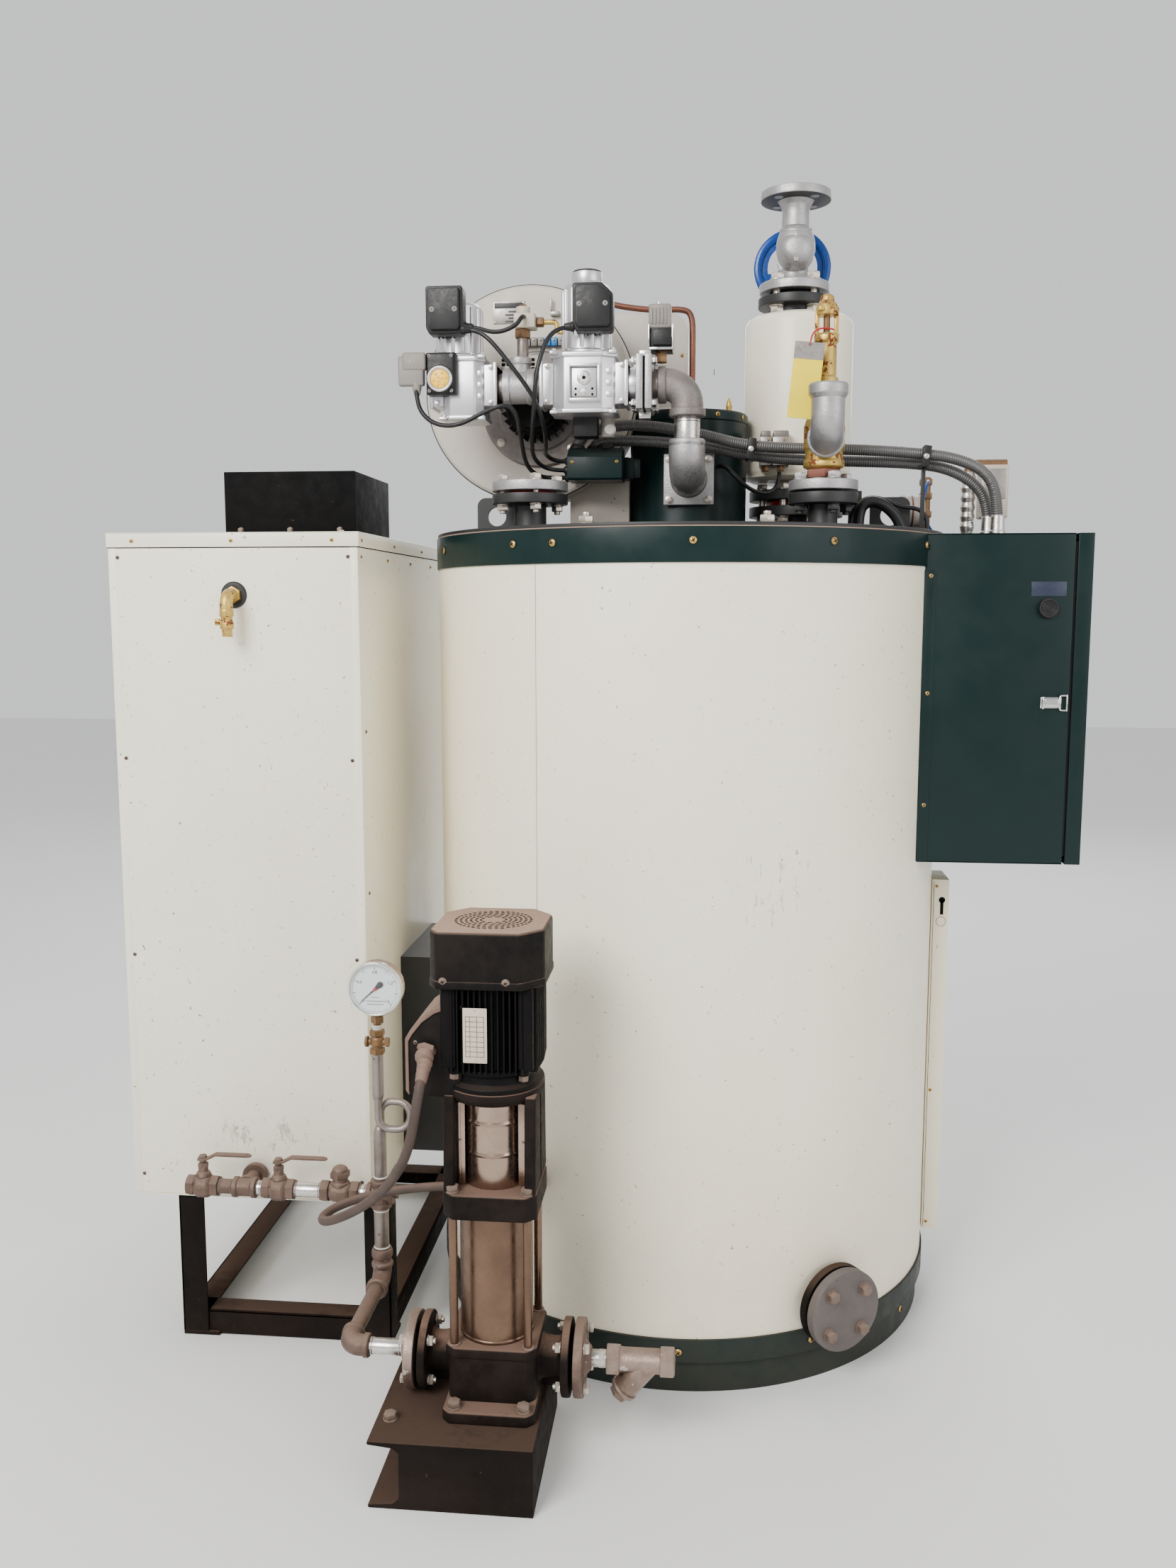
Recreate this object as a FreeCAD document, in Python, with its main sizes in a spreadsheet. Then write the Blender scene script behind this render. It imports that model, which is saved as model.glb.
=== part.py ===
import FreeCAD, Part

import math
import os
import re

import Sketcher
from FreeCAD import Placement, Rotation, Vector

# A vertical gas-fired steam boiler with its burner, economiser casing, feed pump and control
# cabinet. Sizes are in millimetres: +X is to the right of someone facing the boiler, +Y leads
# away from them, +Z is up, and the origin is on the floor under the middle of the shell.

SIZES = {
    # boiler shell and its sheet jacket
    "jacket_radius": 500, "jacket_sheet": 3, "shell_wall": 20, "shell_gap": 1,
    "skirt_height": 60, "jacket_bottom": 104, "jacket_top": 1479, "band_top": 1538,
    "roof_thick": 8, "roof_z": 1546, "roof_lip": 2, "band_proud": 4, "seam_angle": 60,
    "skirt_wall": 14, "skirt_inset": 6, "base_thick": 10, "sheet_fit": 0.5,
    "strip_width": 100, "strip_depth": 34, "strip_bottom": 122, "strip_top": 862,
    # blanked nozzles and lifting lugs
    "blank_radius": 70, "blank_thick": 18, "blank_gap": 5, "nozzle_neck": 30, "raised_face": 36,
    "nozzle_x": -284, "nozzle_y": -257, "nozzle_z": 1593,
    "hand_radius": 75, "hand_thick": 16, "hand_neck": 40, "hand_height": 148,
    "hand_angle": -55.6, "hand_reach": 512,
    "lug_thick": 14, "lug_width": 74, "lug_height": 66, "lug_round": 16, "lug_eye": 18,
    "lug_eye_height": 31, "lug_left_x": -358, "lug_left_y": -190, "lug_right_x": 386,
    "lug_right_y": -134,
    # steam separator on its pair of flanges, and the two level probes on its side
    "separator_x": 219, "separator_y": 70, "separator_radius": 108, "separator_base": 1658,
    "separator_top": 1982, "separator_round": 16, "foot_neck": 38, "foot_radius": 95,
    "foot_low": 1588, "foot_high": 1620, "foot_thick": 20, "crown_neck": 45,
    "crown_flange": 2003, "gasket_base": 2021, "gasket_radius": 50,
    "probe_front": -75, "probe_back": -24, "probe_low": 1669, "probe_high": 1746,
    "probe_left": 141, "probe_middle": 163, "probe_split": 165, "probe_right": 198,
    # steam stop valve and its handwheel
    "valve_x": 208, "valve_flange": 70, "valve_base": 2031, "valve_base_thick": 19,
    "valve_top": 2225, "valve_top_thick": 16, "valve_neck": 27, "valve_ball": 38,
    "valve_ball_y": 46, "valve_bore": 16, "valve_bore_depth": 60, "bolt_circle": 50,
    "bolt_hole": 9, "stem_z": 2108, "bonnet_radius": 24, "bonnet_end": 130,
    "gland_radius": 10, "gland_end": 165, "stem_radius": 5, "stem_end": 200, "wheel_y": 184,
    "wheel_radius": 80, "wheel_rim": 8, "wheel_hub": 13, "hub_start": 177, "hub_length": 18,
    "wheel_spoke": 5, "stem_fit": 0.1,
    # safety valve: heights are above the underside of its flange
    "safety_x": 252, "safety_y": -250, "safety_flange": 62.5, "safety_z": 1590,
    "safety_neck": 26, "safety_gap_low": 20, "safety_gap_high": 24, "safety_gasket": 28,
    "safety_cover": 44, "safety_throat": 24, "safety_hex": 62, "safety_body": 37,
    "safety_shoulder": 66, "safety_body_top": 150, "safety_bonnet": 22, "safety_bonnet_low": 172,
    "safety_bonnet_top": 300, "safety_yoke": 17, "safety_yoke_top": 330, "safety_cap": 20,
    "safety_cap_top": 368, "outlet_radius": 31, "outlet_bore": 21, "outlet_top": 1791,
    "outlet_bead": 4, "outlet_rim": 18, "outlet_depth": 40, "outlet_z": 1702,
    "outlet_out": -329, "outlet_bend": 38,
    # burner barrel, fan, fan motor and air duct
    "barrel_radius": 118, "barrel_top": 1784, "fan_x": -303, "fan_z": 1815, "fan_radius": 205,
    "fan_front": -118, "fan_depth": 135, "fan_foot_left": -232, "fan_foot_front": -60,
    "fan_foot_back": 10, "fan_foot_top": 1700, "motor_radius": 66, "motor_ring": 110,
    "ring_thick": 6, "motor_length": 82, "shaft_x": -285, "shaft_z": 1785,
    "duct_left": -190, "duct_right": -2, "duct_top": 1976, "duct_half": 50, "duct_round": 40,
    # gas train
    "gas_y": -263, "gas_z": 1804, "gas_depth": 46, "gas_hub": 40, "gas_hub_length": 22,
    "gas_pipe": 24, "tee_pipe": 30, "gas_inlet_bore": 17, "gas_inlet_depth": 26,
    "inlet_left": -462, "inlet_right": -338, "inlet_low": 1742, "inlet_high": 1854,
    "inlet_coil_x": -413, "inlet_coil": 40, "inlet_coil_top": 1952, "inlet_cover_left": -460,
    "inlet_cover_right": -393, "main_left": -261, "main_right": -100, "main_low": 1751,
    "main_high": 1858, "main_coil_x": -178, "main_coil": 43, "main_coil_top": 1980,
    "main_cap": 27, "main_cap_top": 2007, "main_cover_left": -197, "main_cover_right": -125,
    "cover_low": 1888, "cover_high": 1971, "cover_front": -337, "cover_back": -293,
    "coil_back": 8, "lamp_x": -435, "lamp_z": 1810, "lamp_radius": 22, "lamp_length": 12,
    "holder_half": 27, "holder_low": 1784, "holder_high": 1858, "holder_front": -328,
    "plug_left": -513, "plug_low": 1797, "window_half": 30, "window_low": 1770,
    "window_high": 1836, "window_front": -315, "under_left": -205, "under_right": -125,
    "under_front": -252, "under_back": -206, "under_low": 1716,
    "pilot_x": -295, "pilot_pipe": 11, "pilot_low": 1906, "pilot_high": 1949,
    "pilot_left": -309, "pilot_right": -270, "pilot_half": 19,
    "pair_left": -86, "pair_right": -57, "pair_half": 60, "drop_x": 5, "entry_z": 1649,
    "entry_plate": 97, "plate_front": 12, "elbow_bend": 42, "roof_clear": 4,
    "switch_left": -66, "switch_right": -20, "switch_low": 1865, "switch_high": 1952,
    "switch_front": -271, "switch_back": -217,
    # junction box, conduits and small lines
    "box_left": -222, "box_right": -118, "box_front": -202, "box_back": -128, "box_low": 1643,
    "box_high": 1704, "arm_right": -52, "arm_front": -136, "arm_back": -90, "arm_low": 1650,
    "arm_high": 1690, "conduit_radius": 10.5, "copper_radius": 6, "wire_radius": 4,
    # control cabinet
    "cabinet_left": 441, "cabinet_back": 506, "cabinet_front": 704, "door_front": 738,
    "cabinet_half": 240, "cabinet_bottom": 932, "cabinet_sheet": 3, "door_gap": 5,
    "hinge_out": 4, "hinge_side": 7, "hinge_pin": 5, "hinge_height": 60, "hinge_low": 1060,
    "hinge_high": 1390, "hinge_leaf": 26, "hinge_arm": 10, "hinge_thin": 1.5,
    "latch_left": 653, "latch_right": 700, "latch_low": 1217, "latch_high": 1247,
    "latch_deep": 12, "buzzer_x": 660, "buzzer_z": 1403, "buzzer_radius": 18,
    # economiser casing, its flue, its vent cock and its frame
    "casing_left": -1033, "casing_right": -571, "casing_front": -407, "casing_back": 343,
    "casing_bottom": 289, "casing_sheet": 3, "lid_lip": 26, "lid_proud": 2, "lid_fit": 0.3,
    "flue_left": -880, "flue_right": -624, "flue_front": -226, "flue_back": 34,
    "flue_top": 1662, "flue_wall": 4, "link_bottom": 290, "link_top": 700, "link_half": 150,
    "link_end": -460, "angle_size": 50, "angle_wall": 5, "beam_low": 2, "frame_left": -954,
    "frame_right": -540, "frame_front": -397, "frame_back": 333, "pad_size": 72,
    "pad_thick": 8, "pad_hole": 9, "cock_x": -800, "cock_z": 1427, "cock_out": -447,
    "spout_radius": 12, "spout_bend": 18, "spout_drop": 30, "cock_collar": 20,
    "collar_thick": 4, "cock_radius": 9, "cock_low": 1353, "cock_length": 50,
    "wing_low": 1373, "wing_high": 1385, "wing_long": 22,
    # feed water line: valves, check valve, riser and gauge
    "feed_y": -470, "feed_z": 340, "feed_pipe": 13.5, "feed_body": 22, "valve_half": 30,
    "barrel_half": 17, "hex_radius": 18, "stem_neck": 9, "stem_pin": 4, "riser_x": -536,
    "drain_x": -872, "feed_x": -728, "check_x": -612, "check_half": 36, "check_radius": 19,
    "check_dome": 17, "dome_height": 50, "entry_x": -792, "tee_radius": 19, "tee_half": 22,
    "entry_collar": 24, "entry_thick": 16, "joint_half": 25, "lever_length": 86,
    "lever_width": 14, "lever_thick": 4, "lever_z": 390, "lever_boss": 10, "boss_thick": 6,
    "lever_fit": 0.05, "drain_bore": 9, "drain_depth": 14,
    "union_low": 200, "union_height": 34, "pipe_bend": 22,
    "gauge_z": 728, "gauge_radius": 50, "gauge_depth": 32, "gauge_rim": 6, "gauge_fit": 0.1,
    "siphon_z": 490, "siphon_loop": 24, "siphon_pipe": 7, "siphon_x": -501, "siphon_y": -476,
    "riser_pipe": 9.5, "cock_bottom": 602, "gauge_cock": 12, "gauge_cock_high": 50,
    "gauge_handle": 4, "handle_long": 44, "handle_z": 628, "gauge_neck": 6,
    # feed pump on its pedestal
    "pump_x": -282, "pump_y": -700, "port_z": 177, "port_half": 125, "port_radius": 62.5,
    "port_flange": 16, "port_gap": 6, "port_seal": 30, "port_neck": 32,
    "pedestal_height": 112, "pedestal_left": -463, "pedestal_right": -200,
    "pedestal_front": -862, "pedestal_back": -560, "channel_flange": 50, "channel_wall": 6,
    "foot_length": 210, "foot_width": 150, "foot_plate": 20, "pump_block": 73,
    "sleeve_radius": 60, "sleeve_bottom": 224, "stool_bottom": 440, "stool_top": 648,
    "stool_half": 76, "plinth_height": 42, "cheek_inner": 54, "cheek_outer": 70,
    "cheek_half": 62, "stool_collar": 80, "stool_ring": 22, "guard_radius": 50,
    "guard_sheet": 3, "stay_offset": 60, "stay_radius": 7, "motor_bottom": 650,
    "fin_radius": 83, "cowl_bottom": 820, "cowl_top": 912, "cowl_half": 90,
    "wiring_left": -415, "wiring_right": -322, "wiring_low": 634, "wiring_high": 786,
    "wiring_half": 59, "lead_gland": 13, "gland_long": 26, "gland_x": -379, "gland_z": 716,
    "strainer_end": 12, "strainer_run": 21, "strainer_hex": 27, "hex_length": 24,
    "strainer_leg": 20, "leg_length": 84, "leg_back": 46, "strainer_bore": 13,
    "bore_depth": 22, "lead_radius": 8, "socket_left": -300, "socket_right": -250,
    "socket_front": -512, "socket_back": -400, "socket_low": 350, "socket_high": 400,
    # pressure controls behind the cabinet, and small fittings on the top plate
    "rear_y": 60, "siphon_tube": 15, "siphon_tube_x": 562, "control_pipe": 11,
    "control_pipe_z": 1690, "control_left": 583, "control_right": 637, "control_half": 24,
    "control_low": 1583, "manifold_radius": 11, "manifold_x": 478, "manifold_top": 1668,
    "drum_radius": 32, "drum_left": 412, "drum_right": 458, "drum_y": -60, "drum_z": 1589,
    "drum_foot": 14, "stub_radius": 13, "stub_x": 326, "stub_top": 1632,
}

TURNS = {
    "x": Rotation(Vector(0, 0, 1), Vector(1, 0, 0)),
    "y": Rotation(Vector(0, 0, 1), Vector(0, 1, 0)),
    "-y": Rotation(Vector(0, 0, 1), Vector(0, -1, 0)),
    "z": Rotation(),
}

FULL_TURN = 360
HALF_TURN = 180
FLANGE_HOLE_ANGLES = (45, 135, 225, 315)
WHEEL_SPOKE_ANGLES = (90, 210, 330)
STRAINER_SLANT = Vector(-5, 0, -6)
ARC_SHARE = 0.45
TOLERANCE = 0.01
VOLUME_SLACK = 0.02

LEAD_ROUTE = [
    (-379, -779.2, 699.2), (-380, -800, 681), (-384, -814, 650), (-391, -814, 610),
    (-405, -796, 560), (-428, -766, 514), (-462, -732, 464), (-505, -696, 420),
    (-552, -662, 383), (-594, -628, 355), (-614, -584, 342), (-604, -538, 340),
    (-566, -508, 346), (-518, -506, 359), (-466, -509, 370), (-410, -510, 377),
    (-356, -508, 376), (-302.5, -501, 375),
]
UPPER_CONDUIT = [
    (-206, -165, 1704.3), (-206, -165, 1721), (-176, -165, 1738), (-118, -166, 1748),
    (-50, -168, 1743), (34, -169, 1727), (110, -168, 1706), (210, -164, 1700),
    (320, -163, 1697), (420, -164, 1690), (500, -165, 1680), (560, -165, 1652),
    (579, -165, 1598), (579, -165, 1538.3),
]
LOWER_CONDUIT = [
    (-177, -140, 1704.3), (-177, -140, 1716), (-150, -140, 1722), (-92, -140, 1721),
    (-26, -140, 1716), (40, -141, 1709), (110, -140, 1692), (200, -138, 1682),
    (320, -138, 1678), (420, -138, 1674), (490, -139, 1664), (545, -140, 1632),
    (566, -140, 1590), (567, -140, 1538.3),
]
COPPER_ROUTE = [
    (-184, -30, 1986.6), (-184, -30, 1999), (-162, -30, 2001), (-130, -30, 1992),
    (-66, -30, 1984), (-10, -30, 1986), (6, -30, 1974), (8, -30, 1930), (7, -30, 1784.3),
]
BURNER_LEADS = [
    [(-392.5, -322, 1896), (-377, -322, 1896), (-348, -332, 1882), (-302, -332, 1826),
     (-260, -328, 1768), (-250, -296, 1722), (-256, -240, 1700), (-264, -200, 1690),
     (-246, -172, 1680), (-222.5, -172, 1680)],
    [(-197.5, -322, 1897), (-214, -322, 1897), (-238, -334, 1882), (-254, -346, 1838),
     (-262, -347, 1788), (-266, -334, 1744), (-274, -300, 1706), (-280, -250, 1682),
     (-270, -208, 1668), (-246, -189, 1662), (-222.5, -189, 1662)],
    [(-480, -322, 1796.4), (-480, -322, 1780), (-472, -324, 1752), (-445, -326, 1730),
     (-404, -326, 1728), (-356, -327, 1752), (-316, -327, 1766), (-298, -316, 1750),
     (-296, -290, 1710), (-294, -238, 1664), (-274, -190, 1650), (-248, -172, 1650),
     (-222.5, -172, 1650)],
    [(-290, -282.5, 1924), (-290, -296, 1924), (-302, -302, 1904), (-338, -302, 1892),
     (-376, -302, 1904), (-392.5, -302, 1904)],
    [(63.2, -101.2, 1676), (72, -115.3, 1676), (92, -132, 1656), (122, -124, 1628),
     (156, -88, 1622), (180, -52, 1644), (180, -52, 1668.5)],
    [(308, -160, 1546.5), (308, -160, 1576), (330, -164, 1608), (364, -160, 1610),
     (400, -154, 1592), (436, -150, 1590), (454, -148, 1572), (454, -148, 1546.5)],
]

doc = FreeCAD.newDocument("SteamBoiler")
sheet = doc.addObject("Spreadsheet::Sheet", "Sizes")
for row, (alias, size) in enumerate(SIZES.items(), start=1):
    sheet.set("A%d" % row, alias)
    sheet.set("B%d" % row, str(size))
    sheet.setAlias("B%d" % row, alias)
doc.recompute()

nodes = []


def bound(formula):
    """Write a formula of size names the way an expression reads the sheet."""
    return re.sub(r"[a-z][a-z_]+", lambda word: "Sizes." + word.group(), str(formula))


def read(formula):
    """The value, in millimetres, of a formula of size names."""
    return float(sheet.evalExpression(bound(formula)))


def turned(turn):
    """A rotation, given as one or as the axis that Z is turned onto."""
    return turn if isinstance(turn, Rotation) else TURNS[turn]


def put(item, at=(0, 0, 0), turn="z"):
    """Place an object: a turn, then three formulas of size names for its position."""
    item.Placement = Placement(Vector(), turned(turn))
    for axis, formula in zip("xyz", at):
        item.setExpression("Placement.Base." + axis, bound(formula))
    return item


def name_node(label, item):
    """Make an object one of the part's pieces, under its own name."""
    item.Label = label
    nodes.append(item)
    return item


def block(length, width, height, at=(0, 0, 0), turn="z"):
    """A box whose corner is at the given place."""
    item = doc.addObject("Part::Box", "Block")
    item.setExpression("Length", bound(length))
    item.setExpression("Width", bound(width))
    item.setExpression("Height", bound(height))
    return put(item, at, turn)


def span(low, high):
    """A box between two opposite corners, each three formulas."""
    length, width, height = ("(%s) - (%s)" % (top, base) for base, top in zip(low, high))
    return block(length, width, height, low)


def rod(radius, height, at=(0, 0, 0), turn="z"):
    """A cylinder that starts at the given place and runs along the turned Z axis."""
    item = doc.addObject("Part::Cylinder", "Rod")
    item.setExpression("Radius", bound(radius))
    item.setExpression("Height", bound(height))
    return put(item, at, turn)


def ball(radius, at):
    """A sphere around the given place."""
    item = doc.addObject("Part::Sphere", "Ball")
    item.setExpression("Radius", bound(radius))
    return put(item, at)


def ring(mean, thick, at, turn="z"):
    """A round ring of round section."""
    item = doc.addObject("Part::Torus", "Ring")
    item.setExpression("Radius1", bound(mean))
    item.setExpression("Radius2", bound(thick))
    return put(item, at, turn)


def fuse(*parts):
    """One solid out of several."""
    item = doc.addObject("Part::MultiFuse", "Fuse")
    item.Shapes = list(parts)
    return item


def cut(base, *tools):
    """A solid less one or more others."""
    item = doc.addObject("Part::Cut", "Cut")
    item.Base = base
    item.Tool = tools[0] if len(tools) == 1 else fuse(*tools)
    return item


def tube(outer, inner, height, at=(0, 0, 0), turn="z"):
    """A cylinder with a round bore right through it."""
    return cut(rod(outer, height, at, turn), rod(inner, height, at, turn))


def same(first, second):
    """Whether two lengths agree."""
    return abs(first - second) < TOLERANCE


def plane_of(body, role):
    """One of a body's own origin planes."""
    return next(plane for plane in body.Origin.OriginFeatures if plane.Role == role)


def outline_sketch(body, role, outline):
    """A closed outline of straight lines, every corner held by two bound distances."""
    sketch = body.newObject("Sketcher::SketchObject", "Outline")
    sketch.AttachmentSupport = [(plane_of(body, role), "")]
    sketch.MapMode = "FlatFace"
    corners = [Vector(read(across), read(along), 0) for across, along in outline]
    count = len(corners)
    for index in range(count):
        sketch.addGeometry(Part.LineSegment(corners[index], corners[(index + 1) % count]), False)
    for index in range(count):
        after = (index + 1) % count
        sketch.addConstraint(Sketcher.Constraint("Coincident", index, 2, after, 1))
    for index, (across, along) in enumerate(outline):
        corner = corners[index]
        for kind, axis, formula, value in (("DistanceX", -2, across, corner.x),
                                           ("DistanceY", -1, along, corner.y)):
            if same(value, 0):
                sketch.addConstraint(Sketcher.Constraint("PointOnObject", index, 1, axis))
                continue
            held = sketch.addConstraint(Sketcher.Constraint(kind, -1, 1, index, 1, value))
            sketch.setExpression("Constraints[%d]" % held, bound(formula))
    return sketch


def spun(outline, at=(0, 0, 0), turn="z"):
    """A body turned about its own Z axis from an outline of (radius, height) corners."""
    body = doc.addObject("PartDesign::Body", "Turned")
    sketch = outline_sketch(body, "XZ_Plane", outline)
    revolution = body.newObject("PartDesign::Revolution", "Revolution")
    revolution.Profile = sketch
    revolution.ReferenceAxis = (sketch, ["V_Axis"])
    revolution.Angle = FULL_TURN
    sketch.Visibility = False
    return put(body, at, turn)


def drilled_flange(axis, low):
    """The stop valve's open flange, with a bore and four bolt holes between its main axes."""
    disc = tube("valve_flange", "valve_bore", "valve_top_thick", axis + (low,))
    drills = []
    for angle in FLANGE_HOLE_ANGLES:
        place = ("%s + bolt_circle * %f" % (axis[0], math.cos(math.radians(angle))),
                 "%s + bolt_circle * %f" % (axis[1], math.sin(math.radians(angle))), low)
        drills.append(rod("bolt_hole", "valve_top_thick", place))
    return cut(disc, *drills)


def route(points, bend):
    """A wire of straight runs joined by tangent arcs; with no bend given, arcs are generous."""
    corners = [Vector(*(read(formula) for formula in point)) for point in points]
    edges = []
    start = corners[0]
    for before, corner, after in zip(corners, corners[1:], corners[2:]):
        come = (corner - before).normalize()
        leave = (after - corner).normalize()
        half = math.acos(max(-1.0, min(1.0, come.dot(leave)))) / 2
        shorter = min((corner - before).Length, (after - corner).Length)
        radius = read(bend) if bend else ARC_SHARE * shorter / math.tan(half)
        reach = radius * math.tan(half)
        first = corner - come * reach
        last = corner + leave * reach
        inward = (leave - come).normalize()
        middle = corner + inward * (radius / math.cos(half) - radius)
        edges.append(Part.LineSegment(start, first).toShape())
        edges.append(Part.Arc(first, middle, last).toShape())
        start = last
    edges.append(Part.LineSegment(start, corners[-1]).toShape())
    return Part.Wire(edges)


def bent(radius, points, bend=None):
    """A round bar or pipe that follows a route of corner points."""
    wire = route(points, bend)
    start = wire.Edges[0].Vertexes[0].Point
    ahead = (wire.Edges[0].Vertexes[1].Point - start).normalize()
    circle = Part.Wire([Part.makeCircle(read(radius), start, ahead)])
    item = doc.addObject("Part::Feature", "Bent")
    item.Shape = wire.makePipeShell([circle], True, True)
    item.Placement = Placement()
    return item


def sector(inner, outer, low, high, start_angle, sweep_angle):
    """Part of a round sheet about the Z axis, between two angles in degrees."""
    item = doc.addObject("Part::Feature", "Sector")
    whole = Part.makeCylinder(read(outer), read(high) - read(low), Vector(0, 0, read(low)),
                              Vector(0, 0, 1), sweep_angle)
    core = Part.makeCylinder(read(inner), read(high) - read(low), Vector(0, 0, read(low)))
    item.Shape = whole.cut(core)
    item.Placement = Placement(Vector(), Rotation(Vector(0, 0, 1), start_angle))
    return item


def boiler_shell():
    """The pressure shell, its ends, the sheet jacket and the two painted bands."""
    outer = "jacket_radius - jacket_sheet - shell_gap"
    name_node("boiler_shell", tube(outer, outer + " - shell_wall", "band_top - skirt_height",
                                   (0, 0, "skirt_height")))
    name_node("top_plate", rod("jacket_radius + roof_lip", "roof_thick", (0, 0, "band_top")))
    skirt_radius = "jacket_radius - skirt_inset"
    skirt = tube(skirt_radius, skirt_radius + " - skirt_wall", "skirt_height")
    name_node("base_skirt", fuse(skirt, rod(skirt_radius, "base_thick")))
    inner = "jacket_radius - jacket_sheet"
    seam = read("seam_angle")
    name_node("jacket_front", sector(inner, "jacket_radius", "jacket_bottom", "jacket_top",
                                     seam - HALF_TURN, HALF_TURN))
    name_node("jacket_rear", sector(inner, "jacket_radius", "jacket_bottom", "jacket_top",
                                    seam, HALF_TURN))
    proud = "jacket_radius + band_proud"
    upper = tube(proud, inner, "band_top - jacket_top", (0, 0, "jacket_top"))
    lower = tube(proud, inner, "jacket_bottom - skirt_height", (0, 0, "skirt_height"))
    name_node("jacket_bands", fuse(upper, lower))
    near = "jacket_radius + sheet_fit"
    name_node("side_strip", span((near, "-strip_width / 2", "strip_bottom"),
                                 (near + " + strip_depth", "strip_width / 2", "strip_top")))


def cover_outline(radius):
    """A blank cover's outline: its raised face first, then its disc."""
    return [(0, 0), ("raised_face", 0), ("raised_face", "blank_gap"), (radius, "blank_gap"),
            (radius, "blank_gap + blank_thick"), (0, "blank_gap + blank_thick")]


def nozzles_and_covers():
    """The two blanked hand-holes: one on the top plate and one low on the shell."""
    radial = Rotation(Vector(0, 0, 1), read("hand_angle")).multiply(TURNS["x"])
    angle = math.radians(read("hand_angle"))
    cosine, sine = math.cos(angle), math.sin(angle)

    def outward(distance):
        return ("(%s) * %f" % (distance, cosine), "(%s) * %f" % (distance, sine), "hand_height")

    top_neck = rod("nozzle_neck", "nozzle_z - roof_z", ("nozzle_x", "nozzle_y", "roof_z"))
    top_disc = rod("blank_radius", "blank_thick", ("nozzle_x", "nozzle_y", "nozzle_z"))
    low_neck = cut(rod("nozzle_neck", "hand_neck", outward("hand_reach - hand_neck"), radial),
                   rod("jacket_radius + sheet_fit", "jacket_top"))
    low_disc = rod("hand_radius", "hand_thick", outward("hand_reach"), radial)
    name_node("blind_nozzles", fuse(top_neck, top_disc, low_neck, low_disc))
    top_cover = spun(cover_outline("blank_radius"),
                     ("nozzle_x", "nozzle_y", "nozzle_z + blank_thick"))
    low_cover = spun(cover_outline("hand_radius"), outward("hand_reach + hand_thick"), radial)
    name_node("blind_covers", fuse(top_cover, low_cover))


def rounded(item, radius, chosen):
    """An object with some of its edges rounded; chosen says whether an edge is one of them."""
    doc.recompute()
    numbers = [number for number, edge in enumerate(item.Shape.Edges, start=1)
               if chosen(edge.Vertexes[0].Point, edge.Vertexes[-1].Point)]
    softened = doc.addObject("Part::Fillet", "Rounded")
    softened.Base = item
    softened.Edges = [(number, read(radius), read(radius)) for number in numbers]
    return softened


def lifting_lugs():
    """Two eye plates welded to the top plate."""
    plates = []
    top = read("roof_z + lug_height")
    for side in ("left", "right"):
        corner = ("lug_%s_x - lug_width / 2" % side, "lug_%s_y" % side, "roof_z")
        plate = block("lug_width", "lug_thick", "lug_height", corner)
        shaped = rounded(plate, "lug_round", lambda one, other: same(one.z, top)
                         and same(other.z, top) and same(one.x, other.x))
        eye = rod("lug_eye", "lug_thick", ("lug_%s_x" % side, "lug_%s_y" % side,
                                           "roof_z + lug_eye_height"), "y")
        plates.append(cut(shaped, eye))
    name_node("lifting_lugs", fuse(*plates))


def steam_separator():
    """The separator on its pair of flanges, the crown flange on top and the level probes."""
    axis = ("separator_x", "separator_y")
    vessel = spun([
        (0, 0), ("foot_neck", 0), ("foot_neck", "separator_base - foot_high"),
        ("separator_radius", "separator_base - foot_high + separator_round"),
        ("separator_radius", "separator_top - foot_high - separator_round"),
        ("separator_radius - separator_round", "separator_top - foot_high"),
        (0, "separator_top - foot_high")], axis + ("foot_high",))
    parts = [
        vessel,
        rod("foot_neck", "foot_high - roof_z", axis + ("roof_z",)),
        rod("foot_radius", "foot_thick", axis + ("foot_low",)),
        rod("foot_radius", "foot_thick", axis + ("foot_high",)),
        rod("crown_neck", "crown_flange - separator_top", axis + ("separator_top",)),
        rod("valve_flange + roof_lip", "gasket_base - crown_flange",
            ("valve_x", "separator_y", "crown_flange")),
        rod("gasket_radius", "valve_base - gasket_base",
            ("valve_x", "separator_y", "gasket_base")),
    ]
    name_node("steam_separator", fuse(*parts))
    around = rod("separator_radius + sheet_fit", "separator_top - roof_z", axis + ("roof_z",))
    first = span(("probe_left", "probe_front", "probe_low"),
                 ("probe_middle", "probe_back", "probe_high"))
    second = span(("probe_split", "probe_front", "probe_low"),
                  ("probe_right", "probe_back", "probe_high"))
    name_node("level_probes", cut(fuse(first, second), around))


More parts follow.
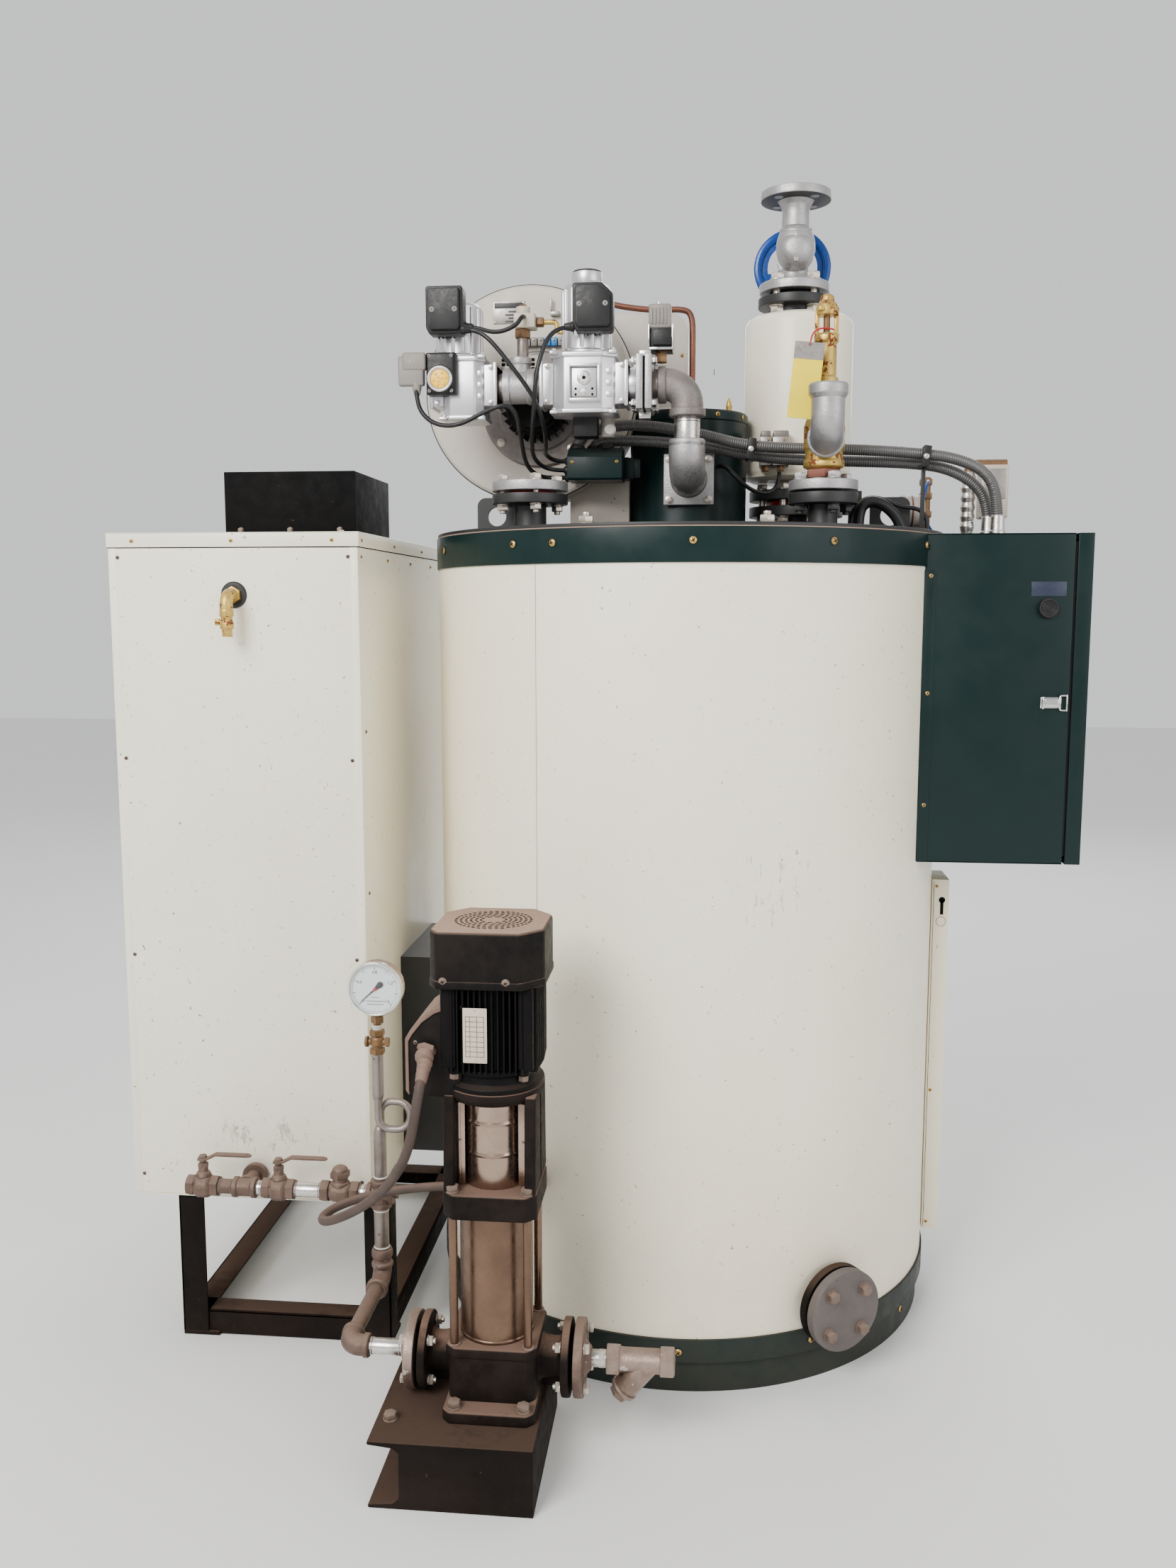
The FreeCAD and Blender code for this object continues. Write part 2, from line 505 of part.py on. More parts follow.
def steam_valve():
    """The stop valve above the separator, and the handwheel behind it."""
    axis = ("valve_x", "separator_y")
    body = fuse(
        rod("valve_flange", "valve_base_thick", axis + ("valve_base",)),
        drilled_flange(axis, "valve_top - valve_top_thick"),
        rod("valve_neck", "valve_top - valve_top_thick - valve_base", axis + ("valve_base",)),
        ball("valve_ball", ("valve_x", "valve_ball_y", "stem_z")),
        rod("bonnet_radius", "bonnet_end - separator_y", axis + ("stem_z",), "y"),
        rod("gland_radius", "gland_end - separator_y", axis + ("stem_z",), "y"),
        rod("stem_radius", "stem_end - separator_y", axis + ("stem_z",), "y"))
    name_node("steam_valve", cut(body, rod("valve_bore", "valve_bore_depth",
                                           axis + ("valve_top - valve_bore_depth",))))
    hub = rod("wheel_hub", "hub_length", ("valve_x", "hub_start", "stem_z"), "y")
    rim = ring("wheel_radius - wheel_rim", "wheel_rim", ("valve_x", "wheel_y", "stem_z"), "y")
    spokes = []
    for angle in WHEEL_SPOKE_ANGLES:
        across = math.cos(math.radians(angle))
        upward = math.sin(math.radians(angle))
        spokes.append(rod("wheel_spoke", "wheel_radius - wheel_rim",
                          ("valve_x", "wheel_y", "stem_z"),
                          Rotation(Vector(0, 0, 1), Vector(across, 0, upward))))
    hole = rod("stem_radius + stem_fit", "hub_length", ("valve_x", "hub_start", "stem_z"), "y")
    name_node("steam_handwheel", cut(fuse(rim, hub, *spokes), hole))


def safety_valve():
    """The spring-loaded safety valve on its own flange, with an upturned outlet elbow."""
    axis = ("safety_x", "safety_y")
    rise = "safety_z - roof_z"
    levels = [
        ("safety_neck", 0), ("safety_neck", rise), ("safety_flange", rise),
        ("safety_flange", rise + " + safety_gap_low"),
        ("safety_gasket", rise + " + safety_gap_low"),
        ("safety_gasket", rise + " + safety_gap_high"),
        ("safety_flange", rise + " + safety_gap_high"),
        ("safety_flange", rise + " + safety_cover"), ("safety_throat", rise + " + safety_cover"),
        ("safety_throat", rise + " + safety_hex"), ("safety_body", rise + " + safety_shoulder"),
        ("safety_body", rise + " + safety_body_top"),
        ("safety_bonnet", rise + " + safety_bonnet_low"),
        ("safety_bonnet", rise + " + safety_bonnet_top"),
        ("safety_yoke", rise + " + safety_bonnet_top"),
        ("safety_yoke", rise + " + safety_yoke_top"), ("safety_cap", rise + " + safety_yoke_top"),
        ("safety_cap", rise + " + safety_cap_top"),
    ]
    column = spun([(0, 0)] + levels + [(0, rise + " + safety_cap_top")], axis + ("roof_z",))
    elbow = bent("outlet_radius", [("safety_x", "safety_y", "outlet_z"),
                                   ("safety_x", "outlet_out", "outlet_z"),
                                   ("safety_x", "outlet_out", "outlet_top")], "outlet_bend")
    mouth = rod("outlet_radius + outlet_bead", "outlet_rim",
                ("safety_x", "outlet_out", "outlet_top - outlet_rim"))
    bore = rod("outlet_bore", "outlet_depth",
               ("safety_x", "outlet_out", "outlet_top - outlet_depth"))
    name_node("safety_valve", cut(fuse(column, elbow, mouth), bore))


def barrel_room():
    """The space around the burner barrel that its neighbours leave free."""
    return rod("barrel_radius + sheet_fit", "fan_radius * 2", (0, 0, "band_top"))


def burner():
    """The burner barrel, the fan beside it and the duct that joins them."""
    name_node("burner_barrel", rod("barrel_radius", "barrel_top - roof_z", (0, 0, "roof_z")))
    scroll = rod("fan_radius", "fan_depth", ("fan_x", "fan_front", "fan_z"), "y")
    foot = span(("fan_foot_left", "fan_foot_front", "roof_z"),
                ("-barrel_radius / 2", "fan_foot_back", "fan_foot_top"))
    name_node("fan_casing", cut(fuse(scroll, foot), barrel_room()))
    seat = rod("motor_ring", "ring_thick", ("shaft_x", "fan_front", "shaft_z"), "-y")
    can = rod("motor_radius", "motor_length", ("shaft_x", "fan_front", "shaft_z"), "-y")
    name_node("fan_motor", fuse(seat, can))
    right, top = read("duct_right"), read("duct_top")
    plenum = rounded(span(("duct_left", "-duct_half", "barrel_top"),
                          ("duct_right", "duct_half", "duct_top")), "duct_round",
                     lambda one, other: same(one.x, right) and same(other.x, right)
                     and same(one.z, top) and same(other.z, top))
    name_node("air_duct", cut(plenum, rod("fan_radius + sheet_fit", "fan_depth",
                                          ("fan_x", "fan_front", "fan_z"), "y")))


def gas_valve(side):
    """One solenoid gas valve: cast body, two pipe hubs, coil tower and terminal cover."""
    left, right, low, high = (side + part for part in ("_left", "_right", "_low", "_high"))
    coil_x = side + "_coil_x"
    body = span((left + " + gas_hub_length", "gas_y - gas_depth", low),
                (right + " - gas_hub_length", "gas_y + gas_depth", high))
    hub = rod("gas_hub", "%s - %s" % (right, left), (left, "gas_y", "gas_z"), "x")
    coil = rod(side + "_coil", "%s_coil_top - %s" % (side, high),
               (coil_x, "gas_y + coil_back", high))
    cover = span((side + "_cover_left", "cover_front", "cover_low"),
                 (side + "_cover_right", "cover_back", "cover_high"))
    return [body, hub, coil, cover]


def gas_train():
    """Two gas valves in line, the tee between them and the pipe down into the barrel."""
    holder = span(("lamp_x - holder_half", "holder_front", "holder_low"),
                  ("lamp_x + holder_half", "gas_y", "holder_high"))
    lamp = rod("lamp_radius", "lamp_length", ("lamp_x", "holder_front", "lamp_z"), "-y")
    plug = span(("plug_left", "holder_front", "plug_low"),
                ("lamp_x - holder_half", "gas_y - gas_depth", "holder_high"))
    port = rod("gas_inlet_bore", "gas_inlet_depth", ("inlet_left", "gas_y", "gas_z"), "x")
    name_node("gas_inlet_valve", cut(fuse(holder, lamp, plug, *gas_valve("inlet")), port))
    cap = rod("main_cap", "main_cap_top - main_coil_top",
              ("main_coil_x", "gas_y + coil_back", "main_coil_top"))
    window = span(("main_coil_x - window_half", "window_front", "window_low"),
                  ("main_coil_x + window_half", "gas_y", "window_high"))
    under = span(("under_left", "under_front", "under_low"),
                 ("under_right", "under_back", "main_low"))
    name_node("gas_main_valve", fuse(cap, window, under, *gas_valve("main")))
    tee = rod("tee_pipe", "main_left - inlet_right", ("inlet_right", "gas_y", "gas_z"), "x")
    branch = rod("pilot_pipe", "pilot_low - gas_z", ("pilot_x", "gas_y", "gas_z"))
    pilot = span(("pilot_left", "gas_y - pilot_half", "pilot_low"),
                 ("pilot_right", "gas_y + pilot_half", "pilot_high"))
    down = bent("gas_pipe", [("main_right", "gas_y", "gas_z"), ("drop_x", "gas_y", "gas_z"),
                             ("drop_x", "gas_y", "entry_z"),
                             ("drop_x", "-barrel_radius - roof_clear", "entry_z")],
                "elbow_bend")
    pair = span(("pair_left", "gas_y - pair_half", "gas_z - pair_half"),
                ("pair_right", "gas_y + pair_half", "gas_z + pair_half"))
    plate = cut(span(("drop_x - entry_plate / 2", "-barrel_radius - plate_front",
                      "entry_z - entry_plate / 2"),
                     ("drop_x + entry_plate / 2", "-barrel_radius + plate_front",
                      "entry_z + entry_plate / 2")), barrel_room())
    name_node("gas_pipes", fuse(tee, branch, pilot, down, pair, plate))
    name_node("pressure_switch", span(("switch_left", "switch_front", "switch_low"),
                                      ("switch_right", "switch_back", "switch_high")))


def burner_wiring():
    """The junction box, the conduits and leads it feeds, and the small copper line."""
    box = span(("box_left", "box_front", "box_low"), ("box_right", "box_back", "box_high"))
    arm = cut(span(("box_right", "arm_front", "arm_low"), ("arm_right", "arm_back", "arm_high")),
              barrel_room())
    name_node("junction_box", fuse(box, arm))
    name_node("flexible_conduits", fuse(bent("conduit_radius", UPPER_CONDUIT),
                                        bent("conduit_radius", LOWER_CONDUIT)))
    name_node("copper_line", bent("copper_radius", COPPER_ROUTE))
    name_node("burner_leads", fuse(*(bent("wire_radius", points) for points in BURNER_LEADS)))


def control_cabinet():
    """The cabinet on the shell's right side, its door, latch and buzzer."""
    shell = rod("jacket_radius + band_proud + sheet_fit", "band_top")
    outside = span(("cabinet_left", "-cabinet_half", "cabinet_bottom"),
                   ("cabinet_front", "cabinet_half", "band_top"))
    inside = span(("cabinet_back + cabinet_sheet", "-cabinet_half + cabinet_sheet",
                   "cabinet_bottom + cabinet_sheet"),
                  ("cabinet_front + door_gap", "cabinet_half - cabinet_sheet",
                   "band_top - cabinet_sheet"))
    behind = span(("cabinet_left - door_gap", "-cabinet_half + cabinet_sheet",
                   "cabinet_bottom + cabinet_sheet"),
                  ("cabinet_back", "cabinet_half - cabinet_sheet", "band_top - cabinet_sheet"))
    knuckle_x = "door_front + hinge_out"
    knuckle_y = "cabinet_half + hinge_side"
    hinges = []
    for height in ("hinge_low", "hinge_high"):
        top = height + " + hinge_height"
        leaf = span(("cabinet_front - hinge_leaf", "cabinet_half", height),
                    ("cabinet_front", "cabinet_half + cabinet_sheet", top))
        arm = span(("cabinet_front - hinge_arm", "cabinet_half + hinge_thin", height),
                   (knuckle_x, "cabinet_half + hinge_thin + cabinet_sheet", top))
        pin = rod("hinge_pin", "hinge_height", (knuckle_x, knuckle_y, height))
        hinges.append(fuse(leaf, arm, pin))
    name_node("cabinet_box", fuse(cut(outside, inside, behind, shell), *hinges))
    panel = span(("cabinet_front + door_gap", "-cabinet_half", "cabinet_bottom"),
                 ("door_front", "cabinet_half", "band_top"))
    hollow = span(("cabinet_front", "-cabinet_half + cabinet_sheet",
                   "cabinet_bottom + cabinet_sheet"),
                  ("door_front - cabinet_sheet", "cabinet_half - cabinet_sheet",
                   "band_top - cabinet_sheet"))
    name_node("cabinet_door", cut(panel, hollow))
    latch = span(("latch_left", "-cabinet_half - latch_deep", "latch_low"),
                 ("latch_right", "-cabinet_half", "latch_high"))
    buzzer = rod("buzzer_radius", "latch_deep", ("buzzer_x", "-cabinet_half", "buzzer_z"), "-y")
    name_node("cabinet_fittings", fuse(latch, buzzer))


def economiser():
    """The sheet casing left of the shell, with its lid, floor, flue box and flue link."""
    walls = span(("casing_left", "casing_front", "casing_bottom + casing_sheet"),
                 ("casing_right", "casing_back", "band_top - casing_sheet"))
    hollow = span(("casing_left + casing_sheet", "casing_front + casing_sheet",
                   "casing_bottom"),
                  ("casing_right - casing_sheet", "casing_back - casing_sheet", "band_top"))
    name_node("casing_walls", cut(walls, hollow))
    lid = span(("casing_left - lid_proud", "casing_front - lid_proud", "band_top - lid_lip"),
               ("casing_right + lid_proud", "casing_back + lid_proud", "band_top"))
    under = span(("casing_left - lid_fit", "casing_front - lid_fit",
                  "band_top - lid_lip - lid_proud"),
                 ("casing_right + lid_fit", "casing_back + lid_fit",
                  "band_top - casing_sheet"))

    def throat(top):
        return span(("flue_left + flue_wall", "flue_front + flue_wall", "band_top - lid_lip"),
                    ("flue_right - flue_wall", "flue_back - flue_wall", top))

    name_node("casing_lid", cut(lid, under, throat("band_top + lid_proud")))
    name_node("casing_floor", span(("casing_left", "casing_front", "casing_bottom"),
                                   ("casing_right", "casing_back",
                                    "casing_bottom + casing_sheet")))
    box = span(("flue_left", "flue_front", "band_top"), ("flue_right", "flue_back", "flue_top"))
    name_node("flue_outlet", cut(box, throat("flue_top")))
    link = span(("casing_right", "-link_half", "link_bottom"),
                ("link_end", "link_half", "link_top"))
    name_node("flue_link", cut(link, rod("jacket_radius + sheet_fit", "band_top")))


def vent_cock():
    """The small brass cock that bleeds air from the top of the economiser."""
    spout = bent("spout_radius", [("cock_x", "casing_front", "cock_z"),
                                  ("cock_x", "cock_out", "cock_z"),
                                  ("cock_x", "cock_out", "cock_z - spout_drop")], "spout_bend")
    collar = rod("cock_collar", "collar_thick", ("cock_x", "casing_front", "cock_z"), "-y")
    cock = rod("cock_radius", "cock_length", ("cock_x", "cock_out", "cock_low"))
    wing = span(("cock_x - wing_long", "cock_out - collar_thick", "wing_low"),
                ("cock_x", "cock_out + collar_thick", "wing_high"))
    name_node("vent_cock", fuse(spout, collar, cock, wing))


def angle_bar(corner, length, x_side, y_side):
    """An upright angle bar whose heel is at a corner and whose legs point inwards."""
    heel_x, heel_y = corner
    parts = []
    for across, along in (("angle_size", "angle_wall"), ("angle_wall", "angle_size")):
        left = heel_x if x_side > 0 else "%s - %s" % (heel_x, across)
        near = heel_y if y_side > 0 else "%s - %s" % (heel_y, along)
        parts.append(block(across, along, length, (left, near, 0)))
    return fuse(*parts)


def frame():
    """Four angle-bar legs on foot plates, and the beams that tie them at the floor."""
    legs = []
    for heel_x, x_side in (("frame_left", 1), ("frame_right", -1)):
        for heel_y, y_side in (("frame_front", 1), ("frame_back", -1)):
            bar = angle_bar((heel_x, heel_y), "casing_bottom", x_side, y_side)
            left = heel_x if x_side > 0 else heel_x + " - pad_size"
            near = heel_y if y_side > 0 else heel_y + " - pad_size"
            pad = block("pad_size", "pad_size", "pad_thick", (left, near, 0))
            hole = rod("pad_hole", "pad_thick", (left + " + pad_size / 2",
                                                 near + " + pad_size / 2", 0))
            legs.append(fuse(bar, cut(pad, hole)))
    name_node("frame_legs", fuse(*legs))
    inner_left = "frame_left + pad_size"
    inner_right = "frame_right - pad_size"
    beams = []
    for low_y in ("frame_front", "frame_back - angle_wall"):
        beams.append(span((inner_left, low_y, "beam_low"),
                          (inner_right, low_y + " + angle_wall", "angle_size")))
    for low_x in ("frame_left", "frame_right - angle_wall"):
        beams.append(span((low_x, "frame_front + pad_size", "beam_low"),
                          (low_x + " + angle_wall", "frame_back - pad_size", "angle_size")))
    name_node("frame_beams", fuse(*beams))


def ball_valve(middle_x):
    """A small ball valve: barrel, two hex ends and the neck that its stem comes out of."""
    barrel = rod("feed_body", "2 * barrel_half", (middle_x + " - barrel_half", "feed_y",
                                                  "feed_z"), "x")
    ends = rod("hex_radius", "2 * valve_half", (middle_x + " - valve_half", "feed_y",
                                                "feed_z"), "x")
    neck = rod("stem_neck", "lever_z - feed_z - lever_boss", (middle_x, "feed_y", "feed_z"))
    stem = rod("stem_pin", "lever_z - feed_z + lever_boss", (middle_x, "feed_y", "feed_z"))
    return fuse(barrel, ends, neck, stem)


def lever(middle_x):
    """A flat handle that turns on a valve's stem."""
    bar = span((middle_x, "feed_y - lever_width / 2", "lever_z"),
               (middle_x + " + lever_length", "feed_y + lever_width / 2",
                "lever_z + lever_thick"))
    boss = rod("lever_boss", "boss_thick", (middle_x, "feed_y", "lever_z"))
    hole = rod("stem_pin + lever_fit", "boss_thick", (middle_x, "feed_y", "lever_z"))
    return cut(fuse(bar, boss), hole)


def pipe_along(start, end, radius="feed_pipe"):
    """A straight length of the feed line between two places along X."""
    return rod(radius, "(%s) - (%s)" % (end, start), (start, "feed_y", "feed_z"), "x")


def feed_train():
    """The feed water line: valves, check valve, riser and the run down to the pump."""
    drain_mouth = pipe_along("drain_x - valve_half", "drain_x - valve_half + drain_depth",
                             "drain_bore")
    name_node("ball_valves", fuse(cut(ball_valve("drain_x"), drain_mouth),
                                  ball_valve("feed_x")))
    name_node("drain_lever", lever("drain_x"))
    name_node("feed_lever", lever("feed_x"))
    check = pipe_along("check_x - check_half", "check_x + check_half", "check_radius")
    dome = rod("check_dome", "dome_height", ("check_x", "feed_y", "feed_z"))
    name_node("check_valve", fuse(check, dome))
    name_node("feed_header", fuse(
        pipe_along("drain_x + valve_half", "feed_x - valve_half"),
        rod("feed_pipe", "casing_front - feed_y", ("entry_x", "feed_y", "feed_z"), "y"),
        pipe_along("entry_x - tee_half", "entry_x + tee_half", "tee_radius"),
        rod("entry_collar", "entry_thick", ("entry_x", "casing_front - entry_thick", "feed_z"),
            "y"),
        pipe_along("feed_x + valve_half", "check_x - check_half"),
        pipe_along("check_x + check_half", "riser_x"),
        rod("tee_radius", "2 * joint_half", ("riser_x", "feed_y", "feed_z - joint_half"))))
    near = "pump_x - port_half - port_gap - port_flange"
    down = bent("feed_pipe", [("riser_x", "feed_y", "feed_z - joint_half"),
                              ("riser_x", "feed_y", "port_z"), ("riser_x", "pump_y", "port_z"),
                              (near, "pump_y", "port_z")], "pipe_bend")
    union = rod("tee_radius", "union_height", ("riser_x", "feed_y", "union_low"))
    joint = rod("port_radius", "port_flange", (near, "pump_y", "port_z"), "x")
    seal = rod("port_seal", "port_gap", (near + " + port_flange", "pump_y", "port_z"), "x")
    name_node("pump_discharge_pipe", fuse(down, union, joint, seal))


def gauge_and_siphon():
    """The pressure gauge, its cock and the looped siphon pipe under it."""
    column = ("riser_x", "feed_y")
    cock_top = "cock_bottom + gauge_cock_high"
    name_node("gauge_siphon", fuse(
        rod("riser_pipe", "cock_bottom - feed_z - joint_half", column + ("feed_z + joint_half",)),
        ring("siphon_loop", "siphon_pipe", ("siphon_x", "siphon_y", "siphon_z"), "y"),
        rod("gauge_cock", "gauge_cock_high", column + ("cock_bottom",)),
        rod("gauge_handle", "handle_long", ("riser_x - handle_long / 2", "feed_y", "handle_z"),
            "x"),
        rod("gauge_neck", "gauge_z - gauge_radius - gauge_fit - (%s)" % cock_top,
            column + (cock_top,))))
    name_node("pressure_gauge", spun([
        (0, 0), ("gauge_radius - gauge_rim", 0), ("gauge_radius", "gauge_rim"),
        ("gauge_radius", "gauge_depth - gauge_rim"),
        ("gauge_radius - gauge_rim", "gauge_depth"), (0, "gauge_depth")],
        ("riser_x", "feed_y + gauge_depth / 2", "gauge_z"), "-y"))


def around_pump(half_x, half_y, low, high):
    """A box centred on the pump's axis."""
    return span(("pump_x - %s" % half_x, "pump_y - %s" % half_y, low),
                ("pump_x + %s" % half_x, "pump_y + %s" % half_y, high))


def pump():
    """The multistage feed pump, from its foot up to its coupling guard."""
    axis = ("pump_x", "pump_y")
    foot_top = "pedestal_height + foot_plate"
    across = [
        rod("port_neck", "2 * port_half", ("pump_x - port_half", "pump_y", "port_z"), "x"),
        rod("port_radius", "port_flange", ("pump_x - port_half", "pump_y", "port_z"), "x"),
        rod("port_radius", "port_flange", ("pump_x + port_half - port_flange", "pump_y",
                                           "port_z"), "x"),
    ]
    name_node("pump_base", fuse(
        around_pump("foot_width / 2", "foot_length / 2", "pedestal_height", foot_top),
        around_pump("pump_block", "pump_block", foot_top, "sleeve_bottom"), *across))
    sleeve = rod("sleeve_radius", "stool_bottom - sleeve_bottom", axis + ("sleeve_bottom",))
    stays = [rod("stay_radius", "stool_bottom - sleeve_bottom",
                 ("pump_x + %d * stay_offset" % x_side, "pump_y + %d * stay_offset" % y_side,
                  "sleeve_bottom"))
             for x_side in (-1, 1) for y_side in (-1, 1)]
    name_node("pump_sleeve", fuse(sleeve, *stays))
    plinth_top = "stool_bottom + plinth_height"
    outer = around_pump("cheek_outer", "cheek_half", "stool_bottom", "stool_top")
    inner = around_pump("cheek_inner", "stool_half", plinth_top, "stool_top")
    name_node("motor_stool", fuse(
        cut(outer, inner), around_pump("stool_half", "stool_half", "stool_bottom", plinth_top),
        cut(rod("stool_collar", "stool_ring", axis + ("stool_top - stool_ring",)),
            rod("guard_radius + sheet_fit", "stool_ring", axis + ("stool_top - stool_ring",)))))
    name_node("coupling_guard", tube("guard_radius", "guard_radius - guard_sheet",
                                     "stool_top - stool_bottom - plinth_height",
                                     axis + (plinth_top,)))


def pump_motor():
    """The pump's motor, its fan cowl and its terminal box with the lead's gland."""
    axis = ("pump_x", "pump_y")
    name_node("pump_motor", rod("fin_radius", "cowl_bottom - motor_bottom",
                                axis + ("motor_bottom",)))
    name_node("fan_cowl", around_pump("cowl_half", "cowl_half", "cowl_bottom", "cowl_top"))
    box = cut(span(("wiring_left", "pump_y - wiring_half", "wiring_low"),
                   ("wiring_right", "pump_y + wiring_half", "wiring_high")),
              rod("fin_radius + sheet_fit", "cowl_top - wiring_low", axis + ("wiring_low",)),
              rod("stool_collar + sheet_fit", "stool_ring", axis + ("stool_top - stool_ring",)),
              around_pump("(cheek_outer + sheet_fit)", "stool_half", "wiring_low", "stool_top"))
    slope = Rotation(Vector(0, 0, 1), Vector(*LEAD_ROUTE[1]) - Vector(*LEAD_ROUTE[0]))
    gland = rod("lead_gland", "gland_long", ("gland_x", "pump_y - wiring_half", "gland_z"),
                slope)
    name_node("terminal_box", fuse(box, gland))


def strainer():
    """The Y-shaped strainer on the pump's suction side, threaded at its open end."""
    seat = "pump_x + port_half"
    name_node("suction_strainer", cut(fuse(
        rod("port_seal", "port_gap", (seat, "pump_y", "port_z"), "x"),
        rod("port_radius", "port_flange", (seat + " + port_gap", "pump_y", "port_z"), "x"),
        rod("strainer_run", "strainer_end - (%s) - port_gap" % seat,
            (seat + " + port_gap", "pump_y", "port_z"), "x"),
        rod("strainer_hex", "hex_length", ("strainer_end - hex_length", "pump_y", "port_z"),
            "x"),
        rod("strainer_leg", "leg_length", ("strainer_end - leg_back", "pump_y", "port_z"),
            Rotation(Vector(0, 0, 1), STRAINER_SLANT))),
        rod("strainer_bore", "bore_depth", ("strainer_end - bore_depth", "pump_y", "port_z"),
            "x")))


def pedestal():
    """Two rolled channels back to back, closed by a plate, that carry the pump."""
    web_left = "pedestal_left + channel_flange"
    web = span((web_left, "pedestal_front", 0), (web_left + " + channel_wall", "pedestal_back",
                                                 "pedestal_height"))
    low = span(("pedestal_left", "pedestal_front", 0), (web_left, "pedestal_back",
                                                        "channel_wall"))
    high = span(("pedestal_left", "pedestal_front", "pedestal_height - channel_wall"),
                (web_left, "pedestal_back", "pedestal_height"))
    right = span(("pedestal_right - channel_wall", "pedestal_front", 0),
                 ("pedestal_right", "pedestal_back", "pedestal_height"))
    deck = span((web_left, "pedestal_front", "pedestal_height - channel_wall"),
                ("pedestal_right", "pedestal_back", "pedestal_height"))
    face = span((web_left, "pedestal_front", 0), ("pedestal_right",
                                                  "pedestal_front + channel_wall",
                                                  "pedestal_height"))
    name_node("pump_pedestal", fuse(web, low, high, right, deck, face))


def print_bends(item, radius, points):
    """Print a free lead's length and bend radii, and stop if its volume doesn't fit them."""
    line = route(points, None)
    radii = [edge.Curve.Radius for edge in line.Edges if hasattr(edge.Curve, "Radius")]
    print("lead %.0f mm long, bend radii %s mm" % (
        line.Length, ", ".join("%.0f" % bend for bend in radii)))
    expected = math.pi * read(radius) ** 2 * line.Length
    if abs(item.Shape.Volume / expected - 1) > VOLUME_SLACK:
        raise RuntimeError("the lead's volume isn't its section times its length")


def pump_lead():
    """The motor's flexible lead, from the terminal box round to its socket on the shell."""
    lead = bent("lead_radius", LEAD_ROUTE)
    print_bends(lead, "lead_radius", LEAD_ROUTE)
    name_node("pump_lead", lead)
    name_node("lead_socket", cut(span(("socket_left", "socket_front", "socket_low"),
                                      ("socket_right", "socket_back", "socket_high")),
                                 rod("jacket_radius + sheet_fit", "jacket_top")))


def rear_controls():
    """Steam pressure controls behind the cabinet, and the small fittings on the roof."""
    name_node("pressure_controls", fuse(
        rod("siphon_tube", "control_pipe_z - band_top", ("siphon_tube_x", "rear_y", "band_top")),
        rod("control_pipe", "control_right - siphon_tube_x", ("siphon_tube_x", "rear_y",
                                                               "control_pipe_z"), "x"),
        span(("control_left", "rear_y - control_half", "control_low"),
             ("control_right", "rear_y + control_half", "control_pipe_z")),
        rod("manifold_radius", "manifold_top - roof_z", ("manifold_x", "rear_y", "roof_z"))))
    name_node("roof_fittings", fuse(
        rod("drum_radius", "drum_right - drum_left", ("drum_left", "drum_y", "drum_z"), "x"),
        span(("drum_left", "drum_y - drum_foot", "roof_z"),
             ("drum_right", "drum_y + drum_foot", "drum_z")),
        rod("stub_radius", "stub_top - roof_z", ("stub_x", "drum_y", "roof_z"))))


boiler_shell()
nozzles_and_covers()
lifting_lugs()
steam_separator()
steam_valve()
safety_valve()
burner()
gas_train()
burner_wiring()
control_cabinet()
economiser()
vent_cock()
frame()
feed_train()
gauge_and_siphon()
pump()
pump_motor()
strainer()
pedestal()
pump_lead()
rear_controls()
doc.recompute()

for item in doc.Objects:
    if "Invalid" in item.State or "Error" in item.State:
        raise RuntimeError("%s (%s) failed to rebuild: %s" % (item.Label, item.Name, item.State))

os.makedirs("parts", exist_ok=True)
for item in nodes:
    if item.Shape.isNull() or not item.Shape.isValid():
        raise RuntimeError("%s has no valid shape" % item.Label)
    item.Shape.exportStep("parts/%s.step" % item.Label)
    print("%-22s %2d solids %10.0f mm3" % (item.Label, len(item.Shape.Solids),
                                          item.Shape.Volume))
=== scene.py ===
"""Looks of the vertical steam boiler set: its visible pieces, their finishes and the studio."""

import logging
import math
from dataclasses import dataclass
from enum import Enum
from typing import Sequence, Union

import bmesh
import bpy
from mathutils import Matrix, Vector


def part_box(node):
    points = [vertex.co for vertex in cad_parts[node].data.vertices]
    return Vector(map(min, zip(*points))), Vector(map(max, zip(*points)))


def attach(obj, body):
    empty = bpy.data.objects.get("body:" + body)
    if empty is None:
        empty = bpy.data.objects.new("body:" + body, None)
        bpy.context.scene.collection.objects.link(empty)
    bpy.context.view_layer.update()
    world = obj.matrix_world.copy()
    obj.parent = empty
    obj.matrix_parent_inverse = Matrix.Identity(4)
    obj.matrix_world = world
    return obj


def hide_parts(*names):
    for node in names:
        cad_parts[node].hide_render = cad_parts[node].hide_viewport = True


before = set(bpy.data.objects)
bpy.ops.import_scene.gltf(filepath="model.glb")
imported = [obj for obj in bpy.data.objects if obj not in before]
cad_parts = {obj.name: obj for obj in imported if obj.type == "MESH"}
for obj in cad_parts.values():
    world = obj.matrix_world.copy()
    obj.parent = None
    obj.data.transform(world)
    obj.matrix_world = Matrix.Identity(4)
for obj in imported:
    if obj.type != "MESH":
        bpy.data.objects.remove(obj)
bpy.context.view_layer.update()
MM = 0.001
SHARP = math.radians(34)
MERGE = 0.004
SCRATCH_SCALE = 85.0
RUBBED_COLOUR = (0.20, 0.19, 0.16)
COAT_ROUGHNESS = 0.12
GRAIN_DEPTH = 0.0015
LOG = logging.getLogger("boiler")
Colour = tuple[float, float, float]
Outline = Sequence[tuple[float, float]]


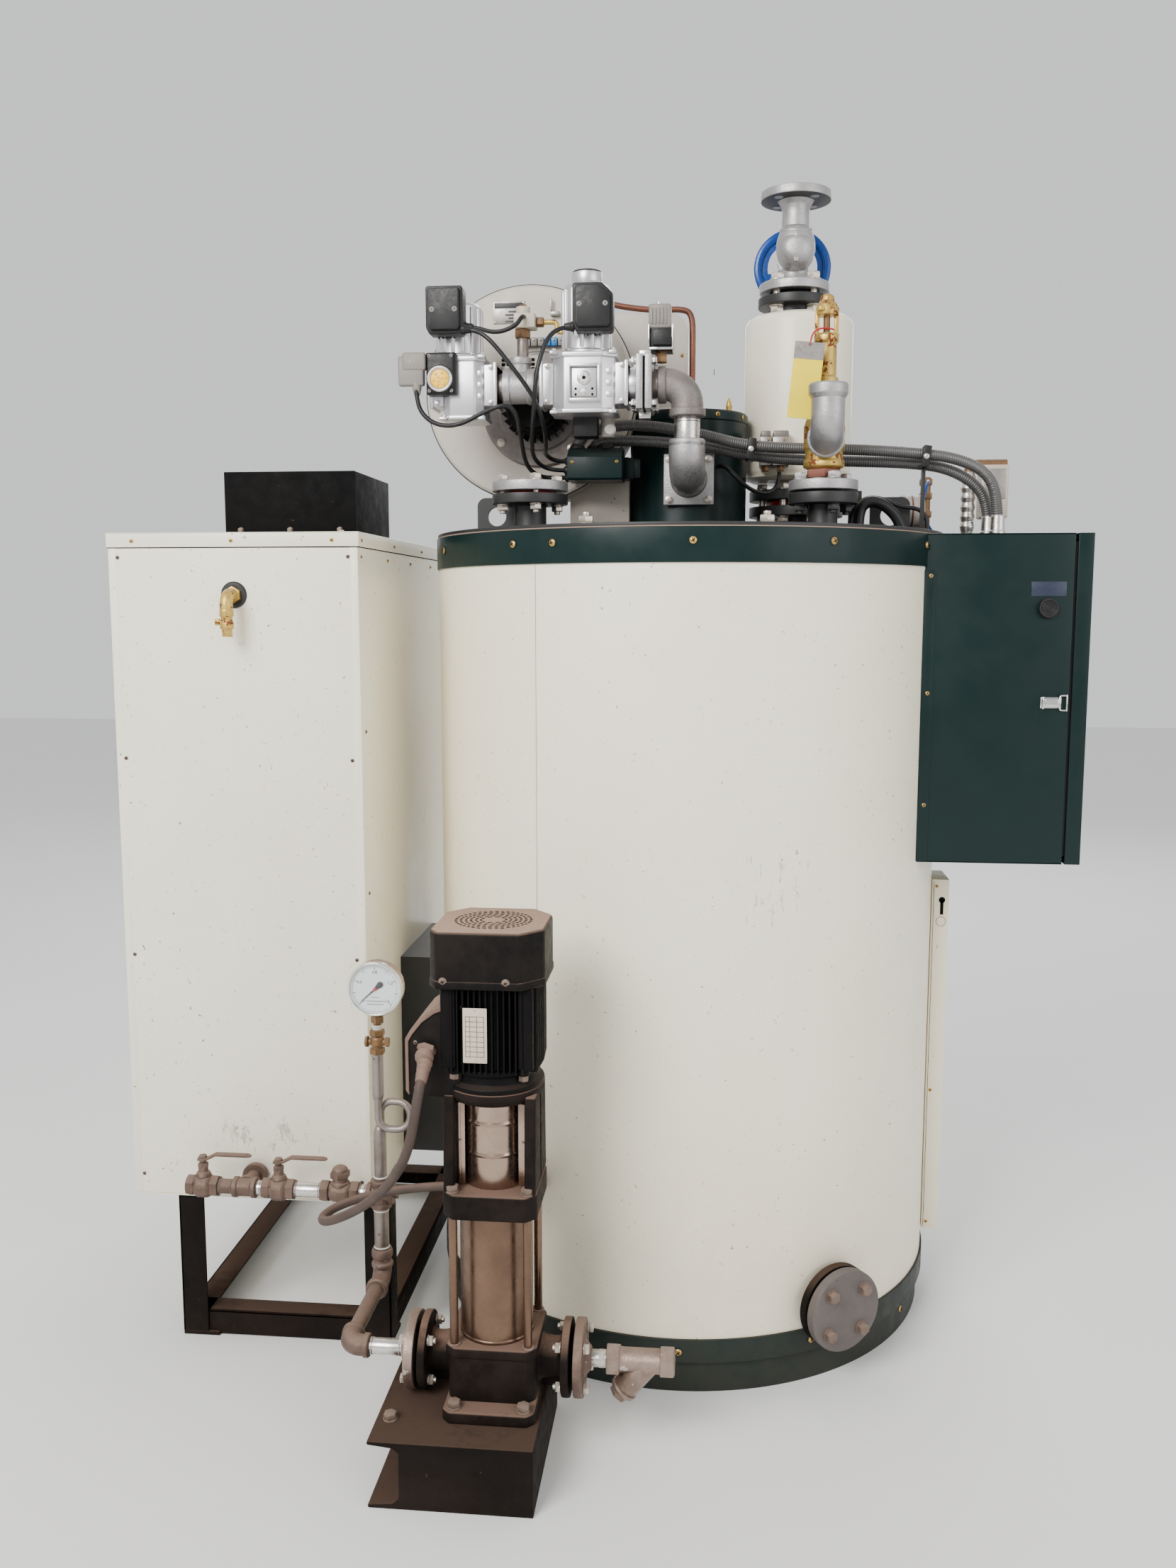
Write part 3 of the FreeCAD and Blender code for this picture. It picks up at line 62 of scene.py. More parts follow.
class Way(Enum):
    """The six directions of the shared frame."""

    RIGHT = (1.0, 0.0, 0.0)
    LEFT = (-1.0, 0.0, 0.0)
    BACK = (0.0, 1.0, 0.0)
    FRONT = (0.0, -1.0, 0.0)
    UP = (0.0, 0.0, 1.0)
    DOWN = (0.0, 0.0, -1.0)


Axis = Union[Way, Sequence[float]]


class Ending(Enum):
    """How a bolt shows above its washer."""

    HEAD = "head"
    NUT = "nut"


@dataclass(frozen=True)
class Room:
    """The space that a CAD node holds, in millimetres."""

    left: float
    right: float
    front: float
    back: float
    low: float
    high: float

    @classmethod
    def of(cls, node: str) -> "Room":
        """The room of one CAD node."""
        low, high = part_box(node)
        return cls(low.x / MM, high.x / MM, low.y / MM, high.y / MM, low.z / MM, high.z / MM)

    @property
    def x(self) -> float:
        """The middle from left to right."""
        return (self.left + self.right) / 2

    @property
    def y(self) -> float:
        """The middle from front to back."""
        return (self.front + self.back) / 2

    @property
    def z(self) -> float:
        """The middle height."""
        return (self.low + self.high) / 2


def direction(way: Axis) -> Vector:
    """A unit vector for a named or a free direction."""
    return Vector(way.value if isinstance(way, Way) else way).normalized()


def aim(at: Sequence[float], way: Axis) -> Matrix:
    """A placement whose Z axis points along a direction.

    Args:
        at: the placement's origin, in millimetres.
        way: the direction that Z is turned onto.

    Returns:
        The placement as a matrix.
    """
    turn = direction(way).to_track_quat("Z", "Y").to_matrix().to_4x4()
    return Matrix.Translation(Vector(at)) @ turn


def upright(offset: float, way: Way) -> Matrix:
    """A placement for an outline that is drawn on an upright or a level plane.

    Args:
        offset: where the plane stands along the direction's axis.
        way: FRONT for (x, z), RIGHT for (y, z) or UP for (x, y) corners; the thickness
            grows in this direction.

    Returns:
        The placement as a matrix.
    """
    if way is Way.FRONT:
        return Matrix(((1, 0, 0, 0), (0, 0, -1, offset), (0, 1, 0, 0), (0, 0, 0, 1)))
    if way is Way.RIGHT:
        return Matrix(((0, 0, 1, offset), (1, 0, 0, 0), (0, 1, 0, 0), (0, 0, 0, 1)))
    return Matrix.Translation((0, 0, offset))


def square(left: float, right: float, front: float, back: float) -> Outline:
    """The four corners of a rectangle seen from above."""
    return [(left, front), (right, front), (right, back), (left, back)]


def disc(radius: float, low: float, high: float) -> list[tuple[float, float]]:
    """A lathe's outline for a plain disc between two heights."""
    return [(0, low), (radius, low), (radius, high), (0, high)]


def washer(inner: float, outer: float, low: float, high: float) -> list[tuple[float, float]]:
    """A lathe's closed outline for a flat ring between two heights."""
    return [(inner, low), (outer, low), (outer, high), (inner, high), (inner, low)]


def corners(x: float, y: float, half_x: float, half_y: float) -> list[tuple[float, float]]:
    """The four corners about a middle, left to right and front to back."""
    return [(x + dx, y + dy) for dx in (-half_x, half_x) for dy in (-half_y, half_y)]


def circle_of(at: Sequence[float], way: Axis, radius: float, count: int,
              start: float = 0.0) -> list[Vector]:
    """Points spread evenly round a circle.

    Args:
        at: the circle's middle.
        way: the circle's axis.
        radius: its radius.
        count: how many points.
        start: the first point's angle, in degrees.

    Returns:
        The points, in order.
    """
    place = aim(at, way)
    angles = [math.radians(start) + math.tau * index / count for index in range(count)]
    return [place @ Vector((radius * math.cos(a), radius * math.sin(a), 0)) for a in angles]


def eased(outline: Outline, ease: float) -> list[tuple[float, float]]:
    """An outline for the lathe with its corners softened.

    Args:
        outline: (radius, height) corners.
        ease: how far from each corner the softening starts.

    Returns:
        The softened outline.
    """
    made = [tuple(outline[0])]
    for before, corner, after in zip(outline, outline[1:], outline[2:]):
        back, middle, ahead = Vector(before), Vector(corner), Vector(after)
        size = min(ease, 0.45 * (middle - back).length, 0.45 * (ahead - middle).length)
        if size < 0.05:
            made.append(tuple(corner))
            continue
        first = middle + (back - middle).normalized() * size
        last = middle + (ahead - middle).normalized() * size
        for share in (0.0, 1 / 3, 2 / 3, 1.0):
            rest = 1 - share
            made.append(tuple(first * rest ** 2 + middle * 2 * share * rest + last * share ** 2))
    made.append(tuple(outline[-1]))
    return made


def soften(part: bmesh.types.BMesh, edges: list, width: float, segments: int = 2) -> None:
    """Soften edges of a part.

    Args:
        part: the part that is changed.
        edges: the edges that are softened.
        width: how wide the softening is.
        segments: how many strips it is made of.
    """
    bmesh.ops.bevel(part, geom=edges, offset=width, offset_type="OFFSET", segments=segments,
                    profile=0.5, affect="EDGES", material=-1)


def lengthen(part: bmesh.types.BMesh, rim: list) -> tuple[list, list]:
    """Grow a tube by one step from its open rim.

    Args:
        part: the tube.
        rim: the edges of its open end.

    Returns:
        The new corners and the new rim, which still lie on the old ones.
    """
    grown = bmesh.ops.extrude_edge_only(part, edges=rim)["geom"]
    fresh = [item for item in grown if isinstance(item, bmesh.types.BMVert)]
    return fresh, [item for item in grown if isinstance(item, bmesh.types.BMEdge)
                   and all(vert in fresh for vert in item.verts)]


def shown(name: str, data: bpy.types.ID) -> bpy.types.Object:
    """Put a mesh or a curve into the scene as an object of that name."""
    made = bpy.data.objects.new(name, data)
    bpy.context.scene.collection.objects.link(made)
    return made


class Piece:
    """A mesh under construction, in millimetres, that may carry several finishes."""

    def __init__(self, name: str) -> None:
        """Start an empty piece of that name."""
        self.name = name
        self.mesh = bmesh.new()
        self.finishes: list[Finish] = []

    def add(self, part: bmesh.types.BMesh, finish: "Finish", place: Matrix) -> None:
        """Place a finished part and merge it into the piece.

        Args:
            part: the part's own mesh, which is freed.
            finish: what its faces are covered with.
            place: where it goes.
        """
        bmesh.ops.transform(part, matrix=place, verts=part.verts)
        if finish not in self.finishes:
            self.finishes.append(finish)
        for face in part.faces:
            face.material_index = self.finishes.index(finish)
        scratch = bpy.data.meshes.new("scratch")
        part.to_mesh(scratch)
        part.free()
        self.mesh.from_mesh(scratch)
        bpy.data.meshes.remove(scratch)

    def block(self, low: Sequence[float], high: Sequence[float], finish: "Finish",
              bevel: float = 1.0, segments: int = 2, place: Matrix = Matrix()) -> None:
        """A box between two corners with softened edges.

        Args:
            low: its lowest corner.
            high: its highest corner.
            finish: its finish.
            bevel: the width of its softened edges.
            segments: how many strips each edge is softened with.
            place: a placement applied afterwards.
        """
        part = bmesh.new()
        bmesh.ops.create_cube(part, size=1.0)
        first, last = Vector(low), Vector(high)
        bmesh.ops.scale(part, vec=last - first, verts=part.verts)
        bmesh.ops.translate(part, vec=(first + last) / 2, verts=part.verts)
        if bevel:
            soften(part, part.edges[:], min(bevel, min(last - first) * 0.45), segments)
        self.add(part, finish, place)

    def rod(self, at: Sequence[float], way: Axis, radius: float,
            length: float, finish: "Finish", sides: int = 32, bevel: float = 0.8,
            tip: "float | None" = None, place: Matrix = Matrix()) -> None:
        """A round, conical or many-sided bar with softened ends.

        Args:
            at: the middle of its first end.
            way: the direction it runs in.
            radius: its radius, or half its width across corners.
            length: its length.
            finish: its finish.
            sides: how many sides it has.
            bevel: the width of its softened rims.
            tip: the radius of its far end, if that differs.
            place: a placement applied afterwards.
        """
        part = bmesh.new()
        bmesh.ops.create_cone(part, cap_ends=True, segments=sides, radius1=radius,
                              radius2=radius if tip is None else tip, depth=length)
        bmesh.ops.translate(part, vec=(0, 0, length / 2), verts=part.verts)
        if bevel:
            rims = [edge for edge in part.edges
                    if abs(edge.verts[0].co.z - edge.verts[1].co.z) < 1e-4]
            soften(part, rims, min(bevel, length * 0.4, radius * 0.4))
        self.add(part, finish, place @ aim(at, way))

    def lathe(self, outline: Outline, at: Sequence[float], way: Axis,
              finish: "Finish", sides: int = 48, ease: float = 1.2, sweep: float = 360.0,
              start: float = 0.0) -> None:
        """A shape turned from an outline.

        Args:
            outline: (radius, height) corners; equal ends close it into a hollow ring.
            at: where the outline's origin goes.
            way: the direction of its axis.
            finish: its finish.
            sides: how many steps the turn has.
            ease: how much its corners are softened.
            sweep: the turned angle, in degrees.
            start: the angle at which the turn starts.
        """
        part = bmesh.new()
        points = eased(outline, ease) if ease else list(outline)
        closed = (Vector(points[0]) - Vector(points[-1])).length < 1e-6
        if closed:
            points = points[:-1]
        rise = [part.verts.new((radius, 0.0, height)) for radius, height in points]
        edges = [part.edges.new(pair) for pair in zip(rise, rise[1:])]
        if closed:
            edges.append(part.edges.new((rise[-1], rise[0])))
        full = sweep >= 360.0
        if not full and closed:
            cap = part.faces.new(rise)
            geometry = [cap] + edges + rise
        else:
            geometry = edges + rise
        bmesh.ops.rotate(part, verts=part.verts, cent=(0, 0, 0),
                         matrix=Matrix.Rotation(math.radians(start), 3, "Z"))
        bmesh.ops.spin(part, geom=geometry, cent=(0, 0, 0), axis=(0, 0, 1),
                       angle=math.radians(sweep), steps=sides, use_merge=full,
                       use_duplicate=False)
        bmesh.ops.remove_doubles(part, verts=part.verts, dist=MERGE)
        bmesh.ops.recalc_face_normals(part, faces=part.faces)
        self.add(part, finish, aim(at, way))

    def ring(self, at: Sequence[float], way: Axis, mean: float,
             thick: float, finish: "Finish", sides: int = 48, around: int = 12,
             sweep: float = 360.0, start: float = 0.0) -> None:
        """A ring of round section, whole or part of one.

        Args:
            at: its middle.
            way: its axis.
            mean: the radius of its middle line.
            thick: the radius of its section.
            finish: its finish.
            sides: steps round the ring.
            around: steps round its section.
            sweep: its angle, in degrees.
            start: the angle at which it starts.
        """
        outline = [(mean + thick * math.cos(math.tau * step / around),
                    thick * math.sin(math.tau * step / around)) for step in range(around)]
        self.lathe(outline + outline[:1], at, way, finish, sides, 0.0, sweep, start)

    def prism(self, outline: Outline, depth: float, place: Matrix, finish: "Finish",
              bevel: float = 0.8, segments: int = 2) -> None:
        """A flat outline given a thickness.

        Args:
            outline: the corners in the placement's XY plane.
            depth: the thickness along the placement's Z axis.
            place: where it goes.
            finish: its finish.
            bevel: the width of its softened edges.
            segments: how many strips each edge is softened with.
        """
        part = bmesh.new()
        face = part.faces.new([part.verts.new((u, v, 0.0)) for u, v in outline])
        grown = bmesh.ops.extrude_face_region(part, geom=[face])["geom"]
        moved = [item for item in grown if isinstance(item, bmesh.types.BMVert)]
        bmesh.ops.translate(part, vec=(0, 0, depth), verts=moved)
        bmesh.ops.recalc_face_normals(part, faces=part.faces)
        if bevel:
            soften(part, part.edges[:], min(bevel, abs(depth) * 0.4), segments)
        self.add(part, finish, place)

    def hollow(self, outer: Outline, inner: Outline, low: float, high: float,
               finish: "Finish", bevel: float = 1.0, segments: int = 2) -> None:
        """An upright wall that runs round an opening.

        Args:
            outer: the corners of its outside, in the XY plane.
            inner: the corners of the opening, in the same order.
            low: its lowest height.
            high: its highest height.
            finish: its finish.
            bevel: the width of its softened edges.
            segments: how many strips each edge is softened with.
        """
        part = bmesh.new()
        loops = [[part.verts.new((x, y, height)) for x, y in outline] for outline, height in
                 ((outer, low), (outer, high), (inner, high), (inner, low))]
        for first, last in zip(loops, loops[1:] + loops[:1]):
            for index in range(len(first)):
                ahead = (index + 1) % len(first)
                part.faces.new((first[index], first[ahead], last[ahead], last[index]))
        bmesh.ops.recalc_face_normals(part, faces=part.faces)
        corners = [edge for edge in part.edges if edge.calc_face_angle(0.0) > 0.1]
        soften(part, corners, bevel, segments)
        self.add(part, finish, Matrix())

    def pipe(self, points: Sequence[Sequence[float]], radius: float, finish: "Finish",
             bend: float = 22.0, sides: int = 24) -> None:
        """A rigid pipe: straight runs joined by turned elbows.

        Args:
            points: its ends and the corners between them.
            radius: the pipe's radius.
            finish: its finish.
            bend: the radius of the elbows' middle line.
            sides: steps round its section.
        """
        part = bmesh.new()
        stops = [Vector(point) for point in points]
        way = (stops[1] - stops[0]).normalized()
        here = stops[0]
        bmesh.ops.create_circle(part, cap_ends=True, segments=sides, radius=radius,
                                matrix=aim(here, way))
        rim = part.edges[:]
        for index, stop in enumerate(stops[1:], start=1):
            turned = None
            if index < len(stops) - 1:
                turned = (stops[index + 1] - stop).normalized()
                stop = stop - way * bend * math.tan(way.angle(turned) / 2)
            fresh, rim = lengthen(part, rim)
            bmesh.ops.translate(part, vec=stop - here, verts=fresh)
            here = stop
            if turned is None:
                continue
            axis = way.cross(turned).normalized()
            centre = here + axis.cross(way) * bend
            angle = way.angle(turned)
            ends = list({vert for edge in rim for vert in edge.verts})
            last = bmesh.ops.spin(part, geom=rim + ends, cent=centre, axis=axis, angle=angle,
                                  steps=8, use_duplicate=False)["geom_last"]
            rim = [item for item in last if isinstance(item, bmesh.types.BMEdge)]
            here = centre + Matrix.Rotation(angle, 3, axis) @ (here - centre)
            way = turned
        bmesh.ops.contextual_create(part, geom=rim)
        bmesh.ops.remove_doubles(part, verts=part.verts, dist=MERGE)
        bmesh.ops.recalc_face_normals(part, faces=part.faces)
        self.add(part, finish, Matrix())

    def bolt(self, at: Sequence[float], way: Axis, flats: float,
             finish: "Finish", ending: Ending = Ending.HEAD) -> None:
        """A hexagon head or nut on its washer.

        Args:
            at: the middle of the washer's seat.
            way: the direction it points in.
            flats: its width across flats.
            finish: its finish.
            ending: whether a head or a nut with its stud shows.
        """
        axis = direction(way)
        base = Vector(at)
        self.rod(base, axis, flats * 0.62, flats * 0.11, finish, 20, 0.3)
        seat = base + axis * flats * 0.1
        self.rod(seat, axis, flats / math.sqrt(3), flats * 0.52, finish, 6, flats * 0.07)
        top = seat + axis * flats * 0.52
        if ending is Ending.NUT:
            self.rod(top - axis, axis, flats * 0.3, flats * 0.28 + 1, finish, 14, 0.8)
        else:
            self.rod(top - axis * 0.4, axis, flats * 0.44, 0.8, finish, 18, 0.3)

    def screw(self, at: Sequence[float], way: Axis, radius: float,
              finish: "Finish") -> None:
        """A low round head with a crossed recess.

        Args:
            at: the middle of its seat.
            way: the direction it points in.
            radius: the head's radius.
            finish: its finish.
        """
        height = radius * 0.55
        self.lathe([(0, height), (radius * 0.6, height * 0.86), (radius, height * 0.3),
                    (radius, 0), (0, 0)], at, way, finish, 14, 0.0)
        place = aim(at, way)
        for turn in (0.0, math.pi / 2):
            self.block((-radius * 0.62, -radius * 0.13, height * 0.6),
                       (radius * 0.62, radius * 0.13, height * 1.04), SEAM_SHADOW, 0.0, 1,
                       place @ Matrix.Rotation(turn + 0.5, 4, "Z"))

    def text(self, words: str, size: float, place: Matrix, finish: "Finish") -> None:
        """Flat figures for a dial.

        Args:
            words: the figures.
            size: their height.
            place: where their middle goes; they lie in its XY plane.
            finish: their finish.
        """
        curve = bpy.data.curves.new("figures", "FONT")
        curve.body = words
        curve.size = size
        curve.align_x = "CENTER"
        curve.align_y = "CENTER"
        holder = bpy.data.objects.new("figures", curve)
        flat = bpy.data.meshes.new_from_object(holder)
        part = bmesh.new()
        part.from_mesh(flat)
        bpy.data.objects.remove(holder)
        bpy.data.curves.remove(curve)
        bpy.data.meshes.remove(flat)
        self.add(part, finish, place)

    def done(self, slot: str, *nodes: str, body: str = "boiler") -> bpy.types.Object:
        """Turn the piece into an object that rides on its body.

        Args:
            slot: not used.
            nodes: the CAD nodes it stands for.
            body: the body it moves with.

        Returns:
            The finished object.
        """
        data = bpy.data.meshes.new(self.name)
        bmesh.ops.scale(self.mesh, vec=(MM, MM, MM), verts=self.mesh.verts)
        self.mesh.to_mesh(data)
        self.mesh.free()
        data.shade_smooth()
        data.set_sharp_from_angle(angle=SHARP)
        for finish in self.finishes:
            data.materials.append(finish.material())
        made = shown(self.name, data)
        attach(made, body)
        if nodes:
            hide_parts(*nodes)
        LOG.info("%s: %d faces, rides on %s", self.name, len(data.polygons), body)
        return made


@dataclass(frozen=True)
class Strand:
    """A flexible line on one smooth curve, with points in metres."""

    name: str
    points: Sequence[Sequence[float]]
    radius: float

    def line(self) -> bpy.types.Curve:
        """The curve without thickness."""
        data = bpy.data.curves.new(self.name, "CURVE")
        data.dimensions = "3D"
        spline = data.splines.new("NURBS")
        spline.points.add(len(self.points) - 1)
        for control, point in zip(spline.points, self.points):
            control.co = (*point, 1.0)
        spline.order_u = 3
        spline.use_endpoint_u = True
        spline.resolution_u = 8
        data.resolution_u = 8
        return data

    def curve(self, finish: "Finish") -> bpy.types.Object:
        """The line as a round curve object."""
        data = self.line()
        data.bevel_depth = self.radius
        data.bevel_resolution = 4
        data.use_fill_caps = True
        data.materials.append(finish.material())
        made = shown(self.name, data)
        return made

    def path(self) -> list[Vector]:
        """Points read from the smooth curve, in metres."""
        data = self.line()
        holder = bpy.data.objects.new("reading", data)
        flat = bpy.data.meshes.new_from_object(holder)
        found = [vert.co.copy() for vert in flat.vertices]
        bpy.data.objects.remove(holder)
        bpy.data.curves.remove(data)
        bpy.data.meshes.remove(flat)
        return found

    def frames(self, pitch: float) -> list[Matrix]:
        """Placements spaced evenly along the curve, in metres.

        Args:
            pitch: the distance between two of them.

        Returns:
            Placements whose Z axes follow the curve without twisting.
        """
        path = self.path()
        made: list[Matrix] = []
        turn = (path[1] - path[0]).to_track_quat("Z", "Y")
        due = 0.0
        for first, last in zip(path, path[1:]):
            step = last - first
            turn = (turn @ Vector((0, 0, 1))).rotation_difference(step) @ turn
            while due < step.length:
                spot = first + step * (due / step.length)
                made.append(Matrix.Translation(spot) @ turn.to_matrix().to_4x4())
                due += pitch
            due -= step.length
        made.append(Matrix.Translation(path[-1]) @ turn.to_matrix().to_4x4())
        return made

    def ribbed(self, piece: Piece, finish: "Finish", pitch: float, depth: float,
               sides: int = 16) -> None:
        """Add the line to a piece as a hose with round ribs.

        Args:
            piece: the piece that it joins.
            finish: its finish.
            pitch: the distance from rib to rib, in metres.
            depth: how deep the valleys are, in metres.
            sides: steps round its section.
        """
        part = bmesh.new()
        bmesh.ops.create_circle(part, cap_ends=True, segments=sides, radius=1.0)
        rim = part.edges[:]
        before = Matrix()
        for index, placed in enumerate(self.frames(pitch / 3)):
            width = (self.radius - (depth if index % 3 == 0 else 0.0)) / MM
            now = Matrix.Scale(1 / MM, 4) @ placed @ Matrix.Scale(MM * width, 4)
            if index == 0:
                fresh = part.verts[:]
            else:
                fresh, rim = lengthen(part, rim)
            bmesh.ops.transform(part, matrix=now @ before.inverted(), verts=fresh)
            before = now
        bmesh.ops.contextual_create(part, geom=rim)
        bmesh.ops.recalc_face_normals(part, faces=part.faces)
        piece.add(part, finish, Matrix())


class Nodes:
    """A node tree with short calls for adding and joining nodes."""

    def __init__(self, tree: bpy.types.NodeTree) -> None:
        """Work on that tree."""
        self.tree = tree

    def add(self, kind: str, **settings: object) -> bpy.types.Node:
        """Add a node and set its own properties."""
        node = self.tree.nodes.new(kind)
        for key, value in settings.items():
            setattr(node, key, value)
        return node

    def join(self, source: bpy.types.NodeSocket, target: bpy.types.NodeSocket) -> None:
        """Join two sockets."""
        self.tree.links.new(source, target)

    def feed(self, target: bpy.types.NodeSocket, value: object) -> None:
        """Give a socket a value, or join it to another socket."""
        if isinstance(value, bpy.types.NodeSocket):
            self.join(value, target)
        elif isinstance(value, tuple) and len(value) == 3 and len(target.default_value) == 4:
            target.default_value = (*value, 1.0)
        else:
            target.default_value = value

    def math(self, operation: str, *values: object) -> bpy.types.NodeSocket:
        """A calculation on one, two or three values, kept from 0 to 1."""
        node = self.add("ShaderNodeMath", operation=operation, use_clamp=True)
        for socket, value in zip(node.inputs, values):
            self.feed(socket, value)
        return node.outputs[0]

    def noise(self, vector: object, scale: object, detail: float = 5.0,
              roughness: float = 0.6) -> bpy.types.NodeSocket:
        """A cloudy pattern."""
        node = self.add("ShaderNodeTexNoise")
        self.feed(node.inputs["Vector"], vector)
        self.feed(node.inputs["Scale"], scale)
        node.inputs["Detail"].default_value = detail
        node.inputs["Roughness"].default_value = roughness
        return node.outputs["Fac"]

    def spread(self, value: object, low: object, high: object, start: object = 0.0,
               end: object = 1.0) -> bpy.types.NodeSocket:
        """Stretch the span from low to high over the span from start to end."""
        node = self.add("ShaderNodeMapRange", clamp=True, interpolation_type="SMOOTHSTEP")
        for name, item in zip(("Value", "From Min", "From Max", "To Min", "To Max"),
                              (value, low, high, start, end)):
            self.feed(node.inputs[name], item)
        return node.outputs["Result"]

    def mix(self, share: object, first: object, second: object) -> bpy.types.NodeSocket:
        """A mix of two colours."""
        node = self.add("ShaderNodeMix", data_type="RGBA")
        self.feed(node.inputs["Factor"], share)
        self.feed(node.inputs[6], first)
        self.feed(node.inputs[7], second)
        return node.outputs[2]

    def stretch(self, vector: object, scale: Sequence[float],
                shift: Sequence[float] = (0.0, 0.0, 0.0)) -> bpy.types.NodeSocket:
        """Shift and stretch coordinates."""
        node = self.add("ShaderNodeMapping")
        self.feed(node.inputs["Vector"], vector)
        node.inputs["Location"].default_value = tuple(shift)
        node.inputs["Scale"].default_value = tuple(scale)
        return node.outputs[0]


class Effect(Enum):
    """The shared surface effects."""

    PATCHES = "patches"
    DUST = "settled dust"
    GRIME = "floor grime"
    CHIPS = "chipped spots"
    GRAIN = "fine grain"
    SCRATCHES = "fine scratches"


def effect_group(effect: Effect) -> bpy.types.ShaderNodeTree:
    """The node group of one shared effect, built the first time it is asked for.

    Args:
        effect: which effect.

    Returns:
        The group, which puts out only colours, masks or heights.
    """
    made = bpy.data.node_groups.get(effect.value)
    if made is not None:
        return made
    made = bpy.data.node_groups.new(effect.value, "ShaderNodeTree")
    nodes = Nodes(made)
    ways_in = {
        Effect.PATCHES: (("Vector", "Vector"), ("Color", "Colour"), ("Color", "Shade"),
                         ("Float", "Scale"), ("Float", "Amount")),
        Effect.DUST: (("Vector", "Vector"), ("Vector", "Normal"), ("Float", "Amount"),
                      ("Float", "Scale")),
        Effect.GRIME: (("Vector", "Vector"), ("Float", "Height"), ("Float", "Amount")),
        Effect.CHIPS: (("Vector", "Vector"), ("Float", "Scale"), ("Float", "Amount")),
        Effect.GRAIN: (("Vector", "Vector"), ("Float", "Scale")),
        Effect.SCRATCHES: (("Vector", "Vector"), ("Float", "Scale"), ("Float", "Amount")),
    }[effect]
    for kind, name in ways_in:
        made.interface.new_socket(name=name, in_out="INPUT", socket_type="NodeSocket" + kind)
    out = "Colour" if effect is Effect.PATCHES else "Mask"
    made.interface.new_socket(name=out, in_out="OUTPUT",
                              socket_type="NodeSocketColor" if out == "Colour"
                              else "NodeSocketFloat")
    entry = nodes.add("NodeGroupInput").outputs
    leave = nodes.add("NodeGroupOutput").inputs
    vector = entry["Vector"]
    if effect is Effect.PATCHES:
        wide = nodes.noise(vector, entry["Scale"], 6.0, 0.62)
        share = nodes.math("MULTIPLY", nodes.spread(wide, 0.36, 0.68), entry["Amount"])
        result = nodes.mix(share, entry["Colour"], entry["Shade"])
    elif effect is Effect.DUST:
        part = nodes.add("ShaderNodeSeparateXYZ")
        nodes.join(entry["Normal"], part.inputs[0])
        upward = nodes.spread(part.outputs["Z"], 0.3, 0.95)
        cloud = nodes.spread(nodes.noise(vector, entry["Scale"], 7.0, 0.7), 0.3, 0.66)
        lying = nodes.math("MULTIPLY", upward, nodes.math("ADD", cloud, 0.55))
        film = nodes.math("MULTIPLY", cloud, 0.07)
        result = nodes.math("MULTIPLY", nodes.math("MAXIMUM", lying, film), entry["Amount"])
    elif effect is Effect.GRIME:
        part = nodes.add("ShaderNodeSeparateXYZ")
        nodes.join(vector, part.inputs[0])
        rise = nodes.spread(part.outputs["Z"], 0.0, entry["Height"], 1.0, 0.0)
        cloud = nodes.spread(nodes.noise(vector, 9.0, 7.0, 0.7), 0.25, 0.7)
        result = nodes.math("MULTIPLY", nodes.math("MULTIPLY", rise,
                                                   nodes.math("ADD", cloud, 0.35)),
                            entry["Amount"])
    elif effect is Effect.CHIPS:
        spots = nodes.noise(vector, entry["Scale"], 3.0, 0.75)
        edge = nodes.math("SUBTRACT", 0.80, nodes.math("MULTIPLY", entry["Amount"], 0.22))
        upper = nodes.math("ADD", edge, 0.03)
        result = nodes.spread(spots, edge, upper)
    elif effect is Effect.GRAIN:
        result = nodes.noise(vector, entry["Scale"], 4.0, 0.65)
    else:
        first = nodes.noise(nodes.stretch(vector, (1.0, 1.0, 0.08)), entry["Scale"], 3.0, 0.8)
        second = nodes.noise(nodes.stretch(vector, (0.10, 0.10, 1.0), (3.0, 1.0, 2.0)),
                             entry["Scale"], 3.0, 0.8)
        streak = nodes.math("MAXIMUM", nodes.spread(first, 0.70, 0.76),
                            nodes.spread(second, 0.71, 0.76))
        result = nodes.math("MULTIPLY", streak, entry["Amount"])
    nodes.join(result, leave[out])
    return made


def blank(name: str) -> "tuple[bpy.types.Material, Nodes, bpy.types.Node]":
    """A new material of that name, with its node tree and its shader."""
    made = bpy.data.materials.new(name)
    made.use_nodes = True
    return made, Nodes(made.node_tree), made.node_tree.nodes["Principled BSDF"]


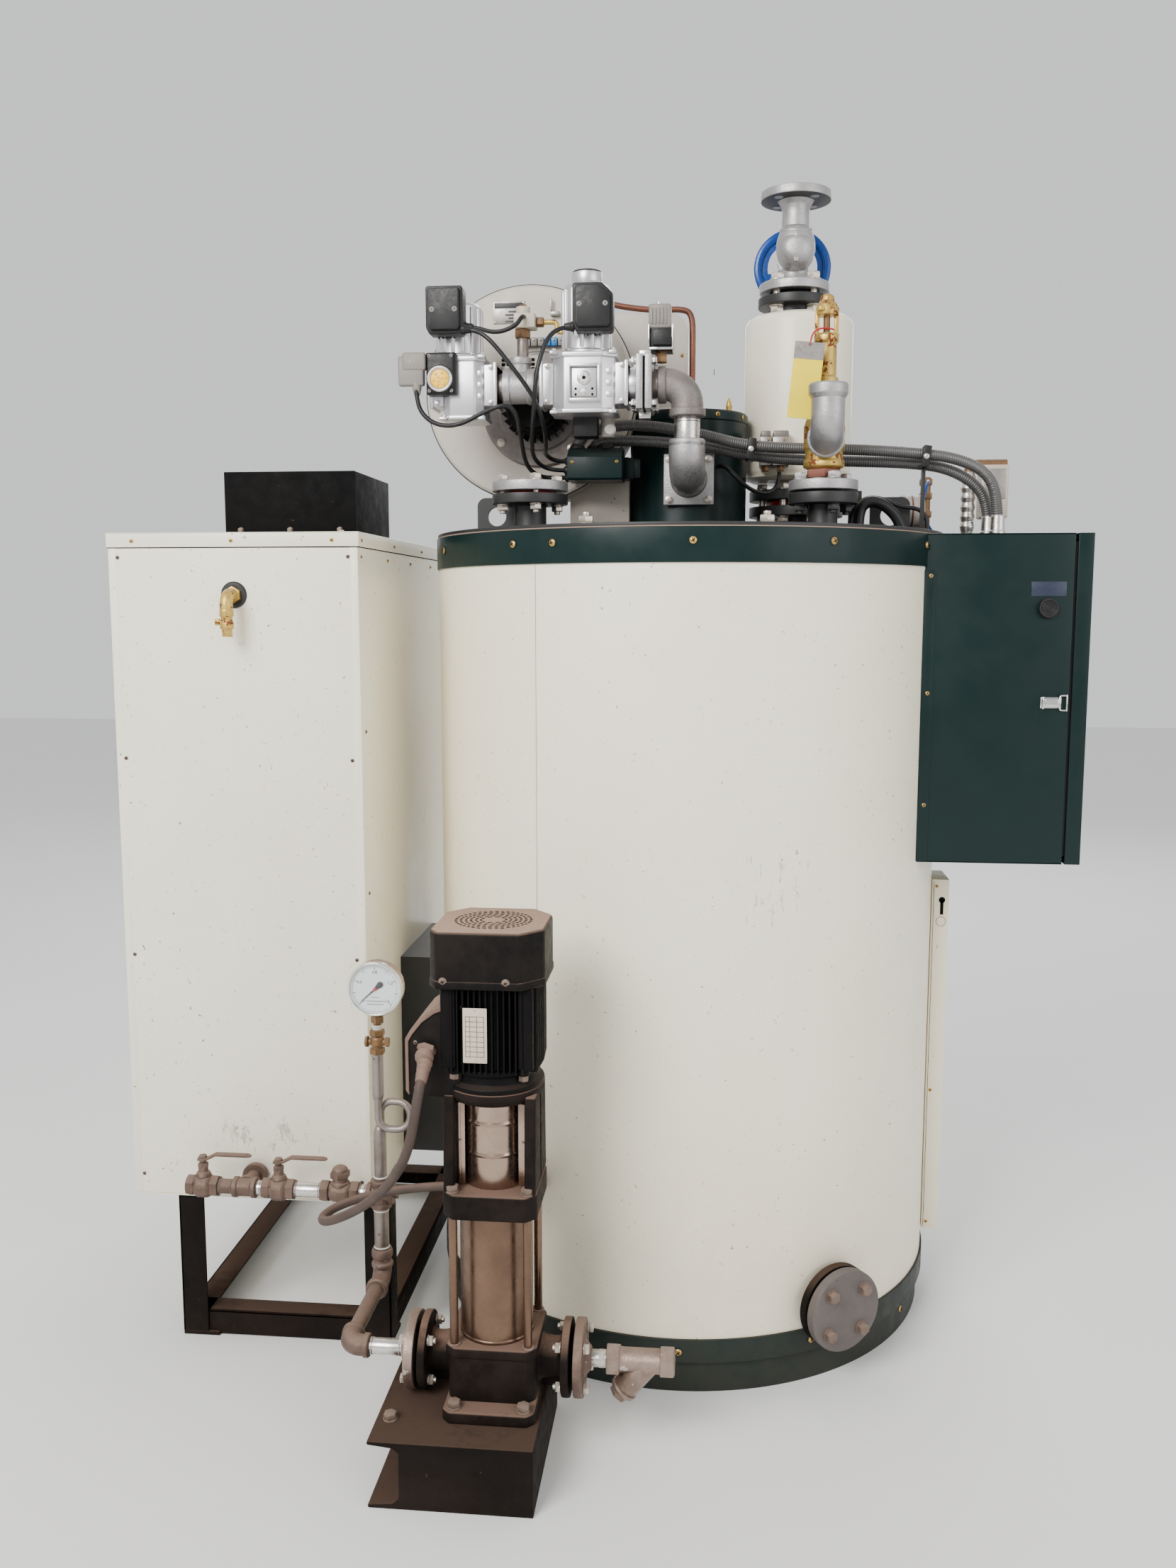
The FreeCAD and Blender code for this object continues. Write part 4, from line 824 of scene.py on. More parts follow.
@dataclass(frozen=True)
class Finish:
    """How a surface is coated, how worn it is and how much dust lies on it."""

    name: str
    colour: Colour
    shade: Colour
    roughness: float = 0.5
    metallic: float = 0.0
    patch_scale: float = 5.0
    patch: float = 0.5
    dust: float = 0.3
    dust_scale: float = 14.0
    dust_colour: Colour = (0.36, 0.29, 0.235)
    chips: float = 0.0
    chip_scale: float = 60.0
    chip_colour: Colour = (0.20, 0.12, 0.07)
    grain_scale: float = 420.0
    grain: float = 0.12
    scratches: float = 0.0
    scratch_colour: Colour = (0.45, 0.38, 0.30)
    grime_height: float = 0.0
    grime: float = 0.6
    coat: float = 0.0
    scuff: "tuple[float, float, float, float] | None" = None
    scuff_squash: float = 1.0
    scuff_share: float = 0.45
    glow: float = 0.0
    shine: float = 0.5

    def group(self, nodes: Nodes, effect: Effect, **values: object) -> bpy.types.NodeSocket:
        """Place a shared effect with this finish's values."""
        node = nodes.add("ShaderNodeGroup", node_tree=effect_group(effect))
        for name, value in values.items():
            nodes.feed(node.inputs[name], value)
        return node.outputs[0]

    def material(self) -> bpy.types.Material:
        """The finish as a material, built the first time it is asked for."""
        made = bpy.data.materials.get(self.name)
        if made is not None:
            return made
        made, nodes, shader = blank(self.name)
        place = nodes.add("ShaderNodeTexCoord")
        vector, normal = place.outputs["Object"], place.outputs["Normal"]
        colour = self.group(nodes, Effect.PATCHES, Vector=vector, Colour=self.colour,
                            Shade=self.shade, Scale=self.patch_scale, Amount=self.patch)
        fine = self.group(nodes, Effect.GRAIN, Vector=vector, Scale=self.grain_scale)
        cloud = nodes.noise(vector, self.patch_scale * 6.0, 4.0, 0.6)
        rough = nodes.spread(cloud, 0.25, 0.75, max(0.05, self.roughness - 0.09),
                             min(1.0, self.roughness + 0.1))
        metal = None
        if self.scratches:
            marks = self.group(nodes, Effect.SCRATCHES, Vector=vector, Scale=SCRATCH_SCALE,
                               Amount=self.scratches)
            colour = nodes.mix(marks, colour, self.scratch_colour)
        if self.scuff is not None:
            colour = nodes.mix(self.rubbed(nodes, vector), colour, RUBBED_COLOUR)
        if self.chips:
            spots = self.group(nodes, Effect.CHIPS, Vector=vector, Scale=self.chip_scale,
                               Amount=self.chips)
            colour = nodes.mix(spots, colour, self.chip_colour)
            rough = nodes.math("ADD", rough, nodes.math("MULTIPLY", spots, 0.25))
        if self.grime_height:
            floor = self.group(nodes, Effect.GRIME, Vector=vector, Height=self.grime_height,
                               Amount=self.grime)
            colour = nodes.mix(floor, colour, self.dust_colour)
            rough = nodes.math("ADD", rough, nodes.math("MULTIPLY", floor, 0.3))
        if self.dust:
            lying = self.group(nodes, Effect.DUST, Vector=vector, Normal=normal,
                               Amount=self.dust, Scale=self.dust_scale)
            colour = nodes.mix(lying, colour, self.dust_colour)
            rough = nodes.math("ADD", rough, nodes.math("MULTIPLY", lying, 0.4))
            if self.metallic:
                metal = nodes.math("MULTIPLY", nodes.math("SUBTRACT", 1.0, lying),
                                   self.metallic)
        nodes.join(colour, shader.inputs["Base Color"])
        nodes.join(rough, shader.inputs["Roughness"])
        shader.inputs["Metallic"].default_value = self.metallic
        if metal is not None:
            nodes.join(metal, shader.inputs["Metallic"])
        shader.inputs["Specular IOR Level"].default_value = self.shine
        shader.inputs["Coat Weight"].default_value = self.coat
        shader.inputs["Coat Roughness"].default_value = COAT_ROUGHNESS
        if self.glow:
            nodes.join(colour, shader.inputs["Emission Color"])
            shader.inputs["Emission Strength"].default_value = self.glow
        bump = nodes.add("ShaderNodeBump")
        bump.inputs["Strength"].default_value = self.grain
        bump.inputs["Distance"].default_value = GRAIN_DEPTH
        nodes.join(fine, bump.inputs["Height"])
        nodes.join(bump.outputs[0], shader.inputs["Normal"])
        made.diffuse_color = (*self.colour, 1.0)
        return made

    def rubbed(self, nodes: Nodes, vector: bpy.types.NodeSocket) -> bpy.types.NodeSocket:
        """A patch of rubbed and scratched paint round one place."""
        x, y, z, reach = self.scuff
        near = nodes.add("ShaderNodeVectorMath", operation="DISTANCE")
        nodes.join(nodes.stretch(vector, (1.0, 1.0, self.scuff_squash)), near.inputs[0])
        near.inputs[1].default_value = (x, y, z * self.scuff_squash)
        inside = nodes.spread(near.outputs["Value"], reach * 0.2, reach, 1.0, 0.0)
        lines = nodes.noise(nodes.stretch(vector, (1.0, 1.0, 0.35)), 75.0, 6.0, 0.8)
        nearby = nodes.math("ADD", lines, nodes.math("MULTIPLY", inside, 0.13))
        return nodes.math("MULTIPLY", nodes.spread(nearby, 0.67, 0.71), self.scuff_share)


@dataclass(frozen=True)
class Glass:
    """Clear glass or plastic that shows what is behind it."""

    name: str
    tint: Colour = (0.95, 0.96, 0.96)
    roughness: float = 0.04

    def material(self) -> bpy.types.Material:
        """The glass as a material, faintly smeared."""
        made = bpy.data.materials.get(self.name)
        if made is not None:
            return made
        made, nodes, shader = blank(self.name)
        place = nodes.add("ShaderNodeTexCoord").outputs["Object"]
        smear = nodes.noise(place, 40.0, 4.0, 0.6)
        nodes.join(nodes.mix(nodes.spread(smear, 0.3, 0.8, 0.0, 0.3), self.tint,
                             (0.8, 0.78, 0.74)), shader.inputs["Base Color"])
        nodes.join(nodes.spread(smear, 0.35, 0.8, self.roughness, self.roughness + 0.12),
                   shader.inputs["Roughness"])
        nodes.join(nodes.spread(smear, 0.3, 0.8, 0.03, 0.07), shader.inputs["Alpha"])
        shader.inputs["IOR"].default_value = 1.45
        shader.inputs["Coat Weight"].default_value = 0.15
        return made


TAN = (0.23, 0.155, 0.12)
CREAM = Finish("cream_enamel", (0.9266, 0.8701, 0.6903), (0.8588, 0.7797, 0.585), 0.36,
               patch_scale=1.6, patch=0.55, dust=0.12, dust_scale=7.0, grain=0.05,
               grain_scale=260.0, scratches=0.14, scratch_colour=(0.50, 0.43, 0.32),
               grime_height=0.7, grime=0.16, chips=0.56, chip_scale=100.0,
               chip_colour=(0.27, 0.22, 0.15), scuff=(0.165, -0.47, 0.92, 0.13), coat=0.12)
CREAM_CASING = Finish("cream_casing", (0.888, 0.8436, 0.696), (0.7881, 0.7326, 0.564), 0.38,
                      patch_scale=1.3, patch=0.6, dust=0.16, dust_scale=6.0, grain=0.05,
                      grain_scale=260.0, scratches=0.2, grime_height=0.75, grime=0.26,
                      chips=0.58, chip_scale=92.0, chip_colour=(0.25, 0.21, 0.14),
                      scuff=(-0.80, -0.41, 0.415, 0.26), scuff_squash=4.0, scuff_share=0.55,
                      coat=0.1)
CREAM_TOP = Finish("cream_separator", (0.896, 0.84, 0.684), (0.8176, 0.7504, 0.57), 0.34,
                   patch_scale=3.0, patch=0.5, dust=0.16, grain=0.05, coat=0.12, chips=0.4,
                   chip_colour=(0.3, 0.24, 0.17))
GREEN = Finish("green_enamel", (0.0016, 0.01225, 0.0115), (0.00256, 0.017, 0.01575), 0.36,
               patch_scale=2.5, patch=0.6, dust=0.14, dust_scale=9.0, grain=0.06,
               grain_scale=300.0, scratches=0.08, scratch_colour=(0.03, 0.05, 0.045), coat=0.03,
               dust_colour=(0.07, 0.065, 0.05), shine=0.22)
GREEN_LOW = Finish("green_enamel_low", (0.00176, 0.01265, 0.01155), (0.0036, 0.01705, 0.01485),
                   0.45, patch_scale=4.0, patch=0.6, dust=0.34, grain=0.08, grime_height=0.25,
                   grime=0.30, dust_colour=(0.07, 0.05, 0.035), shine=0.22)
BLACK = Finish("black_paint", (0.0036, 0.00336, 0.00344), (0.006, 0.00528, 0.00512), 0.55,
               patch_scale=6.0, patch=0.7, dust=0.34, grain=0.16, chips=0.5,
               chip_colour=(0.06, 0.035, 0.022), dust_colour=(0.07, 0.052, 0.042), shine=0.09)
FLUE_BLACK = Finish("flue_black", (0.0030, 0.0028, 0.0029), (0.0052, 0.0046, 0.0045), 0.72,
                    patch_scale=6.0, patch=0.6, dust=0.10, grain=0.16, chips=0.45,
                    chip_colour=(0.05, 0.03, 0.02), dust_colour=(0.05, 0.04, 0.034), shine=0.10)
BLACK_FLOOR = Finish("black_dusty_steel", (0.0036, 0.00288, 0.0027), (0.0057, 0.0042, 0.00348),
                     0.62, patch_scale=9.0, patch=0.6, dust=0.9, dust_scale=10.0, grain=0.3,
                     grain_scale=240.0, chips=0.5, chip_colour=(0.07, 0.035, 0.022),
                     grime_height=0.12, grime=0.12, dust_colour=(0.0656, 0.0416, 0.0304),
                     shine=0.08)
GREY = Finish("warm_grey_enamel", (0.46, 0.42, 0.37), (0.38, 0.34, 0.30), 0.42, patch_scale=4.0,
              patch=0.5, dust=0.25, grain=0.07)
FAN_GREY = Finish("fan_enamel", (0.55, 0.50, 0.43), (0.46, 0.415, 0.35), 0.42, patch_scale=4.5,
                  patch=0.55, dust=0.25, grain=0.07, scratches=0.12, chips=0.5,
                  chip_colour=(0.2, 0.16, 0.12))
PLATE_GREY = Finish("bare_plate", (0.33, 0.31, 0.29), (0.25, 0.225, 0.21), 0.38, 0.8,
                    patch_scale=30.0, dust=0.2)
SILVER = Finish("aluminium_paint", (0.44, 0.43, 0.43), (0.32, 0.305, 0.30), 0.40, 0.8,
                patch_scale=22.0, patch=0.65, dust=0.30, grain=0.40, grain_scale=330.0,
                dust_colour=(0.27, 0.215, 0.18))
CAST = Finish("cast_aluminium", (0.408, 0.392, 0.408), (0.288, 0.276, 0.288), 0.34, 0.88,
              patch_scale=18.0, patch=0.6, dust=0.20, grain=0.34, grain_scale=500.0,
              dust_colour=(0.33, 0.29, 0.27))
BRIGHT = Finish("bright_steel", (0.68, 0.66, 0.64), (0.50, 0.46, 0.42), 0.26, 1.0,
                patch_scale=40.0, patch=0.5, dust=0.12, grain=0.08, dust_colour=TAN)
GALVANISED = Finish("galvanised_pipe", (0.29, 0.255, 0.235), (0.19, 0.155, 0.13), 0.40, 0.85,
                    patch_scale=26.0, patch=0.8, dust=0.35, grain=0.22, grain_scale=300.0,
                    chips=0.7, chip_scale=40.0, chip_colour=(0.16, 0.085, 0.05),
                    dust_colour=(0.20, 0.14, 0.11))
DULL_PIPE = Finish("dull_grey_fitting", (0.22, 0.20, 0.19), (0.15, 0.125, 0.11), 0.5, 0.6,
                   patch_scale=20.0, patch=0.8, dust=0.40, grain=0.45, grain_scale=260.0,
                   dust_colour=(0.22, 0.165, 0.135))
DUSTY = Finish("dusty_fitting", (0.165, 0.108, 0.084), (0.095, 0.060, 0.046), 0.48, 0.60,
               patch_scale=26.0, patch=0.9, dust=0.66, dust_scale=26.0, grain=0.45,
               grain_scale=300.0, chips=0.6, chip_scale=34.0, chip_colour=(0.30, 0.25, 0.22),
               dust_colour=(0.22, 0.145, 0.112))
DUSTY_BOLT = Finish("dusty_bolt", (0.20, 0.145, 0.115), (0.12, 0.08, 0.06), 0.5, 0.6,
                    patch_scale=50.0, dust=0.6, grain=0.25, dust_colour=TAN)
ZINC_BOLT = Finish("zinc_bolt", (0.62, 0.57, 0.50), (0.42, 0.35, 0.27), 0.34, 0.9,
                   patch_scale=60.0, patch=0.6, dust=0.25, grain=0.12, dust_colour=TAN)
BRASS_SCREW = Finish("brass_screw", (0.58, 0.36, 0.11), (0.34, 0.19, 0.07), 0.34, 0.9,
                     patch_scale=80.0, dust=0.15, grain=0.1, dust_colour=TAN)
BRASS = Finish("cast_brass", (0.58, 0.40, 0.10), (0.42, 0.26, 0.07), 0.38, 0.75,
               patch_scale=16.0, patch=0.8, dust=0.22, grain=0.32, grain_scale=320.0,
               chips=1.08, chip_scale=46.0, chip_colour=(0.20, 0.065, 0.02), dust_colour=TAN)
DULL_BRASS = Finish("dull_brass", (0.22, 0.125, 0.055), (0.13, 0.075, 0.04), 0.46, 0.7,
                    patch_scale=30.0, patch=0.8, dust=0.45, grain=0.25, dust_colour=TAN)
RED_BROWN = Finish("sealed_hexagon", (0.20, 0.07, 0.045), (0.12, 0.045, 0.03), 0.5, 0.3,
                   patch_scale=40.0, dust=0.2)
COPPER = Finish("dull_copper", (0.20, 0.078, 0.050), (0.12, 0.055, 0.04), 0.42, 0.75,
                patch_scale=20.0, patch=0.7, dust=0.35, dust_colour=(0.2, 0.15, 0.12))
BLUE = Finish("blue_gloss", (0.0012, 0.0465, 0.2592), (0.0024, 0.0713, 0.3312), 0.22,
              patch_scale=14.0, patch=0.5, dust=0.06, grain=0.08, coat=0.1, chips=0.5,
              chip_colour=(0.10, 0.10, 0.12), shine=0.3)
MOTOR_BLACK = Finish("motor_black", (0.002475, 0.002475, 0.00275), (0.0044, 0.004125, 0.004125),
                     0.42, patch_scale=12.0, patch=0.6, dust=0.30, dust_scale=20.0, grain=0.16,
                     dust_colour=(0.09, 0.062, 0.048), shine=0.08)
TAN_DUST = Finish("thick_dust", (0.33, 0.225, 0.170), (0.245, 0.16, 0.12), 0.85,
                  patch_scale=16.0, patch=0.6, dust=0.4, grain=0.4, grain_scale=300.0,
                  dust_colour=(0.37, 0.26, 0.20), shine=0.2)
PUMP_CAST = Finish("pump_casting", (0.003575, 0.00286, 0.00264), (0.006875, 0.00484, 0.00396),
                   0.6, patch_scale=9.0, patch=0.75, dust=1.0, dust_scale=17.0, grain=0.45,
                   grain_scale=220.0, dust_colour=(0.150, 0.095, 0.070), shine=0.08)
STOOL_CAST = Finish("stool_casting", (0.00319, 0.002695, 0.002585), (0.005775, 0.0044, 0.00385),
                    0.55, patch_scale=10.0, patch=0.6, dust=1.0, dust_scale=15.0, grain=0.4,
                    grain_scale=220.0, dust_colour=(0.165, 0.105, 0.080), shine=0.08)
SLEEVE = Finish("dusty_stainless", (0.205, 0.128, 0.088), (0.120, 0.073, 0.050), 0.30, 0.92,
                patch_scale=6.0, patch=0.8, dust=0.5, dust_scale=8.0, grain=0.12,
                grain_scale=180.0, scratches=0.2, scratch_colour=(0.4, 0.3, 0.22),
                dust_colour=(0.105, 0.066, 0.047))
GUARD = Finish("guard_sheet", (0.38, 0.28, 0.22), (0.22, 0.145, 0.11), 0.22, 0.97,
               patch_scale=9.0, patch=0.5, dust=0.12, grain=0.08, dust_colour=TAN)
STRAINER_CAST = Finish("dusty_bronze", (0.34, 0.26, 0.215), (0.19, 0.13, 0.10), 0.38, 0.85,
                       patch_scale=20.0, patch=0.8, dust=0.42, dust_scale=22.0, grain=0.45,
                       grain_scale=260.0, chips=0.7, chip_scale=30.0,
                       chip_colour=(0.52, 0.48, 0.44), dust_colour=(0.21, 0.145, 0.112))
COVER_DUST = Finish("dusty_cover", (0.102, 0.0868, 0.081), (0.132, 0.112, 0.1026), 0.6, 0.3,
                    patch_scale=8.0, patch=0.8, dust=0.5, grain=0.45, grain_scale=220.0,
                    chips=0.5, chip_colour=(0.08, 0.05, 0.04), dust_colour=(0.149, 0.13, 0.118))
COWL_BLACK = Finish("cowl_black", (0.00288, 0.00276, 0.00288), (0.0051, 0.0045, 0.0042), 0.5,
                    patch_scale=9.0, patch=0.6, dust=0.7, dust_scale=12.0, grain=0.2,
                    dust_colour=(0.20, 0.135, 0.10), shine=0.1)
PLASTIC_BLACK = Finish("black_moulding", (0.0065, 0.0065, 0.007), (0.011, 0.0105, 0.0105), 0.42,
                       patch_scale=18.0, dust=0.22, grain=0.16, grain_scale=700.0,
                       dust_colour=(0.12, 0.10, 0.085), shine=0.35)
PLASTIC_GREY = Finish("grey_moulding", (0.22, 0.20, 0.175), (0.17, 0.15, 0.13), 0.45,
                      patch_scale=18.0, dust=0.25, grain=0.15, grain_scale=700.0)
CONDUIT = Finish("grey_hose", (0.105, 0.103, 0.102), (0.075, 0.07, 0.068), 0.38, 0.35,
                 patch_scale=10.0, patch=0.6, dust=0.40, grain=0.1,
                 dust_colour=(0.20, 0.17, 0.15))
WIRE_BLACK = Finish("black_lead", (0.0055, 0.0055, 0.006), (0.01, 0.01, 0.01), 0.36,
                    patch_scale=20.0, dust=0.2, grain=0.05, dust_colour=(0.1, 0.08, 0.07),
                    shine=0.35)
LEAD_GREY = Finish("dusty_lead", (0.052, 0.036, 0.030), (0.085, 0.058, 0.047), 0.6,
                   patch_scale=12.0, patch=0.7, dust=0.7, grain=0.2,
                   dust_colour=(0.17, 0.112, 0.088), shine=0.3)
TERMINAL_TAN = Finish("terminal_box_dust", (0.185, 0.115, 0.088), (0.125, 0.078, 0.06), 0.6,
                      patch_scale=12.0, patch=0.8, dust=0.7, grain=0.35,
                      dust_colour=(0.28, 0.185, 0.145), shine=0.3)
WHITE_DIAL = Finish("dial_white", (0.74, 0.78, 0.80), (0.66, 0.71, 0.74), 0.5, patch_scale=20.0,
                    patch=0.3, dust=0.0, grain=0.02, shine=0.2)
DIAL_BLACK = Finish("dial_black", (0.004, 0.004, 0.005), (0.008, 0.008, 0.008), 0.5, dust=0.0,
                    patch_scale=60.0, grain=0.02, shine=0.1)
DIAL_RED = Finish("dial_red", (0.50, 0.015, 0.015), (0.4, 0.015, 0.015), 0.4, dust=0.0,
                  patch_scale=60.0)
GAUGE_RIM = Finish("gauge_case", (0.40, 0.33, 0.28), (0.22, 0.135, 0.085), 0.36, 0.85,
                   patch_scale=24.0, patch=0.9, dust=0.3, chips=0.85, chip_scale=40.0,
                   chip_colour=(0.14, 0.06, 0.03), dust_colour=TAN)
YELLOW = Finish("lamp_yellow", (0.85, 0.50, 0.0), (0.90, 0.60, 0.0), 0.25, dust=0.0,
                patch_scale=60.0, glow=0.22)
TAG_YELLOW = Finish("tag_yellow", (0.9184, 0.713, 0.0), (0.8288, 0.621, 0.0), 0.5, dust=0.08,
                    patch_scale=30.0)
STRING_RED = Finish("string_red", (0.50, 0.01, 0.02), (0.35, 0.01, 0.01), 0.8, dust=0.1,
                    patch_scale=60.0, grain=0.5)
TAPE_WHITE = Finish("thread_tape", (0.72, 0.68, 0.62), (0.55, 0.49, 0.43), 0.6, dust=0.2,
                    patch_scale=40.0, grain=0.4)
CHROME = Finish("chromed_catch", (0.76, 0.75, 0.74), (0.60, 0.58, 0.56), 0.14, 1.0,
                patch_scale=30.0, dust=0.08, grain=0.04)
LABEL_BLUE = Finish("bare_label", (0.010, 0.017, 0.040), (0.016, 0.024, 0.050), 0.35, dust=0.08,
                    patch_scale=30.0)
TERMINAL_GREEN = Finish("terminal_green", (0.01, 0.28, 0.14), (0.02, 0.22, 0.11), 0.4,
                        dust=0.15, patch_scale=30.0)
CONNECTOR_BLUE = Finish("connector_blue", (0.02, 0.20, 0.50), (0.03, 0.16, 0.40), 0.4,
                        dust=0.12, patch_scale=30.0)
FOIL = Finish("foil_wrap", (0.66, 0.64, 0.62), (0.40, 0.36, 0.33), 0.24, 0.95, patch_scale=45.0,
              patch=0.8, dust=0.12, grain=0.9, grain_scale=90.0)
SEAM_SHADOW = Finish("gap_shadow", (0.005, 0.0045, 0.004), (0.008, 0.007, 0.006), 0.9,
                     dust=0.05, patch_scale=40.0, shine=0.1, dust_colour=(0.05, 0.04, 0.03))
SOLENOID_CREAM = Finish("solenoid_cream", (0.55, 0.48, 0.38), (0.43, 0.36, 0.28), 0.45,
                        dust=0.3, patch_scale=25.0, dust_colour=TAN)


@dataclass
class Studio:
    """The camera, the soft lights and the pale floor."""

    lens: float = 41.07
    camera_at: tuple[float, float, float] = (0.0790, -2.7633, 1.3982)
    tilt: float = -0.1282
    turn: float = 0.1015
    floor_half: float = 14.0

    def camera(self) -> None:
        """Put the camera where it sees the set from the front."""
        data = bpy.data.cameras.new("camera")
        data.sensor_width = 36.0
        data.sensor_fit = "HORIZONTAL"
        data.lens = self.lens
        data.clip_end = 60.0
        made = bpy.data.objects.new("camera", data)
        made.location = self.camera_at
        made.rotation_euler = (math.pi / 2 + self.tilt, 0.0, self.turn)
        bpy.context.scene.collection.objects.link(made)
        bpy.context.scene.camera = made

    def lamp(self, name: str, at: Sequence[float], size: float, power: float,
             tint: Colour) -> None:
        """A broad lamp aimed at the middle of the set.

        Args:
            name: its name.
            at: where it hangs, in metres.
            size: the width of its panel.
            power: its power, in watts.
            tint: its colour.
        """
        data = bpy.data.lights.new(name, "AREA")
        data.shape = "SQUARE"
        data.size = size
        data.energy = power
        data.color = tint
        made = bpy.data.objects.new(name, data)
        made.location = at
        made.rotation_euler = (Vector((0, 0, 1.1)) - Vector(at)).to_track_quat(
            "-Z", "Y").to_euler()
        bpy.context.scene.collection.objects.link(made)

    def build(self) -> None:
        """Light the room and lay the floor."""
        self.lamp("key", (-2.2, -4.4, 3.9), 2.4, 330.0, (1.0, 0.985, 0.965))
        self.lamp("fill", (4.2, -3.2, 2.4), 3.5, 95.0, (1.0, 0.98, 0.97))
        self.lamp("back", (0.5, 4.5, 4.0), 3.5, 150.0, (0.97, 0.98, 1.0))
        world = bpy.data.worlds.new("room")
        world.use_nodes = True
        world.node_tree.nodes["Background"].inputs[0].default_value = (0.93, 0.94, 0.95, 1.0)
        world.node_tree.nodes["Background"].inputs[1].default_value = 0.95
        bpy.context.scene.world = world
        shape = bmesh.new()
        bmesh.ops.create_grid(shape, x_segments=1, y_segments=1, size=self.floor_half)
        data = bpy.data.meshes.new("floor")
        shape.to_mesh(data)
        shape.free()
        data.materials.append(Finish("studio_floor", (0.80, 0.80, 0.79), (0.77, 0.77, 0.76),
                                     0.75, patch_scale=0.8, dust=0.0, grain=0.02).material())
        floor = shown("floor", data)


@dataclass
class PumpLead:
    """The motor's flexible lead, from its gland to its socket on the shell."""

    radius: float = 0.008
    length: float = 0.893
    boot: float = 0.034
    route: tuple[tuple[float, float, float], ...] = (
        (-0.379, -0.7792, 0.6992), (-0.380, -0.800, 0.681), (-0.384, -0.814, 0.650),
        (-0.391, -0.814, 0.610), (-0.405, -0.796, 0.560), (-0.428, -0.766, 0.514),
        (-0.462, -0.732, 0.464), (-0.505, -0.696, 0.420), (-0.552, -0.662, 0.383),
        (-0.594, -0.628, 0.355), (-0.614, -0.584, 0.342), (-0.604, -0.538, 0.340),
        (-0.566, -0.508, 0.346), (-0.518, -0.506, 0.359), (-0.466, -0.509, 0.370),
        (-0.410, -0.510, 0.377), (-0.356, -0.508, 0.376), (-0.3025, -0.501, 0.375))

    def build(self) -> None:
        """Lay the lead and fit its strain relief."""
        strand = Strand("motor_lead", self.route, self.radius)
        lead = strand.curve(LEAD_GREY)
        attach(lead, "boiler")
        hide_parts("pump_lead")
        relief = Piece("lead_strain_relief")
        start, ahead = Vector(self.route[0]) / MM, Vector(self.route[1]) / MM
        relief.lathe([(0, -2), (12.2, -2), (12.2, 3), (10.8, 8), (11.2, 10), (9.8, 17),
                      (10.2, 19), (8.9, self.boot / MM), (0, self.boot / MM)],
                     start, ahead - start, TERMINAL_TAN, 24, 0.8)
        boot = relief.done("grey_plastic")
        LOG.info("motor_lead: a cord %.2f m long, rides on boiler", self.length)


